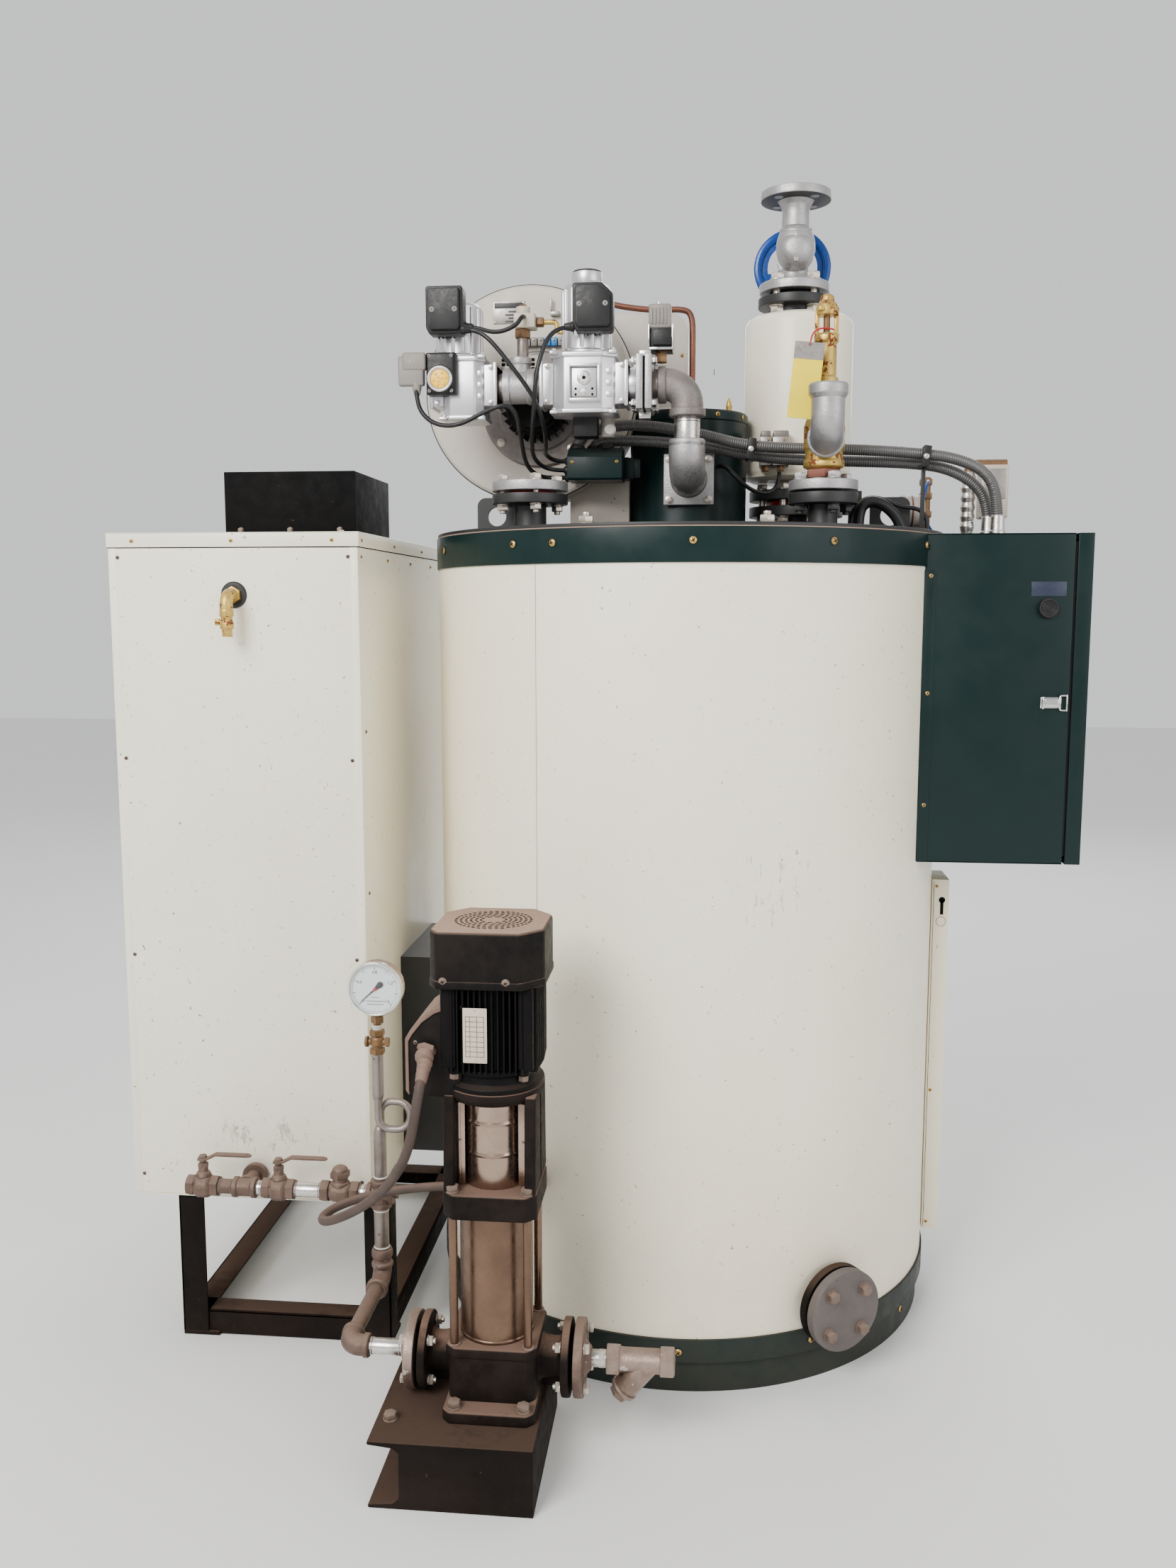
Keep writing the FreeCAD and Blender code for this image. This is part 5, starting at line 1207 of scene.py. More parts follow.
@dataclass
class Jacket:
    """The sheet jacket, its painted bands, the roof, the skirt and the side strip."""

    radius: float = 500.0
    sheet: float = 3.0
    seam: float = 60.0
    lap: float = 1.4
    band: float = 504.0
    steps: int = 96

    def half(self, name: str, node: str, start: float) -> None:
        """One half of the round sheet jacket, with a rolled lap at its seam."""
        room = Room.of(node)
        piece = Piece(name)
        inner = self.radius - self.sheet
        piece.lathe(washer(inner, self.radius, room.low, room.high), (0, 0, 0), Way.UP, CREAM,
                    self.steps, 0.4, 180.0, start)
        lap = math.radians(start)
        turn = Matrix.Rotation(lap, 4, "Z")
        piece.block((self.radius - 0.6, 0.2, room.low + 1), (self.radius + 0.9, 1.3,
                                                              room.high - 1),
                    SEAM_SHADOW, 0.0, 1, turn)
        piece.block((self.radius - 1, 1.3, room.low + 1),
                    (self.radius + self.lap, 3.4, room.high - 1), CREAM, 0.4, 2, turn)
        piece.done("cream_paint", node)

    def bands(self) -> None:
        """The two painted bands with the screws that hold them."""
        room = Room.of("jacket_bands")
        front = Room.of("jacket_front")
        piece = Piece("painted_bands")
        inner = self.radius - self.sheet
        for low, high, paint in ((front.high, room.high, GREEN), (room.low, front.low, GREEN_LOW)):
            piece.lathe(washer(inner, self.band, low, high), (0, 0, 0), Way.UP, paint, 144, 1.2)
        for angle, height in ((-154.3, 1512), (-125.4, 1514), (-115.5, 1514), (-87.3, 1515),
                              (-59.0, 1516), (-29.3, 1517), (15, 1515), (62, 1513),
                              (100, 1516), (140, 1514), (-88.7, 81), (-60.2, 82), (-140, 82),
                              (60, 81), (130, 82)):
            turn = math.radians(angle)
            way = (math.cos(turn), math.sin(turn), 0.0)
            seat = Vector(way) * (self.band - 0.4) + Vector((0, 0, height))
            piece.lathe(disc(8.4, 0, 1.4), seat, way, GREEN, 16, 0.4)
            piece.screw(seat + Vector(way) * 1.3, way, 6.2, BRASS_SCREW)
        piece.done("green_paint", "jacket_bands")

    def roof(self) -> None:
        """The roof plate, its weld bead and the studs with nuts on it."""
        room = Room.of("top_plate")
        piece = Piece("roof_plate")
        edge = room.right
        piece.lathe(disc(edge, room.low, room.high), (0, 0, 0), Way.UP, BLACK, 144, 1.4)
        piece.ring((0, 0, room.low + 0.6), Way.UP, self.band - 2.6, 1.5, TAN_DUST, 144, 6)
        for x, y in ((-166, -391), (148, -391), (-402, 40), (-330, 270), (60, 430),
                     (330, 270)):
            piece.lathe(disc(15, 0, 3), (x, y, room.high - 1), Way.UP, BLACK, 24, 0.6)
            piece.bolt((x, y, room.high + 2), Way.UP, 24, ZINC_BOLT, Ending.NUT)
        piece.done("black_paint", "top_plate")

    def skirt(self) -> None:
        """The dark skirt that the shell stands on."""
        room = Room.of("base_skirt")
        piece = Piece("skirt")
        outer = room.right
        piece.lathe(washer(outer - 14, outer, 0, room.high), (0, 0, 0), Way.UP, GREEN_LOW, 144,
                    1.0)
        piece.lathe(disc(outer - 14, 0, 10), (0, 0, 0), Way.UP, BLACK_FLOOR, 96, 0.5)
        piece.ring((0, 0, room.high - 1.5), Way.UP, outer + 1.5, 2.6, GREEN_LOW, 144, 6)
        for angle in (-27.7, -150, 40, 130):
            turn = math.radians(angle)
            way = (math.cos(turn), math.sin(turn), 0.0)
            piece.screw(Vector(way) * (outer - 0.5) + Vector((0, 0, 38)), way, 6.0,
                        BRASS_SCREW)
        piece.done("black_paint", "base_skirt")

    def strip(self) -> None:
        """The folded cream strip on the right, with its keyhole and screws."""
        room = Room.of("side_strip")
        piece = Piece("cable_strip")
        piece.block((room.left, room.front, room.low), (room.right, room.back, room.high),
                    CREAM, 1.6)
        piece.block((room.left + 3, room.front - 0.5, room.low + 5),
                    (room.left + 3.8, room.front + 0.4, room.high - 4), SEAM_SHADOW, 0.0)
        for height in (room.low + 16, room.low + 300, room.high - 14):
            piece.screw((room.left + 9, room.front + 0.2, height), Way.FRONT, 3.6,
                        BRASS_SCREW)
        top = room.high - 42
        piece.rod((room.x + 3, room.front + 0.4, top), Way.FRONT, 6.4, 0.8, SEAM_SHADOW, 24,
                  0.0)
        piece.block((room.x - 0.2, room.front - 0.4, top - 30),
                    (room.x + 6.2, room.front + 0.4, top), SEAM_SHADOW, 0.0)
        piece.ring((room.x + 2, room.front + 0.1, top - 44), Way.FRONT, 9.5, 0.5,
                   SEAM_SHADOW, 32, 6)
        piece.done("cream_paint", "side_strip")

    def build(self) -> None:
        """Make the jacket and all that is screwed to it."""
        self.half("jacket_front_sheet", "jacket_front", self.seam - 180.0)
        self.half("jacket_rear_sheet", "jacket_rear", self.seam)
        self.bands()
        self.roof()
        self.skirt()
        self.strip()


@dataclass
class Covers:
    """The two blanked hand-holes with their bolted covers."""

    gap: float = 5.0
    cover: float = 18.0
    angle: float = -55.6
    reach: float = 512.0
    height: float = 148.0
    top_disc: float = 18.0
    low_disc: float = 16.0

    def pair(self, piece: Piece, lids: Piece, at: Vector, way: Vector, radius: float,
             disc: float, circle: float, flats: float, neck: float, paint: Finish,
             lid: Finish, bolts: Finish, start: float) -> None:
        """One flange, its cover and the bolts that join them.

        Args:
            piece: the piece of the flange and its neck.
            lids: the piece of the cover and the bolts.
            at: the flange's inner face.
            way: outwards.
            radius: the flange's radius.
            disc: the flange's thickness.
            circle: the radius of the bolt circle.
            flats: the bolts' width across flats.
            neck: how far the neck reaches back.
            paint: the flange's finish.
            lid: the cover's finish.
            bolts: the bolts' finish.
            start: the first bolt's angle.
        """
        piece.lathe([(0, -neck), (34, -neck), (30, -neck + 4), (30, -4), (34, 0),
                     (radius, 0), (radius, disc), (0, disc)], at, way, paint, 64, 1.6)
        face = at + way * disc
        lids.lathe([(0, 0.2), (36, 0.2), (36, self.gap), (radius, self.gap),
                    (radius, self.gap + self.cover), (0, self.gap + self.cover)], face, way,
                   lid, 64, 2.0)
        lids.ring(face + way * self.gap / 2, way, 38, 2.6, DIAL_RED, 40, 6)
        for spot in circle_of(face + way * (self.gap + self.cover), way, circle, 4, start):
            lids.bolt(spot, way, flats, bolts)
            behind = spot - way * (self.gap + self.cover + disc)
            lids.bolt(behind, -way, flats, bolts, Ending.NUT)
            lids.rod(behind, way, flats * 0.3, self.gap + self.cover + disc, bolts, 12, 0.0)

    def build(self) -> None:
        """Make the cover on the roof and the one low on the shell."""
        roof = Room.of("top_plate").high
        nozzle = Room.of("blind_nozzles")
        necks, lids = Piece("hand_hole_necks"), Piece("hand_hole_covers")
        above = Vector((nozzle.left + 70, -257, 1593))
        self.pair(necks, lids, above, Vector((0, 0, 1)), 70, self.top_disc, 51, 19,
                  1593 - roof, BLACK, SILVER, ZINC_BOLT, 20)
        turn = math.radians(self.angle)
        way = Vector((math.cos(turn), math.sin(turn), 0))
        low = way * self.reach + Vector((0, 0, self.height))
        self.pair(necks, lids, low, way, 75, self.low_disc, 52, 20, 26, BLACK_FLOOR,
                  COVER_DUST, DUSTY_BOLT, 42)
        necks.done("black_paint", "blind_nozzles")
        lids.done("dusty_steel", "blind_covers")


@dataclass
class SteamSide:
    """The separator, the level probes and the stop valve with its wheel."""

    radius: float = 108.0
    foot: float = 95.0

    def separator(self) -> None:
        """The cream vessel on its bolted pair of flanges, and the black crown flange."""
        room = Room.of("steam_separator")
        x, y = room.x, room.y
        roof = Room.of("top_plate").high
        piece = Piece("separator")
        piece.lathe([(0, 1650), (44, 1650), (44, 1657), (self.radius - 20, 1658),
                     (self.radius - 5, 1664), (self.radius, 1676), (self.radius, 1966),
                     (self.radius - 4, 1976), (self.radius - 16, 1982), (0, 1982)],
                    (x, y, 0), Way.UP, CREAM_TOP, 72, 2.0)
        piece.ring((x, y, 1666), Way.UP, self.radius - 1.2, 1.8, CREAM_TOP, 72, 6)
        piece.lathe([(0, roof - 1), (48, roof - 1), (42, roof + 6), (38, roof + 12), (38, 1588),
                     (self.foot, 1588), (self.foot, 1608), (0, 1608)], (x, y, 0), Way.UP,
                    BLACK, 64, 1.6)
        piece.lathe(disc(60, 1609, 1619), (x, y, 0), Way.UP, DIAL_RED, 48, 0.6)
        piece.lathe([(0, 1620), (self.foot, 1620), (self.foot, 1640), (44, 1642), (40, 1652),
                     (0, 1652)], (x, y, 0), Way.UP, BLACK, 64, 1.6)
        for spot in circle_of((x, y, 1640), Way.UP, 75, 8, 22.5):
            piece.bolt(spot, Way.UP, 20, ZINC_BOLT)
            piece.bolt(spot - Vector((0, 0, 52)), Way.DOWN, 20, ZINC_BOLT, Ending.NUT)
            piece.rod(spot - Vector((0, 0, 34)), Way.UP, 6.5, 16, ZINC_BOLT, 12, 0.0)
        top = Vector((208, y, 0))
        piece.lathe([(0, 1980), (52, 1981), (46, 1986), (45, 2000), (50, 2003), (72, 2003),
                     (72, 2021), (0, 2021)], top, Way.UP, BLACK, 64, 1.6)
        piece.lathe(disc(50, 2021.5, 2030.5), top, Way.UP, SEAM_SHADOW, 48, 0.8)
        piece.done("cream_paint", "steam_separator")

    def probes(self) -> None:
        """The two grey level probe housings on the separator's side."""
        room = Room.of("level_probes")
        piece = Piece("level_probe_housings")
        for left, right in ((room.left, 163), (165, room.right)):
            middle = (left + right) / 2
            piece.block((left, room.front, room.low + 10), (right, room.back + 10,
                                                            room.high - 12), PLATE_GREY, 2.2)
            piece.block((left + 1.5, room.front + 3, room.high - 14),
                        (right - 1.5, room.back + 8, room.high), DULL_PIPE, 3.0)
            piece.rod((middle, room.front + 14, room.low), Way.UP, 8, 14, DULL_BRASS, 6, 0.8)
            piece.rod((middle, room.front - 0.6, room.z - 4), Way.BACK, 5, 3, SEAM_SHADOW, 16,
                      0.3)
            for height in (room.low + 16, room.high - 18):
                piece.screw((middle + 6, room.front + 0.3, height), Way.FRONT, 2.4,
                            BRASS_SCREW)
        piece.done("grey_plastic", "level_probes")

    def valve(self) -> None:
        """The silver stop valve between its flanges."""
        axis = Vector((208, 70, 0))
        piece = Piece("stop_valve")
        piece.lathe([(0, 2031), (70, 2031), (70, 2048), (66, 2050), (40, 2051), (30, 2056),
                     (27, 2066), (27, 2080), (0, 2080)], axis, Way.UP, SILVER, 64, 1.8)
        piece.lathe([(16, 2209), (70, 2209), (70, 2225), (43, 2225), (43, 2224), (16, 2224),
                     (16, 2209)], axis, Way.UP, SILVER, 64, 1.4)
        piece.lathe([(16, 2150), (28, 2150), (27, 2190), (29, 2200), (36, 2209), (16, 2209),
                     (16, 2150)], axis, Way.UP, SILVER, 48, 1.8)
        piece.lathe(disc(17, 2152, 2170), axis, Way.UP, SEAM_SHADOW, 24, 0.4)
        piece.lathe([(0, -40), (20, -36), (33, -22), (39, 0), (38, 18), (33, 34), (27, 46),
                     (0, 48)], (208, 46, 2108), Way.UP, SILVER, 48, 6.0)
        piece.lathe([(0, -42), (18, -40), (31, -30), (37, -14), (38, 4), (34, 24), (28, 40),
                     (0, 42)], (208, 46, 2108), Way.BACK, SILVER, 48, 6.0)
        piece.lathe([(0, 0), (30, 0), (28, 10), (24, 18), (24, 52), (33, 54), (33, 60),
                     (20, 62), (12, 70), (10, 96), (0, 96)], (208, 70, 2108), Way.BACK, SILVER,
                    40, 1.4)
        piece.rod((208, 160, 2108), Way.BACK, 5, 40, BRIGHT, 16, 0.8)
        piece.ring((208, 44, 2148), (0, -0.25, 1), 30, 3.0, SILVER, 48, 8)
        piece.block((203, 8, 2080), (213, 20, 2134), SILVER, 2.4)
        for spot in circle_of((208, 70, 2050), Way.UP, 50, 4, 45):
            piece.bolt(spot, Way.UP, 24, ZINC_BOLT)
            piece.bolt(spot - Vector((0, 0, 47)), Way.DOWN, 24, ZINC_BOLT, Ending.NUT)
            piece.rod(spot - Vector((0, 0, 30)), Way.UP, 8, 12, ZINC_BOLT, 12, 0.0)
        # A black ring under the top flange: its dark paint, deepened as painted shade under the
        # flange.
        piece.lathe(washer(37, 69, 2208.3, 2209.6), axis, Way.UP, BLACK, 64, 0.2)
        # The bolt holes are not cut: the dark discs on top are painted shade in the holes, and the
        # grey discs underneath are painted light showing through them.
        for spot in circle_of((208, 70, 2224.4), Way.UP, 50, 4, 45):
            piece.rod(spot, Way.UP, 9, 0.5, SEAM_SHADOW, 24, 0.0)
            piece.rod(spot - Vector((0, 0, 16.5)), Way.UP, 9, 0.5, PLATE_GREY, 24, 0.0)
        piece.done("silver_coating", "steam_valve")

    def handwheel(self) -> None:
        """The blue wheel: its stepped rim, three broad spokes, the hub and the nut."""
        room = Room.of("steam_handwheel")
        middle = Vector((room.x, 184, room.z))
        piece = Piece("handwheel")
        piece.lathe([(63, -6), (66, -9), (72, -9.6), (78, -8), (80, -4), (80, 4), (77.5, 7.6),
                     (70, 8), (63, 5), (63, -6)], middle, Way.BACK, BLUE, 72, 1.6)
        piece.lathe(washer(51, 65, -2.4, 3.2), middle, Way.BACK, BLUE, 64, 1.2)
        piece.lathe([(5.2, -7), (13, -7), (14, 0), (13, 11), (5.2, 11), (5.2, -7)], middle,
                    Way.BACK, BLUE, 32, 1.0)
        for turn in (90, 210, 330):
            angle = math.radians(turn)
            way, across = (math.cos(angle), math.sin(angle)), (-math.sin(angle), math.cos(angle))
            half = ((10, 11.5), (24, 11), (40, 12), (52, 18), (60, 27))
            outline = [(middle.x + way[0] * reach + across[0] * side * wide,
                        middle.z + way[1] * reach + across[1] * side * wide)
                       for side, row in ((1, half), (-1, half[::-1])) for reach, wide in row]
            piece.prism(outline, 8, upright(middle.y + 4, Way.FRONT), BLUE, 2.2, 3)
        piece.rod(middle + Vector((0, 10.6, 0)), Way.BACK, 8.6, 5.0, ZINC_BOLT, 6, 0.6)
        piece.done("blue_paint", "steam_handwheel", body="handwheel")

    def build(self) -> None:
        """Make the whole steam side."""
        self.separator()
        self.probes()
        self.valve()
        self.handwheel()


@dataclass
class SafetyValve:
    """The brass safety valve, its flanges, its outlet elbow and its bare tag."""

    x: float = 252.0
    y: float = -250.0
    out: float = -329.0
    outlet: float = 1702.0

    def column(self, piece: Piece) -> None:
        """The valve's own column of turned brass."""
        at = (self.x, self.y, 0)
        roof = Room.of("safety_valve").low
        piece.lathe([(0, roof), (32, roof), (27, roof + 6), (26, 1590), (62.5, 1590),
                     (62.5, 1610), (0, 1610)], at, Way.UP, BLACK, 56, 1.6)
        piece.lathe(disc(28, 1610.4, 1613.6), at, Way.UP, SEAM_SHADOW, 40, 0.4)
        piece.lathe([(0, 1614), (62.5, 1614), (62.5, 1632), (30, 1634), (27, 1638),
                     (0, 1638)], at, Way.UP, SILVER, 56, 1.6)
        piece.rod((self.x, self.y, 1637), Way.UP, 33, 15, RED_BROWN, 6, 1.6)
        piece.ring((self.x, self.y, 1636), Way.UP, 25, 2.2, TAPE_WHITE, 32, 8)
        piece.lathe([(0, 1651), (26, 1651), (37, 1656), (37, 1664), (34, 1670), (34, 1684),
                     (37, 1690), (37, 1728), (33, 1740), (26, 1748), (22, 1756), (0, 1756)],
                    at, Way.UP, BRASS, 48, 2.4)
        piece.rod((self.x, self.y, 1753), Way.UP, 27, 12, BRASS, 6, 1.4)
        piece.lathe([(0, 1764), (21, 1765), (21, 1800), (23, 1802), (23, 1812), (19, 1816),
                     (18.5, 1872), (22, 1876), (22, 1886), (17, 1890), (0, 1891)], at, Way.UP,
                    BRASS, 40, 1.4)
        for side in (-1, 1):
            piece.block((self.x + side * 17 - 4, self.y - 6, 1886),
                        (self.x + side * 17 + 4, self.y + 6, 1934), BRASS, 1.8)
        piece.lathe([(0, 1888), (6, 1888), (6, 1922), (9, 1924), (0, 1925)], at, Way.UP,
                    DULL_BRASS, 20, 0.6)
        piece.lathe([(0, 1920), (20, 1921), (21, 1932), (18, 1940), (13, 1946), (12, 1954),
                     (8, 1958), (0, 1958)], at, Way.UP, BRASS, 36, 1.6)
        piece.block((self.x - 16, self.y - 24, 1926), (self.x - 6, self.y + 2, 1934), BRASS,
                    2.0)
        for spot in circle_of((self.x, self.y, 1633), Way.UP, 45, 4, 20):
            piece.bolt(spot, Way.UP, 20, SILVER)
            piece.bolt(spot - Vector((0, 0, 43)), Way.DOWN, 20, BLACK, Ending.NUT)

    def elbow(self, piece: Piece) -> None:
        """The silver outlet elbow with its upturned, beaded mouth."""
        piece.rod((self.x, self.y - 24, self.outlet), Way.FRONT, 31, 15, BRASS, 8, 1.6)
        piece.pipe([(self.x, self.y - 34, self.outlet), (self.x, self.out, self.outlet),
                    (self.x, self.out, 1776)], 29.5, SILVER, 40, 36)
        piece.lathe([(21, 1752), (34.5, 1773), (35, 1787), (33, 1791), (22, 1791),
                     (21, 1787), (21, 1752)], (self.x, self.out, 0), Way.UP, SILVER, 44, 1.2)
        piece.lathe(disc(21.5, 1760, 1762), (self.x, self.out, 0), Way.UP, SEAM_SHADOW, 32, 0.3)
        piece.ring((self.x, self.y - 42, self.outlet), Way.FRONT, 30, 3.6, SILVER, 40, 10)
        piece.ring((self.x, self.y - 37, self.outlet), Way.FRONT, 28.5, 2.6, TAPE_WHITE, 32,
                   8)

    def tag(self) -> None:
        """The bare inspection tag on its red string."""
        piece = Piece("bare_tag")
        tilt = Matrix.Translation((221, -296, 1868)) @ Matrix.Rotation(0.10, 4, "Y")
        piece.block((-26, -0.5, -30), (26, 0.5, 0), PLATE_GREY, 0.3, 1, tilt)
        piece.block((-26, -0.7, -132), (26, 0.7, -30), TAG_YELLOW, 0.3, 1, tilt)
        piece.ring(tilt @ Vector((0, -0.8, -5)), Way.FRONT, 3.0, 0.6, PLATE_GREY, 20, 6)
        made = piece.done("valve_brass")
        string = Strand("tag_string", (
            (0.2205, -0.2975, 1.8630), (0.222, -0.290, 1.874), (0.228, -0.276, 1.889),
            (0.238, -0.262, 1.897), (0.252, -0.2565, 1.899), (0.268, -0.254, 1.896),
            (0.2735, -0.247, 1.888)), 0.0016).curve(STRING_RED)
        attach(string, "boiler")
        LOG.info("%s hangs on %s", made.name, string.name)

    def build(self) -> None:
        """Make the safety valve and its tag."""
        piece = Piece("safety_valve_body")
        self.column(piece)
        self.elbow(piece)
        piece.done("valve_brass", "safety_valve")
        self.tag()


@dataclass
class Burner:
    """The green barrel, the fan with its motor, and the grey air duct."""

    radius: float = 118.0
    fan: float = 205.0
    fins: int = 26

    def barrel(self) -> None:
        """The green barrel with a black rim and a raised fixing flange."""
        room = Room.of("burner_barrel")
        piece = Piece("barrel")
        radius = self.radius
        piece.lathe([(0, room.low), (radius, room.low), (radius, room.low + 6),
                     (radius - 2, room.low + 7), (radius - 2, room.high - 20), (radius,
                     room.high - 19), (radius, room.high - 3), (0, room.high - 3)],
                    (0, 0, 0), Way.UP, GREEN, 96, 1.2)
        piece.lathe(washer(radius - 16, radius - 3, room.high - 3.2, room.high), (0, 0, 0), Way.UP,
                    BLACK, 96, 0.6)
        piece.lathe(disc(radius - 16, room.high - 3.2, room.high - 2), (0, 0, 0), Way.UP, GREEN,
                    64, 0.4)
        for spot in circle_of((0, 0, room.high - 10), Way.UP, radius, 10, 12):
            way = Vector((spot.x, spot.y, 0)).normalized()
            piece.screw(Vector((0, 0, spot.z)) + way * (radius - 0.3), way, 4.6, BRASS_SCREW)
        piece.rod((80, 30, room.high - 3), Way.UP, 10, 14, DULL_BRASS, 6, 1.0)
        piece.lathe([(0, 10), (7.5, 10), (7.5, 16), (5.5, 18), (6.5, 26), (4.5, 34), (1.6, 42),
                     (0, 42)], (80, 30, room.high - 3), Way.UP, BRASS, 20, 0.8)
        piece.done("green_paint", "burner_barrel")

    def casing(self) -> None:
        """The grey fan disc with its dark edge, bare plate, grille and cable clips."""
        room = Room.of("fan_casing")
        x, z, front = room.left + self.fan, 1815.0, room.front
        piece = Piece("fan_housing")
        depth = 135
        piece.lathe([(0, 0), (self.fan - 7, 0), (self.fan, 5), (self.fan, depth - 5),
                     (self.fan - 7, depth), (0, depth)], (x, front, z), Way.BACK, FAN_GREY,
                    112, 2.0)
        for offset in (6.0, depth - 7.0):
            piece.ring((x, front + offset, z), Way.BACK, self.fan - 2.4, 2.6, BLACK, 112, 8)
        piece.block((-232, -60, 1548), (-114, 10, 1700), FAN_GREY, 2.0)
        piece.block((-238, -66, 1545.8), (-112, 16, 1552), DULL_PIPE, 1.4)
        piece.block((-374, front - 1.4, 1946), (-312, front + 0.5, 1988), PLATE_GREY, 0.6)
        piece.block((-371, front - 1.8, 1975), (-315, front - 1.1, 1985), BLACK, 0.2)
        for row in range(4):
            piece.block((-350 + row % 2 * 6, front - 1.7, 1949 + row * 6),
                        (-320, front - 1.1, 1952.5 + row * 6), BLACK, 0.2)
        for spot in ((-371, 1985), (-315, 1985), (-371, 1949), (-315, 1949)):
            piece.rod((spot[0], front - 1.3, spot[1]), Way.FRONT, 1.6, 1.0, BRIGHT, 10, 0.3)
        piece.block((-262, front - 12, 1958), (-244, front + 1, 1966), PLATE_GREY, 1.5)
        piece.block((-262, front - 12, 1966), (-258, front - 6, 1990), PLATE_GREY, 1.2)
        for index in range(6):
            start = -312 + index * 13.0
            piece.block((start, front - 13, 1902), (start + 11.5, front, 1918),
                        CONNECTOR_BLUE if index in (3, 4) else PLASTIC_GREY, 1.2)
            piece.screw((start + 5.7, front - 13, 1913), Way.FRONT, 2.6, BRIGHT)
        piece.done("grey_paint", "fan_casing")

    def motor(self) -> None:
        """The dark finned motor on its grey ring."""
        room = Room.of("fan_motor")
        x, z, seat = -285.0, 1785.0, room.back
        piece = Piece("fan_motor_body")
        piece.lathe([(0, 0), (110, 0), (110, 4), (106, 6), (80, 6), (76, 9), (0, 9)],
                    (x, seat, z), Way.FRONT, DULL_PIPE, 80, 0.8)
        left, low, across, up = -357, 1841, 7, 5
        piece.block((left - 5, seat - 7.4, low - 3), (left + 71, seat - 5, low + 45), FAN_GREY,
                    1.0)
        for column in range(across):
            for row in range(up):
                corner = Vector((left + column * 9.6, seat - 8.2, low + row * 8.4))
                piece.block(corner, corner + Vector((6.8, 1.0, 5.8)), SEAM_SHADOW, 0.0)
        for spot in circle_of((x, seat - 6, z), Way.FRONT, 97, 4, 40):
            piece.bolt(spot, Way.FRONT, 13, ZINC_BOLT, Ending.NUT)
        piece.lathe([(0, 8), (56, 8), (57, 66), (50, 72), (0, 74)], (x, seat, z), Way.FRONT,
                    MOTOR_BLACK, 48, 2.0)
        for index in range(self.fins):
            turn = Matrix.Translation((x, 0, z)) @ Matrix.Rotation(
                math.tau * index / self.fins, 4, "Y")
            piece.block((50, seat - 64, -1.4), (65.5, seat - 9, 1.4), MOTOR_BLACK, 0.8, 1, turn)
        piece.lathe([(0, 72), (40, 72), (48, 76), (44, 81), (0, 82)], (x, seat, z), Way.FRONT,
                    MOTOR_BLACK, 40, 1.4)
        piece.done("black_motor_paint", "fan_motor")

    def duct(self) -> None:
        """The grey air duct with its rounded corner and folded seams."""
        room = Room.of("air_duct")
        piece = Piece("air_duct_box")
        low, high, right = room.low, room.high, room.right
        corner = [(right - 40 + 40 * math.sin(math.radians(angle)),
                   high - 40 + 40 * math.cos(math.radians(angle))) for angle in
                  range(0, 91, 10)]
        outline = [(-190, low), (-190, high), *corner, (right, low)]
        piece.prism(outline, room.back - room.front, upright(room.back, Way.FRONT), GREY, 1.6)
        for edge in (room.front - 0.8, room.back + 0.2):
            piece.block((-188, edge, low), (right - 4, edge + 0.6, low + 12), GREY, 0.2)
        for height in (low + 6, low + 60, low + 110):
            piece.screw((right - 10, room.front - 0.4, height), Way.FRONT, 3.6, BRASS_SCREW)
        piece.done("grey_paint", "air_duct")

    def build(self) -> None:
        """Make the burner."""
        self.barrel()
        self.casing()
        self.motor()
        self.duct()


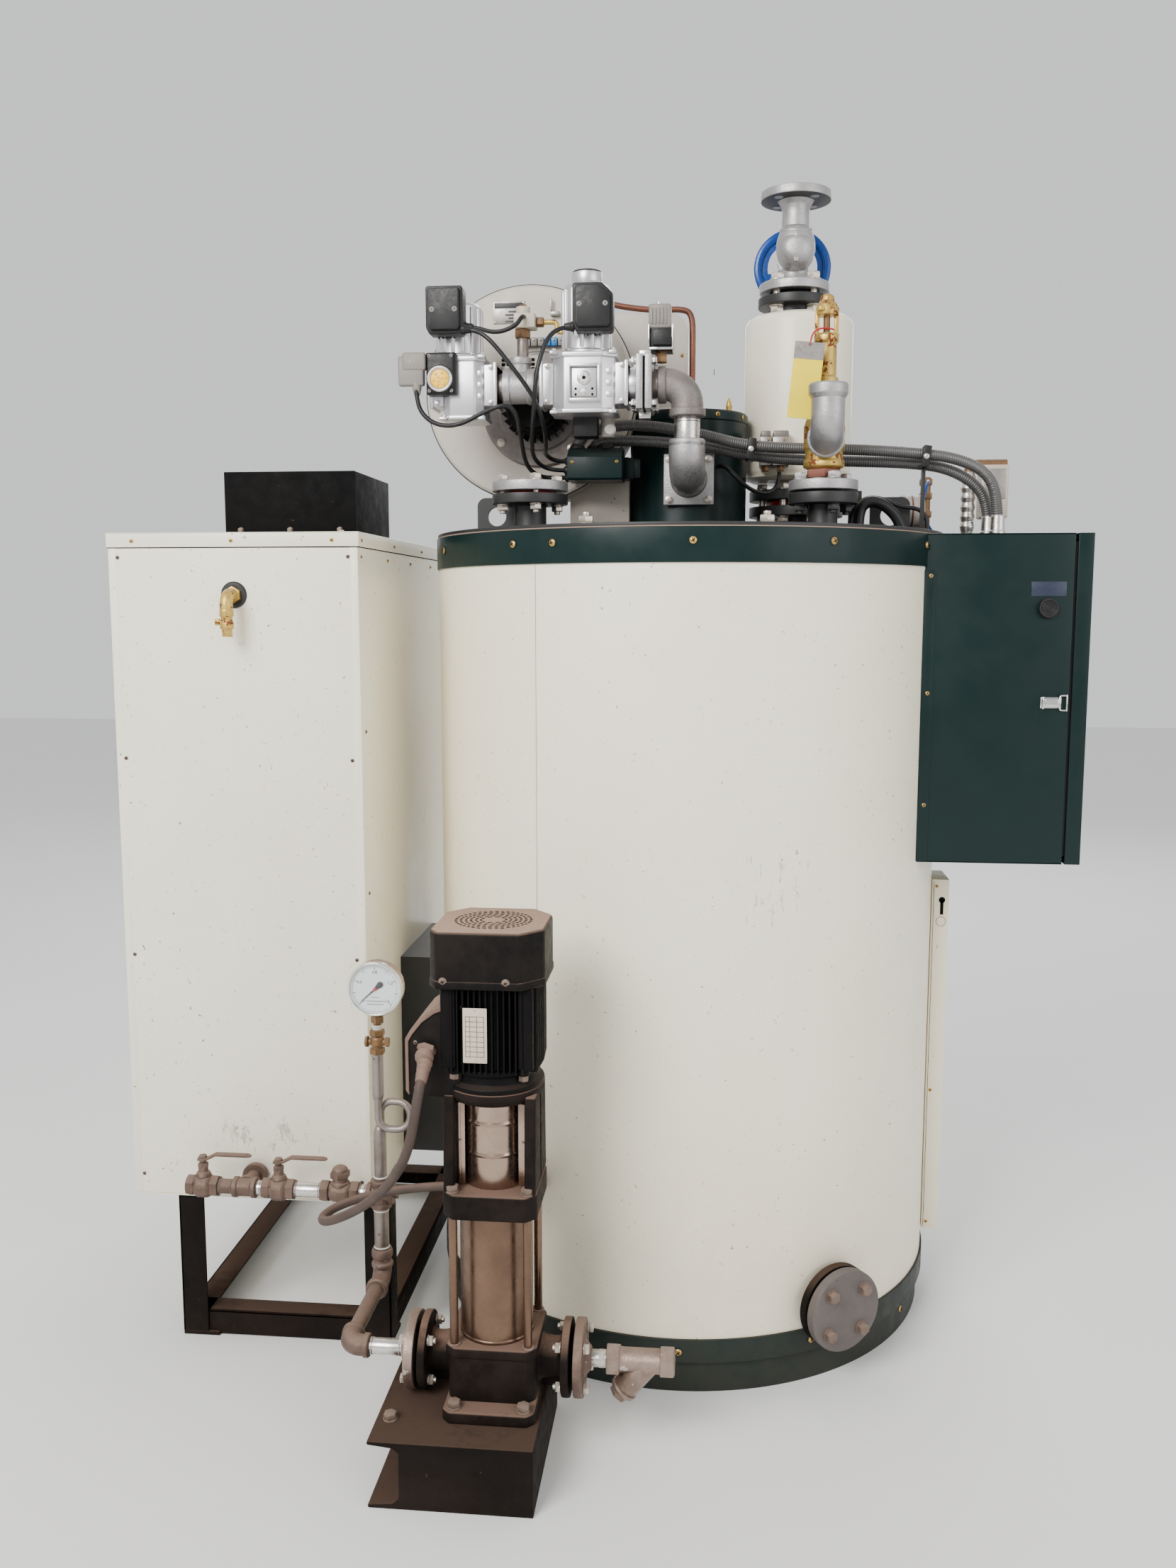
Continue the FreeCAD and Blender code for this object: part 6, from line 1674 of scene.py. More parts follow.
@dataclass
class GasTrain:
    """The two gas valves in line, the tee between them and the pipe down to the barrel."""

    y: float = -263.0
    z: float = 1804.0
    depth: float = 46.0

    def body(self, piece: Piece, left: float, right: float, low: float, high: float) -> None:
        """A cast valve body: flanked block, square hubs and bolted top and bottom plates.

        Args:
            piece: the piece it joins.
            left: its left end.
            right: its right end.
            low: its lowest height.
            high: its highest height.
        """
        y, z, depth = self.y, self.z, self.depth
        for start, end in ((left, left + 25), (right - 25, right)):
            outer = (start, start + 7) if start == left else (end - 7, end)
            piece.block((start, y - 31, z - 37), (end, y + 31, z + 37), CAST, 3.0, 3)
            piece.block((outer[0], y - 34, z - 40), (outer[1], y + 34, z + 40), CAST, 2.0)
            for height in (z - 31, z + 31):
                piece.bolt(((start + end) / 2 + 2, y - 31, height), Way.FRONT, 8, BRIGHT)
        inside, outside = left + 24, right - 24
        flank = (outside - inside) * 0.2
        plan = [(inside, y - depth + 20), (inside + flank, y - depth + 4),
                (outside - flank, y - depth + 4), (outside, y - depth + 20),
                (outside, y + depth - 14), (outside - flank, y + depth),
                (inside + flank, y + depth), (inside, y + depth - 14)]
        piece.prism(plan, high - low - 14, upright(low + 6, Way.UP), CAST, 2.4, 3)
        middle = (inside + outside) / 2
        for bottom, top in ((low, low + 8), (high - 9, high)):
            wide = [(middle + (u - middle) * 1.08, y + (v - y) * 1.06) for u, v in plan]
            piece.prism(wide, top - bottom, upright(bottom, Way.UP), CAST, 1.8, 3)
        for side in (-1, 1):
            for height in (low - 1, high - 4.5):
                x = middle + side * (outside - inside) * 0.47
                piece.block((x - 7, y - depth + 1, height), (x + 7, y - depth + 16, height + 6),
                            CAST, 1.6)
                piece.bolt((x, y - depth + 8, height + 6), Way.UP, 7, BRIGHT)
        for step in range(3):
            height = z - 20 + step * 20
            piece.block((outside - flank * 0.75, y - depth + 9, height - 5),
                        (outside - flank * 0.2, y - depth + 13, height + 5), CAST, 1.4)

    def coil(self, piece: Piece, x: float, base: float, top: float, radius: float) -> None:
        """A smooth coil tower of drawn metal with shallow upright flutes.

        Args:
            piece: the piece it joins.
            x: its axis.
            base: the height of its foot.
            top: its highest height.
            radius: its radius.
        """
        at = (x, self.y + 8, 0)
        piece.lathe([(0, base), (radius + 3, base), (radius + 3, base + 5), (radius, base + 7),
                     (radius, top - 6), (radius - 5, top), (0, top)], at, Way.UP, CAST, 64, 1.4)
        for spot in circle_of((x, self.y + 8, base + 9), Way.UP, radius - 0.6, 14, 6):
            piece.rod(spot, Way.UP, 4.2, top - base - 18, CAST, 12, 1.2)
        for spot in circle_of((x, self.y + 8, base + 5), Way.UP, radius + 0.5, 4, 45):
            piece.bolt(spot, Way.UP, 6, BRIGHT)

    def cover(self, piece: Piece, left: float, right: float, chamfer: bool) -> None:
        """A black terminal cover with two grey screws and its cable gland.

        Args:
            piece: the piece it joins.
            left: its left side.
            right: its right side.
            chamfer: whether its upper right corner is cut off.
        """
        low, high, front, back = 1888.0, 1971.0, -337.0, -293.0
        cut, z = (20, 1933) if chamfer else (3, 1929)
        outline = [(left, low + 12), (left + 6, low), (right - 4, low), (right, low + 6),
                   (right, high - cut), (right - cut, high), (left + 3, high), (left, high - 3)]
        piece.prism(outline, back - front - 8, upright(back, Way.FRONT), PLASTIC_BLACK, 2.4, 3)
        inner = [(left + 5, low + 15), (left + 10, low + 6), (right - 8, low + 6),
                 (right - 5, low + 11), (right - 5, high - cut - 3), (right - cut - 4, high - 5),
                 (left + 8, high - 5), (left + 5, high - 8)]
        piece.prism(inner, 9, upright(front + 9, Way.FRONT), PLASTIC_BLACK, 2.2, 3)
        for spot in ((left + 13, z), (right - 13, z)):
            piece.rod((spot[0], front + 0.4, spot[1]), Way.FRONT, 4.6, 1.0, PLASTIC_GREY, 20,
                      0.4)
            piece.screw((spot[0], front - 0.2, spot[1]), Way.FRONT, 3.0, PLATE_GREY)
        for rib in range(5):
            piece.block((left + 16 + rib * 7, back - 6, low - 2), (left + 19 + rib * 7,
                                                                   back - 1, low + 2),
                        PLASTIC_BLACK, 0.6)

    def inlet_valve(self) -> None:
        """The left valve with its lamp, its plug and its coil."""
        room = Room.of("gas_inlet_valve")
        piece = Piece("inlet_valve")
        left, right = -462.0, -338.0
        self.body(piece, left, right, room.low, 1854)
        self.coil(piece, -413, 1854, 1952, 40)
        self.cover(piece, -460, -393, False)
        piece.block((-462, -322, 1784), (-408, -290, 1858), PLASTIC_BLACK, 3.0, 3)
        piece.block((-459, -328, 1787), (-411, -321, 1855), PLASTIC_BLACK, 2.4, 3)
        lamp = (-435, -328, 1810)
        piece.lathe([(0, 0), (25, 0), (25, 3), (22, 4), (0, 4)], lamp, Way.FRONT,
                    PLASTIC_BLACK, 32, 0.6)
        piece.lathe([(17, 3.5), (23, 3.5), (23, 7), (20.5, 8.5), (17, 7), (17, 3.5)], lamp,
                    Way.FRONT, BRIGHT, 40, 0.8)
        piece.lathe([(0, 3), (17.4, 3), (16, 6), (9, 7.4), (0, 7.8)], lamp, Way.FRONT, YELLOW,
                    28, 0.4)
        for count, reach in ((6, 11), (3, 4)):
            for spot in circle_of((-435, -335, 1810), Way.FRONT, reach, count, 10):
                piece.rod(spot, Way.FRONT, 3.4, 2.6, YELLOW, 8, 0.8, 2.4)
        for spot in ((-455, 1851), (-415, 1851), (-455, 1790), (-415, 1790)):
            piece.screw((spot[0], -328, spot[1]), Way.FRONT, 3.2, PLATE_GREY)
        piece.block((-513, -326, 1800), (-466, -309, 1852), PLASTIC_GREY, 4.0, 3)
        piece.block((-505, -328, 1826), (-462, -311, 1858), PLASTIC_GREY, 4.5, 3)
        piece.screw((-492, -328, 1842), Way.FRONT, 3.2, BRIGHT)
        piece.lathe([(0, 0), (9, 0), (8, 12), (5, 22), (0, 22)], (-480, -318, 1805), Way.DOWN,
                    PLASTIC_GREY, 20, 0.8)
        piece.lathe(washer(17, 31, -0.5, 5), (left, self.y, self.z), Way.RIGHT, CAST, 36, 0.6)
        piece.done("cast_aluminium", "gas_inlet_valve")
        dome = Piece("lamp_dome")
        dome.lathe([(22, 3.4), (21.5, 7.2), (17, 10.4), (9, 11.8), (0, 12)], lamp, Way.FRONT,
                   Glass("lamp_cover"), 36, 1.0)
        dome.done("gauge_face")

    def main_valve(self) -> None:
        """The right valve with its window, its tall coil and the small box under it."""
        piece = Piece("main_valve")
        left, right = -261.0, -100.0
        self.body(piece, left, right, 1751, 1858)
        self.coil(piece, -178, 1858, 1980, 43)
        piece.lathe([(0, 0), (36, 0), (30, 5), (0, 5)], (-178, self.y + 8, 1980), Way.UP, CAST,
                    48, 1.4)
        piece.rod((-178, self.y + 8, 1984), Way.UP, 28, 19, CAST, 12, 1.6)
        piece.lathe([(0, 0), (26, 0), (26, 3), (22, 4.5), (0, 4.5)], (-178, self.y + 8, 2002.4),
                    Way.UP, PLASTIC_BLACK, 40, 0.8)
        self.cover(piece, -197, -125, True)
        for start, end, bottom, top in ((-208, -202, 1770, 1836), (-154, -148, 1770, 1836),
                                        (-206, -150, 1770, 1776), (-206, -150, 1830, 1836)):
            piece.block((start, -315, bottom), (end, -303, top), CAST, 1.6)
        piece.block((-204, -309, 1774), (-152, -304, 1832), PLATE_GREY, 1.0)
        piece.block((-200, -311.4, 1779), (-156, -308, 1828), CAST, 1.6)
        piece.lathe([(0, 0), (12.5, 0), (12.5, 2.4), (9.5, 3.4), (0, 3.4)], (-178, -311, 1811),
                    Way.FRONT, BRIGHT, 28, 0.5)
        piece.lathe([(0, 0), (6.4, 0), (6.4, 1), (5.4, 1.6), (0, 1.6)], (-178, -311.2, 1787),
                    Way.FRONT, BRIGHT, 24, 0.3)
        for dx, height in ((-15, 1792), (-15, 1782), (15, 1792), (15, 1782)):
            piece.rod((-178 + dx, -311.2, height), Way.FRONT, 2.2, 0.6, SEAM_SHADOW, 12, 0.0)
        piece.rod((-178, -314.2, 1811), Way.FRONT, 3.6, 0.4, SEAM_SHADOW, 6, 0.0)
        piece.block((-205, -252, 1716), (-160, -206, 1752), PLASTIC_BLACK, 3.0)
        piece.lathe([(0, 0), (11, 0), (11, 10), (8, 14), (0, 14)], (-138, -229, 1730),
                    Way.FRONT, TAPE_WHITE, 28, 1.0)
        piece.rod((-142, -229, 1716), Way.UP, 13, 36, PLASTIC_GREY, 20, 1.6)
        piece.done("cast_aluminium", "gas_main_valve")

    def pipes(self) -> None:
        """The tee, pilot branch, flange pair, elbows and square entry plate."""
        y, z = self.y, self.z
        piece = Piece("gas_pipework")
        piece.rod((-340, y, z), Way.RIGHT, 24, 82, GALVANISED, 32, 0.8)
        piece.lathe([(0, 0), (31, 0), (32, 3), (32, 13), (30, 15), (30, 44), (32, 46), (32, 56),
                     (31, 59), (0, 59)], (-330, y, z), Way.RIGHT, SILVER, 40, 1.2)
        piece.lathe([(0, 0), (20, 0), (19, 38), (21, 40), (21, 50), (19, 52), (0, 52)],
                    (-300, y, z), Way.UP, SILVER, 32, 1.2)
        piece.rod((-295, y, z + 52), Way.UP, 10.6, 36, GALVANISED, 24, 0.6)
        piece.rod((-295, y, z + 86), Way.UP, 15, 15, DULL_BRASS, 6, 1.2)
        piece.block((-309, y - 19, 1906), (-270, y + 19, 1932), SOLENOID_CREAM, 2.6)
        piece.rod((-294, y, 1930), Way.UP, 13, 15, SOLENOID_CREAM, 24, 1.4)
        piece.rod((-294, y, 1944), Way.UP, 7, 5, DULL_BRASS, 6, 0.6)
        piece.rod((-270, y, 1918), Way.RIGHT, 9, 14, DULL_BRASS, 6, 1.0)
        piece.pipe([(-260, y, 1918), (-232, y, 1918), (-232, y, 1900), (-222, y, 1900)], 4.5,
                   BRASS, 7, 12)
        for left, right in ((-86, -73), (-70, -57)):
            piece.block((left, y - 48, z - 48), (right, y + 48, z + 48), SILVER, 3.0)
            piece.rod((left, y, z), Way.RIGHT, 38, right - left, SILVER, 40, 1.2)
        piece.block((-73.5, y - 44, z - 44), (-69.5, y + 44, z + 44), SEAM_SHADOW, 0.6)
        for dy in (-37, 37):
            for dz in (-37, 37):
                piece.bolt((-57, y + dy, z + dz), Way.RIGHT, 13, BRIGHT)
                piece.bolt((-86, y + dy, z + dz), Way.LEFT, 13, BRIGHT, Ending.NUT)
        for dz in (-54, 54):
            piece.block((-82, y - 10, z + dz - 6), (-61, y + 10, z + dz + 6), BRIGHT, 1.5)
        piece.rod((-100, y, z), Way.RIGHT, 30, 16, CAST, 36, 1.4)
        piece.rod((-57, y, z), Way.RIGHT, 24, 24, GALVANISED, 32, 0.6)
        piece.pipe([(-48, y, z), (5, y, z), (5, y, z - 52)], 29, DULL_PIPE, 37, 32)
        piece.lathe([(0, 0), (31, 0), (33, 2), (33, 13), (31, 15), (0, 15)], (-48, y, z),
                    Way.RIGHT, DULL_PIPE, 36, 1.0)
        piece.lathe([(0, 0), (31, 0), (33, 2), (33, 13), (31, 15), (0, 15)], (5, y, z - 58),
                    Way.UP, DULL_PIPE, 36, 1.0)
        piece.rod((5, y, 1688), Way.UP, 23.4, 60, BRIGHT, 32, 0.6)
        for height in (1692, 1696, 1738, 1742):
            piece.ring((5, y, height), Way.UP, 23.4, 0.9, BRIGHT, 32, 6)
        piece.pipe([(5, y, 1700), (5, y, 1649), (5, -170, 1649)], 33, SILVER, 39, 36)
        piece.lathe([(0, 0), (31, 0), (33, 2), (33, 13), (31, 15), (0, 15)], (5, y, 1692),
                    Way.UP, SILVER, 36, 1.0)
        piece.lathe([(0, 0), (31, 0), (33, 2), (33, 13), (31, 15), (0, 15)], (5, -206, 1649),
                    Way.BACK, SILVER, 36, 1.0)
        piece.rod((5, -192, 1649), Way.BACK, 24, 60, SILVER, 28, 0.6)
        piece.block((-43.5, -130, 1600.5), (53.5, -120, 1697.5), SILVER, 2.5)
        piece.lathe([(0, 0), (36, 0), (33, 6), (30, 8), (0, 8)], (5, -130, 1649), Way.FRONT,
                    SILVER, 36, 1.2)
        for dx in (-38, 38):
            for dz in (-38, 38):
                piece.bolt((5 + dx, -130, 1649 + dz), Way.FRONT, 12, ZINC_BOLT)
        piece.rod((52, y - 2, z + 20), Way.RIGHT, 5, 1, SEAM_SHADOW, 6, 0.0)
        piece.done("silver_coating", "gas_pipes")

    def switch(self) -> None:
        """The gas pressure switch in its bright frame, with a ribbed grey plug."""
        room = Room.of("pressure_switch")
        left, right, front, back = room.left, room.right, room.front, room.back
        piece = Piece("gas_pressure_switch")
        piece.block((left + 3, front + 8, room.low), (right - 1, back, room.low + 40),
                    PLASTIC_BLACK, 2.4)
        piece.block((left + 8, front + 2, room.low + 8), (right - 4, front + 10,
                                                          room.low + 36), PLASTIC_BLACK, 1.8)
        piece.block((left, front + 10, room.low + 38), (right - 6, back - 6, room.high - 5),
                    PLASTIC_GREY, 3.4, 3)
        for rib in range(5):
            piece.block((left + 4 + rib * 6.4, front + 7.6, room.low + 46),
                        (left + 7 + rib * 6.4, front + 11, room.high - 12), PLASTIC_GREY, 0.8)
        piece.rod((left + 18, front + 22, room.high - 6), Way.UP, 6, 5, BRIGHT, 14, 0.6)
        for x in (left + 1, right - 2.5):
            piece.block((x - 1, front, room.low - 0.5), (x + 1, back, room.low + 44), CHROME,
                        0.5)
        piece.block((left, front + 1, room.low), (right - 1.5, front + 3, room.low + 4),
                    CHROME, 0.5)
        piece.rod((left + 22, (front + back) / 2, 1846), Way.UP, 12, 21, DULL_BRASS, 6, 1.0)
        piece.done("black_plastic", "pressure_switch")

    def build(self) -> None:
        """Make the gas train."""
        self.inlet_valve()
        self.main_valve()
        self.pipes()
        self.switch()


@dataclass
class Wiring:
    """The junction box and the conduits, leads and copper line that the set holds."""

    conduit: float = 0.0105
    wire: float = 0.004
    copper: float = 0.006
    rib: float = 0.0042

    def box(self) -> None:
        """The green junction box with a slanted lid and its arm to the barrel."""
        room = Room.of("junction_box")
        piece = Piece("junction_box_shell")
        low, high, right = room.low, room.high, -118.0
        outline = [(-202 + 3, low), (-128, low), (-128, high), (-176, high), (-202, high - 18),
                   (-202, low + 3)]
        piece.prism(outline, right - room.left, upright(room.left, Way.RIGHT), GREEN, 1.4)
        piece.block((right - 2, -136, 1650), (-100, -92, 1690), GREEN, 1.2)
        piece.block((-104, -132, 1652), (-88, -94, 1688), GREEN, 1.0)
        for x in (-206, -177, -150):
            piece.lathe([(0, 0), (14, 0), (15, 3), (12, 8), (10.6, 10), (0, 10)],
                        (x, -165 if x != -177 else -140, high - 1), Way.UP, PLASTIC_BLACK, 24,
                        0.8)
        for spot in ((-222, -172, 1680), (-222, -189, 1662), (-222, -172, 1650)):
            piece.lathe([(0, 0), (9, 0), (8, 4), (5.5, 7), (0, 7)], spot, Way.LEFT,
                        PLASTIC_BLACK, 20, 0.6)
        for x in (-212, -128):
            piece.screw((x, -202.2, 1676), Way.FRONT, 3.4, BRASS_SCREW)
        piece.done("green_paint", "junction_box")

    def conduits(self) -> None:
        """The two ribbed grey hoses with their ferrules and black clamps."""
        upper = Strand("upper_hose", (
            (-0.206, -0.165, 1.7043), (-0.206, -0.165, 1.721), (-0.176, -0.165, 1.738),
            (-0.118, -0.166, 1.748), (-0.050, -0.168, 1.743), (0.034, -0.169, 1.727),
            (0.110, -0.168, 1.706), (0.210, -0.164, 1.700), (0.320, -0.163, 1.697),
            (0.420, -0.164, 1.690), (0.500, -0.165, 1.680), (0.560, -0.165, 1.652),
            (0.579, -0.165, 1.598), (0.579, -0.165, 1.5383)), self.conduit)
        lower = Strand("lower_hose", (
            (-0.177, -0.140, 1.7043), (-0.177, -0.140, 1.716), (-0.150, -0.140, 1.722),
            (-0.092, -0.140, 1.721), (-0.026, -0.140, 1.716), (0.040, -0.141, 1.709),
            (0.110, -0.140, 1.692), (0.200, -0.138, 1.682), (0.320, -0.138, 1.678),
            (0.420, -0.138, 1.674), (0.490, -0.139, 1.664), (0.545, -0.140, 1.632),
            (0.566, -0.140, 1.590), (0.567, -0.140, 1.5383)), self.conduit)
        piece = Piece("ribbed_hoses")
        upper.ribbed(piece, CONDUIT, self.rib, 0.0009)
        lower.ribbed(piece, CONDUIT, self.rib, 0.0009)
        for strand in (upper, lower):
            x, y, z = (value / MM for value in strand.points[-1])
            piece.lathe([(0, 0), (15, 0), (15, 7), (13.5, 9), (12.6, 34), (11.4, 37), (0, 37)],
                        (x, y, z), Way.UP, BRIGHT, 28, 0.8)
        for x, y, z, lean in ((122, -154, 1697, 0.16), (444, -151, 1680, 0.15)):
            place = Matrix.Translation((x, y, z)) @ Matrix.Rotation(lean, 4, "Y")
            piece.block((-7, -27, -17), (7, 27, -14), PLASTIC_BLACK, 1.0, 2, place)
            piece.block((-7, -27, 19), (7, 27, 22), PLASTIC_BLACK, 1.0, 2, place)
            piece.block((-7, -28, -17), (7, -25, 22), PLASTIC_BLACK, 1.0, 2, place)
            piece.block((-7, 25, -17), (7, 28, 22), PLASTIC_BLACK, 1.0, 2, place)
            piece.bolt(place @ Vector((0, -28, 2)), Way.FRONT, 8, BRIGHT)
        piece.block((439, -154, 1545.9), (447, -148, 1668), BLACK, 1.0)
        piece.done("grey_plastic", "flexible_conduits")

    def strand(self, name: str, points: Sequence[Sequence[float]], radius: float,
               finish: Finish, slot: str, *nodes: str) -> None:
        """Lay one held line.

        Args:
            name: its name.
            points: its points, in metres.
            radius: its radius, in metres.
            finish: its finish.
            slot: not used.
            nodes: the CAD nodes it stands for.
        """
        made = Strand(name, points, radius).curve(finish)
        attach(made, "boiler")
        if nodes:
            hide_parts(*nodes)
        LOG.info("%s: held along its length, rides on boiler", name)

    def build(self) -> None:
        """Make the box, the hoses, the copper line and the six black leads."""
        self.box()
        self.conduits()
        self.strand("copper_tube", (
            (-0.184, -0.030, 1.9866), (-0.184, -0.030, 1.999), (-0.162, -0.030, 2.001),
            (-0.130, -0.030, 1.992), (-0.066, -0.030, 1.984), (-0.010, -0.030, 1.986),
            (0.006, -0.030, 1.974), (0.008, -0.030, 1.930), (0.007, -0.030, 1.7843)),
            self.copper, COPPER, "copper", "copper_line")
        self.strand("roof_hose", (
            (0.322, -0.186, 1.5465), (0.322, -0.186, 1.580), (0.334, -0.186, 1.599),
            (0.358, -0.184, 1.600), (0.382, -0.180, 1.584), (0.398, -0.178, 1.564),
            (0.404, -0.177, 1.5465)), 0.0105, WIRE_BLACK, "black_plastic")
        nut = Piece("copper_unions")
        nut.rod((-184, -30, 1974), Way.UP, 11, 15, DULL_BRASS, 6, 1.0)
        nut.rod((7, -30, 1784), Way.UP, 11, 15, DULL_BRASS, 6, 1.0)
        nut.done("valve_brass")
        routes = (
            ((-0.3925, -0.322, 1.896), (-0.377, -0.322, 1.896), (-0.348, -0.332, 1.882),
             (-0.302, -0.332, 1.826), (-0.260, -0.328, 1.768), (-0.250, -0.296, 1.722),
             (-0.256, -0.240, 1.700), (-0.264, -0.200, 1.690), (-0.246, -0.172, 1.680),
             (-0.2225, -0.172, 1.680)),
            ((-0.1975, -0.322, 1.897), (-0.214, -0.322, 1.897), (-0.238, -0.334, 1.882),
             (-0.254, -0.346, 1.838), (-0.262, -0.347, 1.788), (-0.266, -0.334, 1.744),
             (-0.274, -0.300, 1.706), (-0.280, -0.250, 1.682), (-0.270, -0.208, 1.668),
             (-0.246, -0.189, 1.662), (-0.2225, -0.189, 1.662)),
            ((-0.480, -0.322, 1.7964), (-0.480, -0.322, 1.780), (-0.472, -0.324, 1.752),
             (-0.445, -0.326, 1.730), (-0.404, -0.326, 1.728), (-0.356, -0.327, 1.752),
             (-0.316, -0.327, 1.766), (-0.298, -0.316, 1.750), (-0.296, -0.290, 1.710),
             (-0.294, -0.238, 1.664), (-0.274, -0.190, 1.650), (-0.248, -0.172, 1.650),
             (-0.2225, -0.172, 1.650)),
            ((-0.290, -0.2825, 1.924), (-0.290, -0.296, 1.924), (-0.302, -0.302, 1.904),
             (-0.338, -0.302, 1.892), (-0.376, -0.302, 1.904), (-0.3925, -0.302, 1.904)),
            ((0.0632, -0.1012, 1.676), (0.072, -0.1153, 1.676), (0.092, -0.132, 1.656),
             (0.122, -0.124, 1.628), (0.156, -0.088, 1.622), (0.180, -0.052, 1.644),
             (0.180, -0.052, 1.6685)),
            ((0.308, -0.160, 1.5465), (0.308, -0.160, 1.576), (0.330, -0.164, 1.608),
             (0.364, -0.160, 1.610), (0.400, -0.154, 1.592), (0.436, -0.150, 1.590),
             (0.454, -0.148, 1.572), (0.454, -0.148, 1.5465)))
        for number, points in enumerate(routes, start=1):
            nodes = ("burner_leads",) if number == 1 else ()
            self.strand("burner_lead_%d" % number, points, self.wire, WIRE_BLACK,
                        "black_plastic", *nodes)
        ends = Piece("lead_glands")
        for at, way in (((-393, -322, 1896), Way.RIGHT), ((-197, -322, 1897), Way.LEFT),
                        ((-393, -302, 1904), Way.RIGHT)):
            ends.lathe([(0, -3), (9, -3), (9, 2), (7.4, 4), (6.4, 13), (4.6, 15), (0, 15)],
                       at, way, PLASTIC_BLACK, 20, 0.6)
        ends.done("black_plastic")


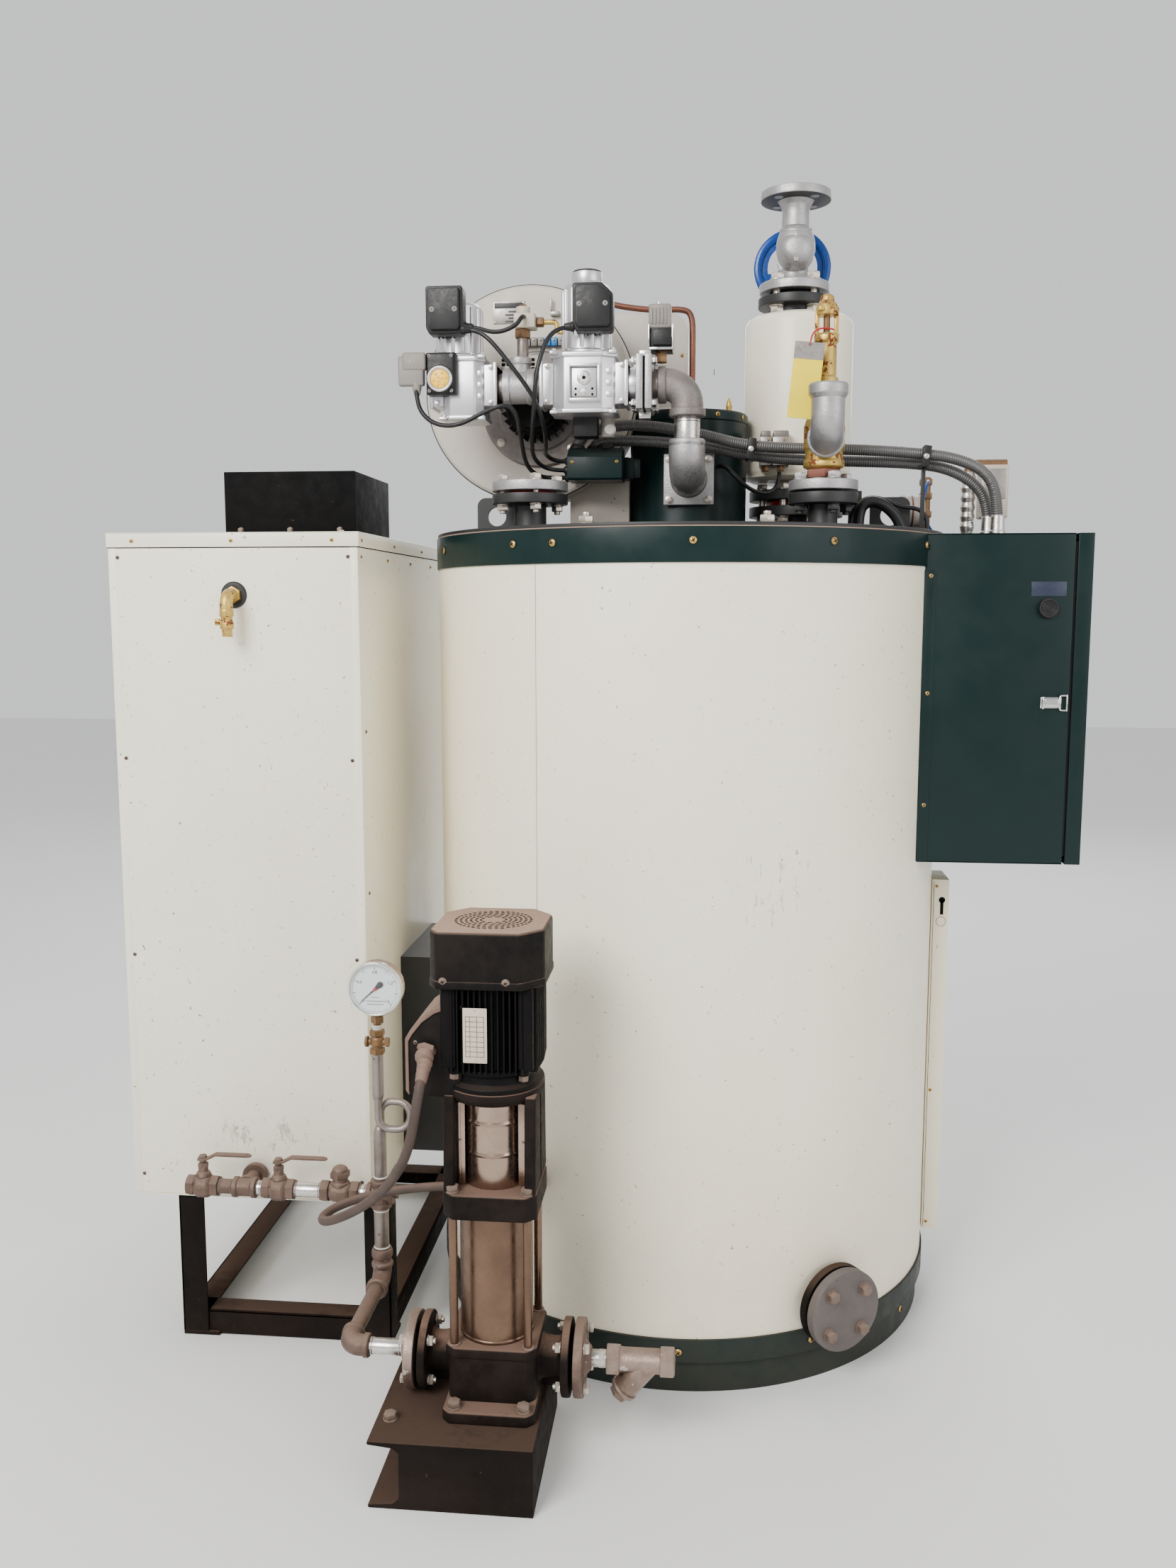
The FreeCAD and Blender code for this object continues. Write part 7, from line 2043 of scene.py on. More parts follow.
@dataclass
class Cabinet:
    """The green control cabinet: its folded box, its door, the catch and the buzzer."""

    sheet: float = 3.0
    shell: float = 501.0

    def box(self) -> None:
        """The folded box, closed against the round shell, with its fixing flange."""
        room = Room.of("cabinet_box")
        low, high, half, front = room.low, room.high, 240.0, 704.0
        piece = Piece("cabinet_shell")
        arc = [(math.sqrt(self.shell ** 2 - y ** 2), y) for y in range(-240, 241, 24)]
        for bottom in (low, high - self.sheet):
            piece.prism([*arc, (front, half), (front, -half)], self.sheet,
                        upright(bottom, Way.UP), GREEN, 0.6)
        left = arc[0][0] + 0.5
        for y in (-half, half - self.sheet):
            piece.block((left, y, low), (front, y + self.sheet, high), GREEN, 1.2, 3)
        piece.block((506, -half + 1, low + 1), (509, half - 1, high - 1), GREEN, 0.8)
        for y in (-half + 2, half - 14):
            piece.block((front - 3, y, low + 2), (front, y + 12, high - 2), GREEN, 0.8)
        for bottom in (low + 2, high - 14):
            piece.block((front - 3, -half + 3, bottom), (front, half - 3, bottom + 12), GREEN,
                        0.8)
        piece.block((515, -half + 30, low + 40), (518, half - 30, high - 40), GALVANISED, 0.8)
        for y in (-half + 44, half - 44):
            for height in (low + 54, high - 54):
                piece.bolt((518, y, height), Way.RIGHT, 10, ZINC_BOLT)
        for height in (1462, 1248, 1040):
            piece.screw((left + 10, -half - 0.2, height), Way.FRONT, 4.4, BRASS_SCREW)
        piece.block((left - 2, -half - 1.6, low + 2), (left + 19, -half + 0.5, 1472), GREEN,
                    0.7)
        for start, end in ((1060, 1120), (1390, 1450)):
            piece.block((front - 22, half - 0.5, start), (front, half + 2.6, end), GREEN, 0.8)
            for height in (start + 12, end - 12):
                piece.screw((front - 12, half + 2.6, height), Way.BACK, 3.4, BRASS_SCREW)
            piece.block((front - 6, half + 3, start), (742, half + 6, end), BLACK, 0.8)
            piece.rod((742, 247, start), Way.UP, 5, end - start, BLACK, 20, 0.8)
        piece.rod((553, -212, low - 0.5), Way.UP, 13, 3.5, PLASTIC_BLACK, 6, 0.8)
        piece.block((541, -226, low + 0.4), (566, -204, low + 3), TERMINAL_GREEN, 0.6)
        piece.done("green_paint", "cabinet_box")

    def door(self) -> None:
        """The folded door on the cabinet's right, standing off the box on its gasket."""
        room = Room.of("cabinet_door")
        piece = Piece("cabinet_door_leaf")
        left, right, front, back = room.left, room.right - 1.2, room.front, room.back
        low, high, sheet = room.low, room.high, self.sheet
        folded = [(left, front), (right, front), (right, back), (left, back),
                  (left, back - sheet), (right - sheet, back - sheet),
                  (right - sheet, front + sheet), (left, front + sheet)]
        piece.prism(folded, high - low, upright(low, Way.UP), GREEN, 1.1, 3)
        for bottom in (low, high - sheet):
            piece.block((left, front + 0.4, bottom), (right - 0.4, back - 0.4, bottom + sheet),
                        GREEN, 0.9)
        piece.block((right - 1, front + 26, low + 26), (room.right, back - 26, high - 26),
                    GREEN, 0.6)
        seat, inner, seal = left - 4.8, right - sheet + 0.2, left + 3
        for y in (front + 8, back - 16):
            piece.block((left + 1, y + 2.5, low + 8), (inner, y + 5.5, high - 8), GREEN, 0.6)
            piece.block((seat, y, low + 8), (seal, y + 8, high - 8), PLASTIC_BLACK, 1.6)
        for bottom in (low + 8, high - 16):
            piece.block((left + 1, front + 8, bottom + 2.5), (inner, back - 8, bottom + 5.5),
                        GREEN, 0.6)
            piece.block((seat, front + 8, bottom), (seal, back - 8, bottom + 8), PLASTIC_BLACK,
                        1.6)
        piece.done("green_paint", "cabinet_door", body="door")

    def fittings(self) -> None:
        """The toggle catch with its wire bail, the buzzer and a bare label plate."""
        face = -240.0
        piece = Piece("cabinet_catch")
        piece.block((653, face - 2, 1222), (690, face, 1242), CHROME, 0.8)
        piece.block((655, face - 9, 1223), (688, face - 2, 1241), CHROME, 3.2, 4)
        piece.block((660, face - 10.4, 1226), (684, face - 8, 1238), CHROME, 1.6, 3)
        piece.rod((657, face - 5, 1221), Way.UP, 2.2, 22, CHROME, 14, 0.5)
        for height in (1218.5, 1245.5):
            lean = 2.4 if height > 1232 else -2.4
            piece.pipe([(684, face - 6, 1232 + lean * 2), (688, face - 6, height),
                        (700, face - 5, height)], 1.5, CHROME, 3.0, 12)
        piece.rod((699.4, face - 5, 1217), Way.UP, 1.5, 30, CHROME, 12, 0.4)
        piece.done("stainless", "cabinet_fittings")
        buzzer = Piece("cabinet_buzzer")
        buzzer.lathe([(0, 0), (18, 0), (18, 8), (16.4, 10.5), (14, 10.5), (13.5, 9), (0, 9)],
                     (660, face, 1403), Way.FRONT, PLASTIC_BLACK, 48, 0.8)
        for mean, sweep in ((11.4, 300), (8.2, 285), (5.2, 270), (2.2, 240)):
            buzzer.ring((660, face - 9.4, 1403), Way.FRONT, mean, 0.8, PLASTIC_BLACK, 36, 8,
                        sweep, mean * 23)
        buzzer.done("black_plastic")
        label = Piece("cabinet_label_plate")
        label.block((629, face - 0.9, 1425), (691, face, 1451), LABEL_BLUE, 0.35)
        label.done("blue_paint")

    def build(self) -> None:
        """Make the cabinet."""
        self.box()
        self.door()
        self.fittings()


@dataclass
class Casing:
    """The tall cream casing, its folded lid, the flue box, the frame and the vent cock."""

    left: float = -1033.0
    right: float = -571.0
    front: float = -407.0
    back: float = 343.0
    lid: float = 1512.0
    frame_top: float = 289.0

    def walls(self) -> None:
        """The cream walls with folded corners, dark screws and a bottom hem."""
        room = Room.of("casing_walls")
        piece = Piece("casing_sheets")
        left, right, front, back = self.left, self.right, self.front, self.back
        low, high = room.low, self.lid + 4
        piece.hollow(square(left, right, front, back),
                     square(left + 3, right - 3, front + 3, back - 3), low, high, CREAM_CASING,
                     1.3, 4)
        for x in (left + 0.5, right - 14.5):
            piece.block((x, front - 0.4, low + 1), (x + 14, front + 1, high), CREAM_CASING, 0.4)
        for height in (1494, 1130, 760, 330):
            for x in (left + 18, right - 18):
                piece.screw((x, front - 0.2, height), Way.FRONT, 3.6, DUSTY_BOLT)
        for y in (front + 20, front + 210, front + 400, front + 590):
            piece.screw((right + 0.2, y, 1494), Way.RIGHT, 3.6, BRASS_SCREW)
        for height in (1180, 880, 560):
            piece.screw((right + 0.2, front + 28, height), Way.RIGHT, 3.6, DUSTY_BOLT)
        piece.done("cream_paint", "casing_walls")

    def top(self) -> None:
        """The lid with its turned-down lip, its seam line and its screws."""
        piece = Piece("casing_lid_fold")
        lid, top = self.lid, 1538.0
        flue = Room.of("flue_outlet")
        sides = (self.left, self.right, self.front, self.back)
        outer, walls, shadow = (square(sides[0] - grow, sides[1] + grow, sides[2] - grow,
                                       sides[3] + grow) for grow in (2.0, 0.1, 0.6))
        throat = square(flue.left + 4, flue.right - 4, flue.front + 4, flue.back - 4)
        piece.hollow(outer, walls, lid, top - 0.5, CREAM_CASING, 0.7)
        piece.hollow(outer, throat, top - 3, top, CREAM_CASING, 1.3, 3)
        piece.hollow(shadow, walls, lid - 1.8, lid + 1, SEAM_SHADOW, 0.1)
        for share in (0.1, 0.5, 0.9):
            x = self.left + (self.right - self.left) * share
            piece.screw((x, self.front - 2, lid + 11), Way.FRONT, 3.6, BRASS_SCREW)
        for y in (self.front + 18, -150, 90, self.back - 24):
            piece.screw((self.right + 2, y, lid + 11), Way.RIGHT, 3.6, BRASS_SCREW)
        piece.bolt((-620, -340, top), Way.UP, 10, ZINC_BOLT)
        piece.done("cream_paint", "casing_lid")

    def flue(self) -> None:
        """The black open flue box with its folded flange."""
        room = Room.of("flue_outlet")
        piece = Piece("flue_box")
        left, right, front, back = room.left, room.right, room.front, room.back
        low, high = room.low, room.high
        throat = square(left + 4, right - 4, front + 4, back - 4)
        piece.hollow(square(left, right, front, back), throat, low, high, FLUE_BLACK, 1.2, 3)
        piece.hollow(square(left - 14, right + 14, front - 14, back + 14), throat, low, low + 3,
                     FLUE_BLACK, 0.8)
        for share in (0.12, 0.5, 0.88):
            x = left + (right - left) * share
            piece.bolt((x, front, low + 14), Way.FRONT, 9, DUSTY_BOLT)
        piece.done("black_paint", "flue_outlet")

    def legs(self) -> None:
        """The black angle-bar frame with welded foot plates."""
        legs = Piece("frame_angle_legs")
        left, right, front, back, wide = -954.0, -540.0, -397.0, 333.0, 50.0
        bar = 5.0
        for x, inward in ((left, 1), (right, -1)):
            for y, deeper in ((front, 1), (back, -1)):
                legs.block((min(x, x + inward * wide), min(y, y + deeper * bar), 8),
                           (max(x, x + inward * wide), max(y, y + deeper * bar),
                            self.frame_top), BLACK_FLOOR, 1.4)
                legs.block((min(x, x + inward * bar), min(y, y + deeper * wide), 8),
                           (max(x, x + inward * bar), max(y, y + deeper * wide),
                            self.frame_top), BLACK_FLOOR, 1.4)
                legs.block((min(x, x + inward * 72), min(y, y + deeper * 72), 0),
                           (max(x, x + inward * 72), max(y, y + deeper * 72), 8), BLACK_FLOOR,
                           1.6)
                hole = (x + inward * 52, y + deeper * 52, 8)
                legs.ring(hole, Way.UP, 9.5, 1.2, BLACK_FLOOR, 24, 8)
                legs.rod((hole[0], hole[1], 7.8), Way.UP, 9, 0.4, SEAM_SHADOW, 24, 0.0)
                for rise in range(6):
                    legs.rod((x + inward * (bar + 1 + rise * 7), y + deeper * (bar + 1), 8.5),
                             (inward, 0, 0.35), 2.8, 8, BLACK_FLOOR, 10, 1.0)
        legs.done("black_paint", "frame_legs")
        beams = Piece("frame_angle_beams")
        for y, deeper in ((front, 1), (back, -1)):
            inner, web = y + deeper * bar, y + deeper * 2 * bar
            beams.block((left + wide, min(inner, web), 2), (right - wide, max(inner, web), 50),
                        BLACK_FLOOR, 1.4)
            deep = y + deeper * (bar + wide - 2)
            beams.block((left + bar, min(inner, deep), 45), (right - bar, max(inner, deep), 50),
                        BLACK_FLOOR, 1.4)
        for x, inward in ((left, 1), (right, -1)):
            inner, web = x + inward * bar, x + inward * 2 * bar
            beams.block((min(inner, web), front + wide, 2), (max(inner, web), back - wide, 50),
                        BLACK_FLOOR, 1.4)
            deep = x + inward * (bar + wide - 2)
            beams.block((min(inner, deep), front + bar, 45), (max(inner, deep), back - bar, 50),
                        BLACK_FLOOR, 1.4)
        beams.done("black_paint", "frame_beams")

    def vent(self) -> None:
        """The brass bleed cock on its bent spout."""
        at = (-800.0, -447.0, 1427.0)
        piece = Piece("casing_vent_cock")
        piece.lathe([(12, 0), (24, 0), (24, 1.5), (20, 4), (12, 4), (12, 0)],
                    (at[0], -407, at[2]), Way.FRONT, BLACK, 36, 0.6)
        piece.pipe([(at[0], -404, at[2]), at, (at[0], at[1], 1398)], 11.4, BRASS, 18, 24)
        piece.rod((at[0], -410, at[2]), Way.FRONT, 15.5, 10, BRASS, 6, 1.2)
        piece.lathe([(0, 0), (9, 0), (9, 12), (12, 15), (12, 24), (10, 27), (10, 34), (12.4, 37),
                     (12.4, 46), (10.5, 50), (0, 50)], (at[0], at[1], 1353), Way.UP, BRASS, 32,
                    1.2)
        piece.rod((at[0], at[1], 1353.2), Way.UP, 5.5, 0.4, SEAM_SHADOW, 18, 0.0)
        piece.rod((at[0], at[1], 1379), Way.LEFT, 4, 14, BRASS, 16, 0.6)
        piece.block((-822, at[1] - 2.4, 1373), (-812, at[1] + 2.4, 1385), BRASS, 1.8, 3)
        piece.done("valve_brass", "vent_cock")

    def build(self) -> None:
        """Make the casing and its frame."""
        self.walls()
        self.top()
        self.flue()
        self.legs()
        self.vent()


@dataclass
class FeedLine:
    """The dusty feed line across the casing and the discharge pipe that rises to it."""

    y: float = -470.0
    z: float = 340.0
    pipe: float = 13.5
    valves: tuple[float, float] = (-872.0, -728.0)
    riser: float = -536.0

    def valve(self, piece: Piece, x: float) -> None:
        """A ball valve with hexagonal ends, a waisted neck and a stem with its gland nut."""
        at = (x - 30, self.y, self.z)
        piece.rod(at, Way.RIGHT, 20, 15, DUSTY, 6, 1.6)
        piece.rod((x + 15, self.y, self.z), Way.RIGHT, 20, 15, DUSTY, 6, 1.6)
        piece.lathe([(0, 0), (16, 0), (19, 3), (22, 8), (22, 26), (19, 31), (16, 34), (0, 34)],
                    (x - 17, self.y, self.z), Way.RIGHT, DUSTY, 40, 2.0)
        piece.lathe([(0, 0), (15, 0), (12, 6), (9, 8), (9, 17), (7, 19), (0, 19)],
                    (x, self.y, self.z + 20), Way.UP, DUSTY, 28, 1.0)
        piece.rod((x, self.y, self.z + 36), Way.UP, 9.6, 8, DUSTY, 6, 0.8)
        piece.rod((x, self.y, self.z + 44), Way.UP, 4, 16, DUSTY_BOLT, 16, 0.8)

    def lever(self, name: str, node: str, body: str, x: float) -> None:
        """A bent flat lever held by its nut.

        Args:
            name: the piece's name.
            node: the CAD node it stands for.
            body: the body it turns with.
            x: where its valve stands.
        """
        piece = Piece(name)
        top = self.z + 50
        outline = [(x - 9, top), (x + 9, top), (x + 26, top + 9), (x + 86, top + 9),
                   (x + 86, top + 13), (x + 24, top + 13), (x + 7, top + 4), (x - 9, top + 4)]
        piece.prism(outline, 14, upright(self.y + 7, Way.FRONT), DUSTY, 0.9)
        piece.rod((x + 86, self.y, top + 9), Way.UP, 7, 3, DUSTY, 24, 0.9)
        piece.rod((x, self.y, top - 0.5), Way.UP, 10, 4, DUSTY, 28, 0.8)
        piece.rod((x, self.y, top + 3), Way.UP, 7.5, 6, DUSTY_BOLT, 6, 0.8)
        piece.done("dusty_steel", node, body=body)

    def nipple(self, piece: Piece, start: float, end: float, bright: bool) -> None:
        """A run of pipe with cut threads at both ends."""
        finish = BRIGHT if bright else DUSTY
        piece.rod((start, self.y, self.z), Way.RIGHT, self.pipe, end - start, finish, 28, 0.6)
        for x in (start + 2, start + 5, end - 5, end - 2):
            piece.ring((x, self.y, self.z), Way.RIGHT, self.pipe, 0.8, GALVANISED, 28, 6)

    def header(self) -> None:
        """The pipes, tees and sockets of the feed line."""
        y, z = self.y, self.z
        piece = Piece("feed_line_pipes")
        for start, end, bright in ((-843, -812, False), (-773, -757, True), (-699, -646, True),
                                   (-578, -560, True)):
            self.nipple(piece, start, end, bright)
        piece.lathe([(0, 0), (19, 0), (19, 8), (16.5, 10), (16.5, 34), (19, 36), (19, 44),
                     (0, 44)], (-814, y, z), Way.RIGHT, DUSTY, 36, 1.4)
        piece.lathe([(0, 0), (19, 0), (19, 9), (16, 11), (13.6, 12), (13.6, 60), (0, 60)],
                    (-792, y + 4, z), Way.BACK, DUSTY, 36, 1.2)
        piece.lathe([(0, 0), (24, 0), (24, 10), (21, 16), (0, 16)], (-792, -423, z), Way.BACK,
                    DUSTY, 40, 1.4)
        piece.lathe([(0, 0), (19, 0), (19, 8), (16.5, 10), (16.5, 40), (19, 42), (19, 50),
                     (0, 50)], (self.riser - 25, y, z), Way.RIGHT, DUSTY, 36, 1.4)
        piece.rod((self.riser + 24, y, z), Way.RIGHT, 9, 9, DUSTY_BOLT, 4, 1.0)
        for way, length in ((Way.UP, 26), (Way.DOWN, 26)):
            piece.lathe([(0, 0), (16.5, 0), (16.5, length - 9), (19, length - 8), (19, length),
                         (0, length)], (self.riser, y, z), way, DUSTY, 36, 1.2)
        piece.done("dusty_steel", "feed_header")

    def check(self) -> None:
        """The lift check valve with its domed hexagonal cap."""
        x, y, z = -612.0, self.y, self.z
        piece = Piece("feed_check_valve")
        for start in (x - 36, x + 20):
            piece.rod((start, y, z), Way.RIGHT, 20.5, 16, DUSTY, 6, 1.8)
        piece.lathe([(0, 0), (15, 0), (19, 8), (20, 22), (19, 34), (15, 42), (0, 42)],
                    (x - 21, y, z), Way.RIGHT, DUSTY, 36, 3.0)
        piece.lathe([(0, 0), (17, 0), (17, 10), (14, 12), (14, 20), (0, 20)], (x, y, z + 8),
                    Way.UP, DUSTY, 32, 1.2)
        piece.rod((x, y, z + 27), Way.UP, 18.5, 12, DUSTY, 6, 1.6)
        piece.lathe([(0, 0), (15, 0), (14, 6), (9, 10.4), (0, 12)], (x, y, z + 38), Way.UP,
                    DUSTY, 28, 1.6)
        piece.done("dusty_steel", "check_valve")

    def discharge(self) -> None:
        """The galvanised riser, its union and elbows, and the flange at the pump."""
        x, y = self.riser, self.y
        port, near = 177.0, -700.0
        piece = Piece("discharge_pipework")
        piece.rod((x, y, 232), Way.UP, self.pipe, 86, GALVANISED, 32, 0.6)
        piece.lathe([(0, 0), (19, 0), (20, 2), (20, 7), (16.5, 10), (16.5, 16), (19, 19),
                     (19.5, 28), (18, 34), (0, 34)], (x, y, 200), Way.UP, DUSTY, 36, 1.4)
        for height in (309, 313, 238):
            piece.ring((x, y, height), Way.UP, self.pipe, 1.4, TAPE_WHITE, 28, 8)
        piece.pipe([(x, y, 204), (x, y, port), (x, -520, port)], 17, DUSTY, 22, 28)
        piece.lathe([(0, 0), (20, 0), (20, 8), (17.4, 10), (0, 10)], (x, -508, port), Way.FRONT,
                    DUSTY, 32, 1.2)
        piece.rod((x, -505, port), Way.FRONT, self.pipe, 175, DUSTY, 28, 0.6)
        piece.lathe([(0, 0), (20, 0), (20, 8), (17.4, 10), (0, 10)], (x, -662, port), Way.FRONT,
                    DUSTY, 32, 1.2)
        piece.pipe([(x, -668, port), (x, near, port), (-498, near, port)], 17.6, DUSTY, 22, 28)
        piece.lathe([(0, 0), (20, 0), (20, 8), (17.6, 10), (0, 10)], (-508, near, port),
                    Way.RIGHT, DUSTY, 32, 1.2)
        piece.rod((-500, near, port), Way.RIGHT, self.pipe, 62, BRIGHT, 28, 0.6)
        for start in (-497, -493, -446, -442):
            piece.ring((start, near, port), Way.RIGHT, self.pipe, 0.9, BRIGHT, 28, 6)
        piece.lathe([(0, -12), (19, -12), (21, -8), (30, 0), (62.5, 0), (62.5, 16), (0, 16)],
                    (-429, near, port), Way.RIGHT, STRAINER_CAST, 64, 1.6)
        piece.lathe(disc(40, 0, 6), (-413, near, port), Way.RIGHT, SEAM_SHADOW, 40, 0.6)
        for spot in circle_of((-429, near, port), Way.RIGHT, 48, 4, 45):
            piece.bolt(spot, Way.LEFT, 15, ZINC_BOLT)
        piece.done("galvanised_steel", "pump_discharge_pipe")

    def build(self) -> None:
        """Make the feed line."""
        valves = Piece("feed_ball_valves")
        for x in self.valves:
            self.valve(valves, x)
        left = self.valves[0] - 30
        valves.lathe(washer(9, 17, -0.6, 4), (left, self.y, self.z), Way.RIGHT, DUSTY, 32, 0.6)
        valves.rod((left - 0.4, self.y, self.z), Way.RIGHT, 9, 0.6, SEAM_SHADOW, 24, 0.0)
        valves.done("dusty_steel", "ball_valves")
        self.lever("drain_valve_lever", "drain_lever", "drain_handle", self.valves[0])
        self.lever("feed_valve_lever", "feed_lever", "feed_handle", self.valves[1])
        self.header()
        self.check()
        self.discharge()


@dataclass
class Gauge:
    """The pressure gauge on its brass cock and curled siphon tube."""

    x: float = -536.0
    y: float = -470.0
    z: float = 728.0
    face: float = -485.0

    def siphon(self) -> None:
        """The riser with its curled tube and the brass cock above it."""
        x, y = self.x, self.y
        piece = Piece("gauge_siphon_tube")
        piece.rod((x, y, 366), Way.UP, 11.5, 92, GALVANISED, 32, 0.8)
        piece.lathe([(0, 0), (11.5, 0), (9, 8), (6.6, 12), (0, 12)], (x, y, 457), Way.UP,
                    GALVANISED, 28, 1.0)
        piece.pipe([(x, -479, 540), (x, -479, 466), (-478, -475, 466), (-478, -469, 514),
                    (x + 1, -463, 514), (x + 1, -464, 452)], 6.6, GALVANISED, 23.5, 16)
        piece.lathe([(0, 0), (6.8, 0), (10.5, 12), (10.5, 92), (0, 92)], (x, -476, 516), Way.UP,
                    GALVANISED, 32, 1.2)
        piece.ring((x, y, 372), Way.UP, 11.6, 1.6, TAPE_WHITE, 28, 8)
        for height in (606, 640):
            piece.rod((x, -474, height), Way.UP, 14, 11, DULL_BRASS, 6, 1.4)
        piece.lathe([(0, 0), (10, 0), (10, 5), (12.5, 9), (12.5, 20), (10, 24), (0, 24)],
                    (x, -474, 615), Way.UP, DULL_BRASS, 32, 1.2)
        piece.rod((x - 16, -474, 628), Way.RIGHT, 6.5, 34, DULL_BRASS, 20, 1.0)
        piece.lathe([(0, 0), (9, 0), (10, 2), (10, 5), (7, 7), (0, 7)], (x - 22, -474, 628),
                    Way.RIGHT, DULL_BRASS, 24, 1.0)
        piece.rod((x + 15, -474, 628), Way.RIGHT, 9, 7, DULL_BRASS, 6, 1.0)
        for height in (652, 655, 658):
            piece.ring((x, -472, height), Way.UP, 7.6, 1.2, TAPE_WHITE, 24, 8)
        piece.rod((x, -472, 648), Way.UP, 7, 20, DULL_BRASS, 20, 0.6)
        piece.rod((x, -472, 662), Way.UP, 11.5, 14, DULL_BRASS, 4, 1.4)
        piece.done("galvanised_steel", "gauge_siphon")

    def dial(self) -> None:
        """The case, the rim, the white dial with its scale, the needle and the glass."""
        x, z, face = self.x, self.z, self.face
        piece = Piece("gauge_case_and_dial")
        piece.lathe([(0, 31), (46, 31), (48.5, 28), (48.5, 4), (46.5, 3.2), (0, 3.2)],
                    (x, face, z), Way.BACK, GAUGE_RIM, 72, 1.2)
        piece.lathe([(45, 4), (45, 0.4), (46.4, -1), (48.4, -1), (50, 1.4), (50, 6), (48.4, 8),
                     (47, 8), (45, 4)], (x, face, z), Way.BACK, CHROME, 96, 0.5)
        piece.rod((x, face + 3.4, z), Way.FRONT, 45.4, 0.9, WHITE_DIAL, 72, 0.0)
        plane = upright(face + 2.3, Way.FRONT)
        middle = plane @ Matrix.Translation((x, z, 0))
        for step in range(41):
            angle = math.radians(225 - step * 6.75)
            long = 6.2 if step % 5 == 0 else 3.4
            tick = middle @ Matrix.Rotation(angle, 4, "Z")
            wide = 0.45 if step % 5 == 0 else 0.22
            piece.block((42 - long, -wide, 0), (42, wide, 0.3), DIAL_BLACK, 0.0, 1, tick)
        piece.ring((x, face + 2.2, z), Way.BACK, 42.2, 0.22, DIAL_BLACK, 90, 6, 270, -135)
        for step, words in enumerate(("0", "0.4", "0.8", "1.2", "1.6")):
            angle = math.radians(225 - step * 67.5)
            spot = Matrix.Translation((30.5 * math.cos(angle), 31 * math.sin(angle), 0.3))
            piece.text(words, 7.4, middle @ spot, DIAL_BLACK)
        for row, wide in ((-15, 7), (-22, 17), (-28, 15)):
            piece.block((-wide, row - 0.5, 0), (wide, row + 0.4, 0.25), DIAL_BLACK, 0.0, 1,
                        middle)
        hand = middle @ Matrix.Rotation(math.radians(222), 4, "Z")
        piece.prism([(0, -1.5), (38, -0.35), (38, 0.35), (0, 1.5)], 0.7,
                    hand @ Matrix.Translation((0, 0, 1.0)), DIAL_BLACK, 0.1)
        piece.prism([(0, -2), (0, 2), (-13, 5.6), (-17, 4), (-19, 0), (-17, -4), (-13, -5.6)],
                    0.7, hand @ Matrix.Translation((0, 0, 1.0)), DIAL_BLACK, 0.1)
        piece.rod((x, face + 1.6, z), Way.FRONT, 3.2, 1.4, DIAL_RED, 24, 0.4)
        piece.done("gauge_face", "pressure_gauge")
        glass = Piece("gauge_window")
        glass.rod((x, face + 0.4, z), Way.FRONT, 45.2, 0.8, Glass("dial_glass"), 72, 0.2)
        glass.done("gauge_face")

    def build(self) -> None:
        """Make the gauge and its siphon."""
        self.siphon()
        self.dial()


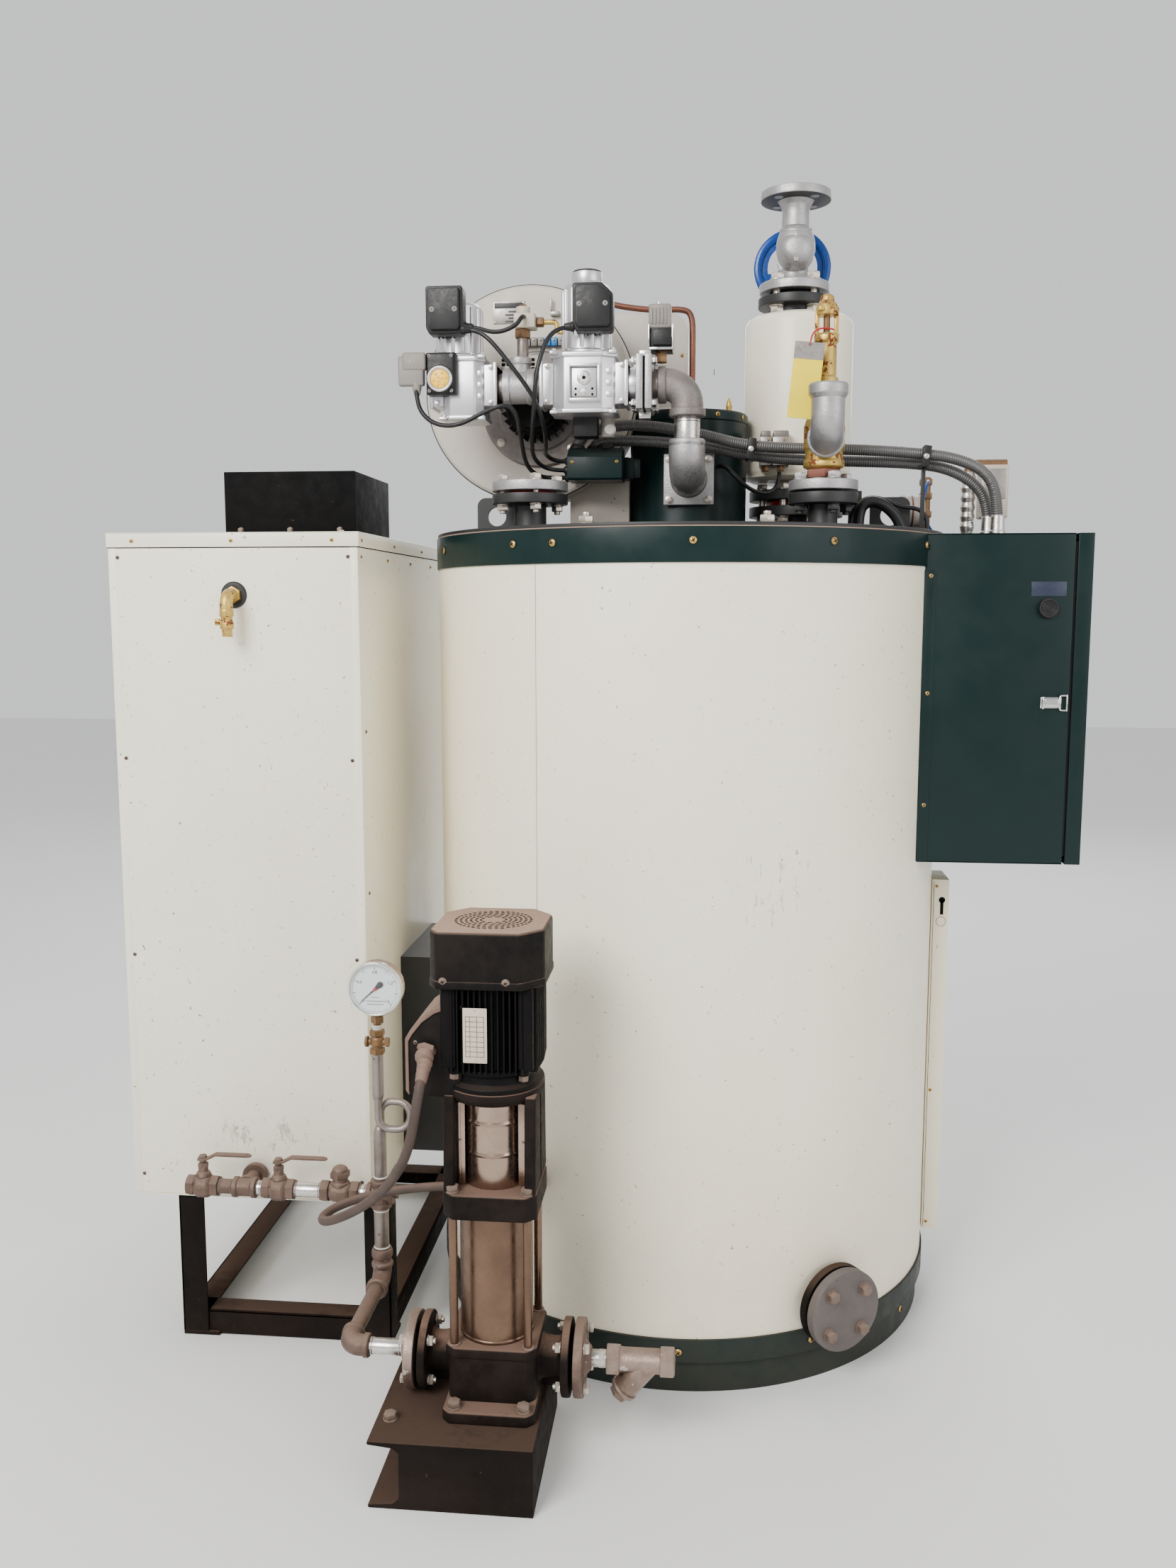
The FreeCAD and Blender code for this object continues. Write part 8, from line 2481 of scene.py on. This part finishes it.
@dataclass
class Pump:
    """The vertical feed pump: base, sleeve, stool, motor, cowl, strainer and pedestal."""

    x: float = -282.0
    y: float = -700.0
    port: float = 177.0

    def plan(self, half_x: float, half_y: float, cut: float) -> Outline:
        """An outline round the pump's axis with its corners cut off."""
        x, y = self.x, self.y
        return [(x - half_x + cut, y - half_y), (x + half_x - cut, y - half_y),
                (x + half_x, y - half_y + cut), (x + half_x, y + half_y - cut),
                (x + half_x - cut, y + half_y), (x - half_x + cut, y + half_y),
                (x - half_x, y + half_y - cut), (x - half_x, y - half_y + cut)]

    def slab(self, piece: Piece, half: tuple[float, float], cut: float, low: float,
             high: float, finish: Finish, bevel: float = 3.0) -> None:
        """A cast slab round the pump's axis, between two heights."""
        piece.prism(self.plan(half[0], half[1], cut), high - low, upright(low, Way.UP), finish,
                    bevel, 3)

    def base(self) -> None:
        """The cast foot and block with its two flanged ports."""
        x, y, port = self.x, self.y, self.port
        piece = Piece("pump_base_casting")
        self.slab(piece, (75, 105), 12, 112, 132, PUMP_CAST, 4.0)
        self.slab(piece, (71, 71), 14, 128, 219, PUMP_CAST, 5.0)
        self.slab(piece, (75, 75), 16, 206, 224, PUMP_CAST, 4.0)
        for side, way in ((-1, Way.LEFT), (1, Way.RIGHT)):
            piece.lathe([(0, 0), (42, 0), (34, 10), (32, 22), (32, 34), (38, 40), (62.5, 42),
                         (62.5, 55), (40, 56), (0, 56)], (x + side * 69, y, port), way,
                        PUMP_CAST, 64, 2.0)
            seat = x + side * 110
            for spot in circle_of((seat, y, port), Way.RIGHT, 48, 4, 45):
                inward = Way.RIGHT if side < 0 else Way.LEFT
                piece.bolt(spot, inward, 15, ZINC_BOLT, Ending.NUT)
            piece.block((x + side * 92 - 18, y - 3, port - 52),
                        (x + side * 92 + 18, y + 3, port - 24), PUMP_CAST, 2.0)
        for spot in corners(x, y, 56, 89):
            piece.bolt((*spot, 132), Way.UP, 19, DUSTY_BOLT)
        piece.done("dusty_steel", "pump_base")
        sleeve = Piece("pump_sleeve_and_stays")
        sleeve.lathe([(0, 223), (61, 223), (61, 228), (59.6, 230), (59.6, 434), (61, 436),
                      (61, 441), (0, 441)], (x, y, 0), Way.UP, SLEEVE, 96, 0.8)
        for spot in corners(x, y, 60, 60):
            sleeve.rod((*spot, 222), Way.UP, 7, 220, SLEEVE, 20, 0.5)
            sleeve.rod((*spot, 223), Way.UP, 10.5, 3, DUSTY_BOLT, 24, 0.6)
        sleeve.done("stainless", "pump_sleeve")

    def stool(self) -> None:
        """The motor stool with its cheeks, and the bright guard round the coupling."""
        x, y = self.x, self.y
        piece = Piece("motor_stool_casting")
        self.slab(piece, (76, 76), 17, 440, 482, STOOL_CAST, 4.5)
        for side in (-1, 1):
            near, far = x + side * 56, x + side * 74
            low = [(y - 66, 480), (y + 66, 480), (y + 58, 640), (y - 58, 640)]
            piece.prism(low, far - near if side > 0 else near - far,
                        upright(near if side > 0 else far, Way.RIGHT), STOOL_CAST, 4.0, 3)
            piece.block((min(near, far), y - 8, 480), (max(near, far), y + 8, 640), STOOL_CAST,
                        3.0)
        piece.lathe([(0, 0), (70, 0), (76, 6), (80, 12), (80, 22), (0, 22)], (x, y, 626),
                    Way.UP, STOOL_CAST, 72, 2.0)
        for spot in corners(x, y, 60, 60):
            piece.bolt((*spot, 482), Way.UP, 18, DUSTY_BOLT)
        piece.done("dusty_steel", "motor_stool")
        guard = Piece("coupling_guard_sheet")
        outline = [(0, 0), (50, 0)]
        for height in (56, 108):
            outline += [(50, height - 4), (51.6, height), (50, height + 4)]
        outline += [(50, 166), (0, 166)]
        guard.lathe(outline, (x, y, 482), Way.UP, GUARD, 80, 0.6)
        for side in (-1, 1):
            edge = x + side * 50
            guard.block((min(edge, edge + side * 5), y - 40, 486),
                        (max(edge, edge + side * 5), y - 36, 622), GUARD, 0.8)
            guard.block((edge - 7, y - 38, 486), (edge + 7, y - 35, 622), GUARD, 0.9)
            guard.screw((edge + side * 2, y - 38, 560), Way.FRONT, 3.6, DUSTY_BOLT)
        guard.done("stainless", "coupling_guard")

    def motor(self) -> None:
        """The finned motor with its lower bell, its feet and a bare rating plate."""
        x, y = self.x, self.y
        piece = Piece("pump_motor_body")
        piece.lathe([(0, 0), (80, 0), (80, 6), (72, 12), (70, 22), (74, 28), (74, 34), (0, 34)],
                    (x, y, 650), Way.UP, MOTOR_BLACK, 72, 1.6)
        piece.rod((x, y, 678), Way.UP, 70, 142, MOTOR_BLACK, 72, 1.0)
        for side in (0, 90, 180, 270):
            turn = Matrix.Translation((x, y, 0)) @ Matrix.Rotation(math.radians(side), 4, "Z")
            for step in range(-6, 7):
                across = step * 9.2
                reach = 80.0 - abs(step) * 0.55
                start = math.sqrt(max(0.0, 69 ** 2 - across ** 2)) - 2
                piece.block((across - 1.5, -reach, 682), (across + 1.5, -start, 820),
                            MOTOR_BLACK, 1.0, 2, turn)
        for dx, dy in ((-1, -1), (1, -1), (1, 1), (-1, 1)):
            corner = Vector((x + dx * 55, y + dy * 55, 676))
            piece.rod(corner, Way.UP, 10, 20, MOTOR_BLACK, 24, 2.0)
            piece.rod(corner + Vector((0, 0, -9)), Way.UP, 8, 10, DUSTY_BOLT, 6, 0.8)
        for side in (-1, 1):
            piece.block((x + side * 61 - 12, y - 74, 690), (x + side * 61 + 12, y - 66, 820),
                        MOTOR_BLACK, 3.0)
        piece.done("black_motor_paint", "pump_motor")
        plate = Piece("pump_rating_plate")
        plate.block((x - 36, y - 82.4, 702), (x + 2, y - 80, 790), SOLENOID_CREAM, 1.4)
        for row in range(9):
            plate.block((x - 32, y - 82.7, 712 + row * 8), (x - 2, y - 82.3, 712.8 + row * 8),
                        DUSTY_BOLT, 0.0)
        for column in (-32, -25, -14, -3):
            plate.block((x + column, y - 82.7, 712), (x + column + 0.8, y - 82.3, 776.8),
                        DUSTY_BOLT, 0.0)
        for height in (706, 786):
            plate.rod((x - 17, y - 82.4, height), Way.FRONT, 1.8, 0.9, BRIGHT, 12, 0.3)
        plate.done("cast_aluminium")

    def cowl(self) -> None:
        """The fan cowl with its slotted, dust-covered top."""
        x, y = self.x, self.y
        piece = Piece("fan_cowl_shell")
        outline = [(x - 76, y - 89), (x + 56, y - 89), (x + 89, y - 52), (x + 89, y + 50),
                   (x + 56, y + 89), (x - 56, y + 89), (x - 89, y + 50), (x - 89, y - 70)]
        piece.prism(outline, 88, upright(822, Way.UP), COWL_BLACK, 5.0, 4)
        hem = [(x + (u - x) * 1.011, y + (v - y) * 1.011) for u, v in outline]
        piece.prism(hem, 14, upright(820, Way.UP), COWL_BLACK, 3.0, 3)
        crown = [(x + (u - x) * 0.965, y + (v - y) * 0.965) for u, v in outline]
        piece.prism(crown, 1.4, upright(909.6, Way.UP), TAN_DUST, 1.0, 2)
        for spot_x in (x - 65, x + 33):
            piece.rod((spot_x, y - 89, 833), Way.FRONT, 6.6, 0.9, DUSTY_BOLT, 24, 0.3)
            piece.screw((spot_x, y - 89.4, 833), Way.FRONT, 4.8, DUSTY_BOLT)
        for index, radius in enumerate((20, 28, 36, 44, 52, 60)):
            count = 10 + index * 6
            for slot in range(count):
                angle = math.degrees(math.tau * slot / count) + index * 4
                piece.lathe([(radius - 1.9, 911.3), (radius + 1.9, 911.3)], (x, y, 0), Way.UP,
                            SEAM_SHADOW, 3, 0.0, 220 / count, angle)
        piece.done("black_plastic", "fan_cowl")

    def box(self) -> None:
        """The terminal box with its domed, dusty cover and the lead's hexagonal gland."""
        room = Room.of("terminal_box")
        left, right, front, back, low = room.left, -322.0, -759.0, room.back, room.low
        piece = Piece("terminal_box_shell")
        outline = [(left + 2, low + 10), (left + 12, low), (right, low), (right, 786),
                   (right - 24, 786), (right - 48, 778), (right - 68, 762), (left + 10, 742),
                   (left + 2, 728)]
        piece.prism(outline, back - front - 3, upright(back, Way.FRONT), COWL_BLACK, 4.0, 3)
        cover = [(left, low + 12), (left + 5, low + 4), (left + 5, 726), (left + 12, 738),
                 (right - 66, 757), (right - 46, 772), (right - 22, 781), (right, 781),
                 (right, 786), (right - 24, 786), (right - 50, 778), (right - 70, 763),
                 (left + 8, 744), (left, 730)]
        piece.prism(cover, back - front, upright(back, Way.FRONT), TERMINAL_TAN, 0.8)
        for spot in ((left + 16, 724), (right - 14, 724), (left + 16, low + 16)):
            piece.screw((spot[0], front + 3, spot[1]), Way.FRONT, 3.4, DUSTY_BOLT)
        piece.rod((-340, front + 3, 672), Way.FRONT, 15, 2.4, COWL_BLACK, 32, 0.8)
        way = Vector((-383, -775, 699)) - Vector((-379, -759, 716))
        at = Vector((-379, -757, 718))
        piece.rod(at, way, 16, 9, TERMINAL_TAN, 6, 1.6)
        piece.lathe([(0, 0), (13.5, 0), (13.5, 4), (15, 6), (15, 12), (12.5, 18), (9, 21),
                     (0, 21)], at + way.normalized() * 8, way, TERMINAL_TAN, 28, 1.2)
        piece.done("black_plastic", "terminal_box")

    def strainer(self) -> None:
        """The inlet flange and the Y strainer with hexagonal ends and a cleaning plug."""
        y, port = self.y, self.port
        piece = Piece("inlet_strainer")
        piece.lathe(disc(40, 0, 6), (-157, y, port), Way.RIGHT, SEAM_SHADOW, 40, 0.6)
        piece.lathe([(0, 0), (62.5, 0), (62.5, 15), (30, 16), (22, 22), (18, 26), (0, 26)],
                    (-151, y, port), Way.RIGHT, DUSTY, 64, 1.6)
        for spot in circle_of((-135, y, port), Way.RIGHT, 48, 4, 45):
            piece.bolt(spot, Way.RIGHT, 15, ZINC_BOLT)
        piece.rod((-128, y, port), Way.RIGHT, 14, 30, BRIGHT, 28, 0.6)
        for x in (-111, -108, -105):
            piece.ring((x, y, port), Way.RIGHT, 14, 0.9, TAPE_WHITE, 28, 6)
        piece.rod((-100, y, port), Way.RIGHT, 27, 22, STRAINER_CAST, 6, 2.4)
        piece.lathe([(0, 0), (22, 0), (20, 6), (20, 70), (23, 78), (0, 78)], (-80, y, port),
                    Way.RIGHT, STRAINER_CAST, 40, 3.0)
        piece.rod((-12, y, port), Way.RIGHT, 27, 23, STRAINER_CAST, 6, 2.4)
        piece.lathe(washer(13, 20, 0, 1.4), (10.6, y, port), Way.RIGHT, STRAINER_CAST, 32, 0.3)
        piece.rod((10.9, y, port), Way.RIGHT, 13, 0.4, SEAM_SHADOW, 28, 0.0)
        way = Vector((-5, 0, -6)).normalized()
        start = Vector((-30, y, port))
        piece.rod(start, way, 21, 66, STRAINER_CAST, 36, 1.6)
        piece.lathe([(0, 0), (23.5, 0), (23.5, 6), (21.5, 8), (0, 8)], start + way * 62, way,
                    STRAINER_CAST, 36, 1.2)
        piece.rod(start + way * 69, way, 17, 12, DUSTY_BOLT, 6, 1.6)
        piece.done("silver_coating", "suction_strainer")

    def pedestal(self) -> None:
        """The black channel pedestal with rolled flanges and a fixing bolt."""
        room = Room.of("pump_pedestal")
        left, right, front, back, high = room.left, room.right, room.front, room.back, 112.0
        piece = Piece("pedestal_channel")
        web = -413.0
        profile = [(left, high), (left, high - 6), (web - 10, high - 10), (web, high - 18),
                   (web, 18), (web - 10, 10), (left, 6), (left, 0), (web + 5, 0), (right, 0),
                   (right, high)]
        piece.prism(profile, back - front, upright(back, Way.FRONT), BLACK_FLOOR, 2.0, 3)
        piece.bolt((-440, -800, high), Way.UP, 19, DUSTY_BOLT)
        piece.bolt((-440, -610, high), Way.UP, 19, DUSTY_BOLT)
        piece.done("black_paint", "pump_pedestal")
        socket = Room.of("lead_socket")
        piece = Piece("lead_socket_box")
        piece.block((socket.left + 6, socket.front, socket.low), (socket.right, socket.back,
                                                              socket.high), PLASTIC_BLACK, 4.0,
                    3)
        piece.lathe([(0, 0), (13, 0), (13, 6), (10, 9), (8.6, 12), (0, 12)],
                    (socket.left, socket.y, socket.z), Way.RIGHT, PLASTIC_BLACK, 28, 1.0)
        piece.block((socket.left + 14, socket.front - 0.01, socket.low + 6),
                    (socket.right - 6, socket.front + 2, socket.high - 6), PLASTIC_BLACK, 1.0)
        piece.done("black_plastic", "lead_socket")

    def build(self) -> None:
        """Make the pump from its pedestal upwards."""
        self.pedestal()
        self.base()
        self.stool()
        self.motor()
        self.cowl()
        self.box()
        self.strainer()


@dataclass
class RearControls:
    """The pressure controls behind the cabinet and the small fittings on the roof."""

    y: float = 60.0

    def controls(self) -> None:
        """The wrapped siphon tube, the cream pressure control and the brass manifold."""
        y = self.y
        piece = Piece("steam_pressure_controls")
        piece.rod((562, y, 1538), Way.UP, 15, 16, DULL_BRASS, 6, 1.4)
        outline = [(0, 0), (11, 0)]
        for step in range(12):
            outline += [(15.0 if step % 2 else 12.2, 6 + step * 9.5)]
        outline += [(11, 124), (0, 124)]
        piece.lathe(outline, (562, y, 1552), Way.UP, FOIL, 20, 1.0)
        piece.pipe([(562, y, 1670), (562, y, 1690), (636, y, 1690)], 10.5, DULL_BRASS, 18, 20)
        piece.block((583, y - 24, 1583), (637, y + 24, 1688), SOLENOID_CREAM, 4.0, 3)
        piece.block((589, y - 25.2, 1620), (631, y - 23, 1680), PLATE_GREY, 0.8)
        piece.rod((610, y - 24, 1600), Way.FRONT, 7, 5, PLASTIC_BLACK, 20, 1.0)
        piece.rod((478, y, 1546), Way.UP, 16, 16, DULL_BRASS, 6, 1.4)
        piece.rod((478, y, 1560), Way.UP, 10, 106, DULL_BRASS, 24, 0.8)
        for height in (1586, 1622, 1650):
            piece.rod((478, y, height), Way.UP, 14, 13, DULL_BRASS, 6, 1.4)
            piece.rod((478, y - 6, height + 6), Way.FRONT, 7, 18, DULL_BRASS, 6, 1.0)
        piece.done("valve_brass", "pressure_controls")
        wire = Strand("control_wire", (
            (0.478, 0.036, 1.656), (0.478, 0.018, 1.656), (0.470, 0.000, 1.640),
            (0.462, -0.012, 1.600), (0.474, -0.006, 1.566), (0.492, 0.010, 1.5475)), 0.003)
        made = wire.curve(BLUE)
        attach(made, "boiler")

    def roof(self) -> None:
        """The grey drum on its foot and the short capped stub."""
        piece = Piece("roof_drum_and_stub")
        piece.lathe([(0, 0), (30, 0), (32, 2), (32, 9), (30, 11), (30, 34), (32, 36), (32, 43),
                     (29, 46), (0, 46)], (412, -60, 1589), Way.RIGHT, GREY, 48, 1.2)
        piece.ring((435, -60, 1589), Way.RIGHT, 30, 1.6, RED_BROWN, 48, 8)
        piece.block((421, -74, 1546), (449, -46, 1566), BLACK, 1.6)
        piece.rod((326, -60, 1546), Way.UP, 17, 14, DULL_BRASS, 6, 1.4)
        piece.rod((326, -60, 1558), Way.UP, 12, 56, BLACK, 24, 0.8)
        piece.rod((326, -60, 1612), Way.UP, 15, 18, BLACK, 6, 1.6)
        piece.done("grey_paint", "roof_fittings")

    def build(self) -> None:
        """Make the controls and the roof fittings."""
        self.controls()
        self.roof()


def keep_cad(finishes: dict[str, Finish]) -> None:
    """Dress the CAD nodes that stay in view.

    Args:
        finishes: the finish of each node.
    """
    for node, finish in finishes.items():
        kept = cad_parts[node]
        kept.data.materials.clear()
        kept.data.materials.append(finish.material())
        LOG.info("%s: kept from the CAD model", node)


def main() -> None:
    """Build the studio, then every sub-assembly in order."""
    logging.basicConfig(level=logging.INFO, format="%(name)s %(message)s")
    studio = Studio()
    studio.camera()
    PumpLead().build()
    studio.build()
    for assembly in (Jacket(), Covers(), SteamSide(), SafetyValve(), Burner(), GasTrain(),
                     Wiring(), Cabinet(), Casing(), FeedLine(), Gauge(), Pump(),
                     RearControls()):
        assembly.build()
    keep_cad({"boiler_shell": BLACK, "lifting_lugs": BLACK, "casing_floor": CREAM_CASING,
              "flue_link": BLACK})


if __name__ == "__main__":
    main()
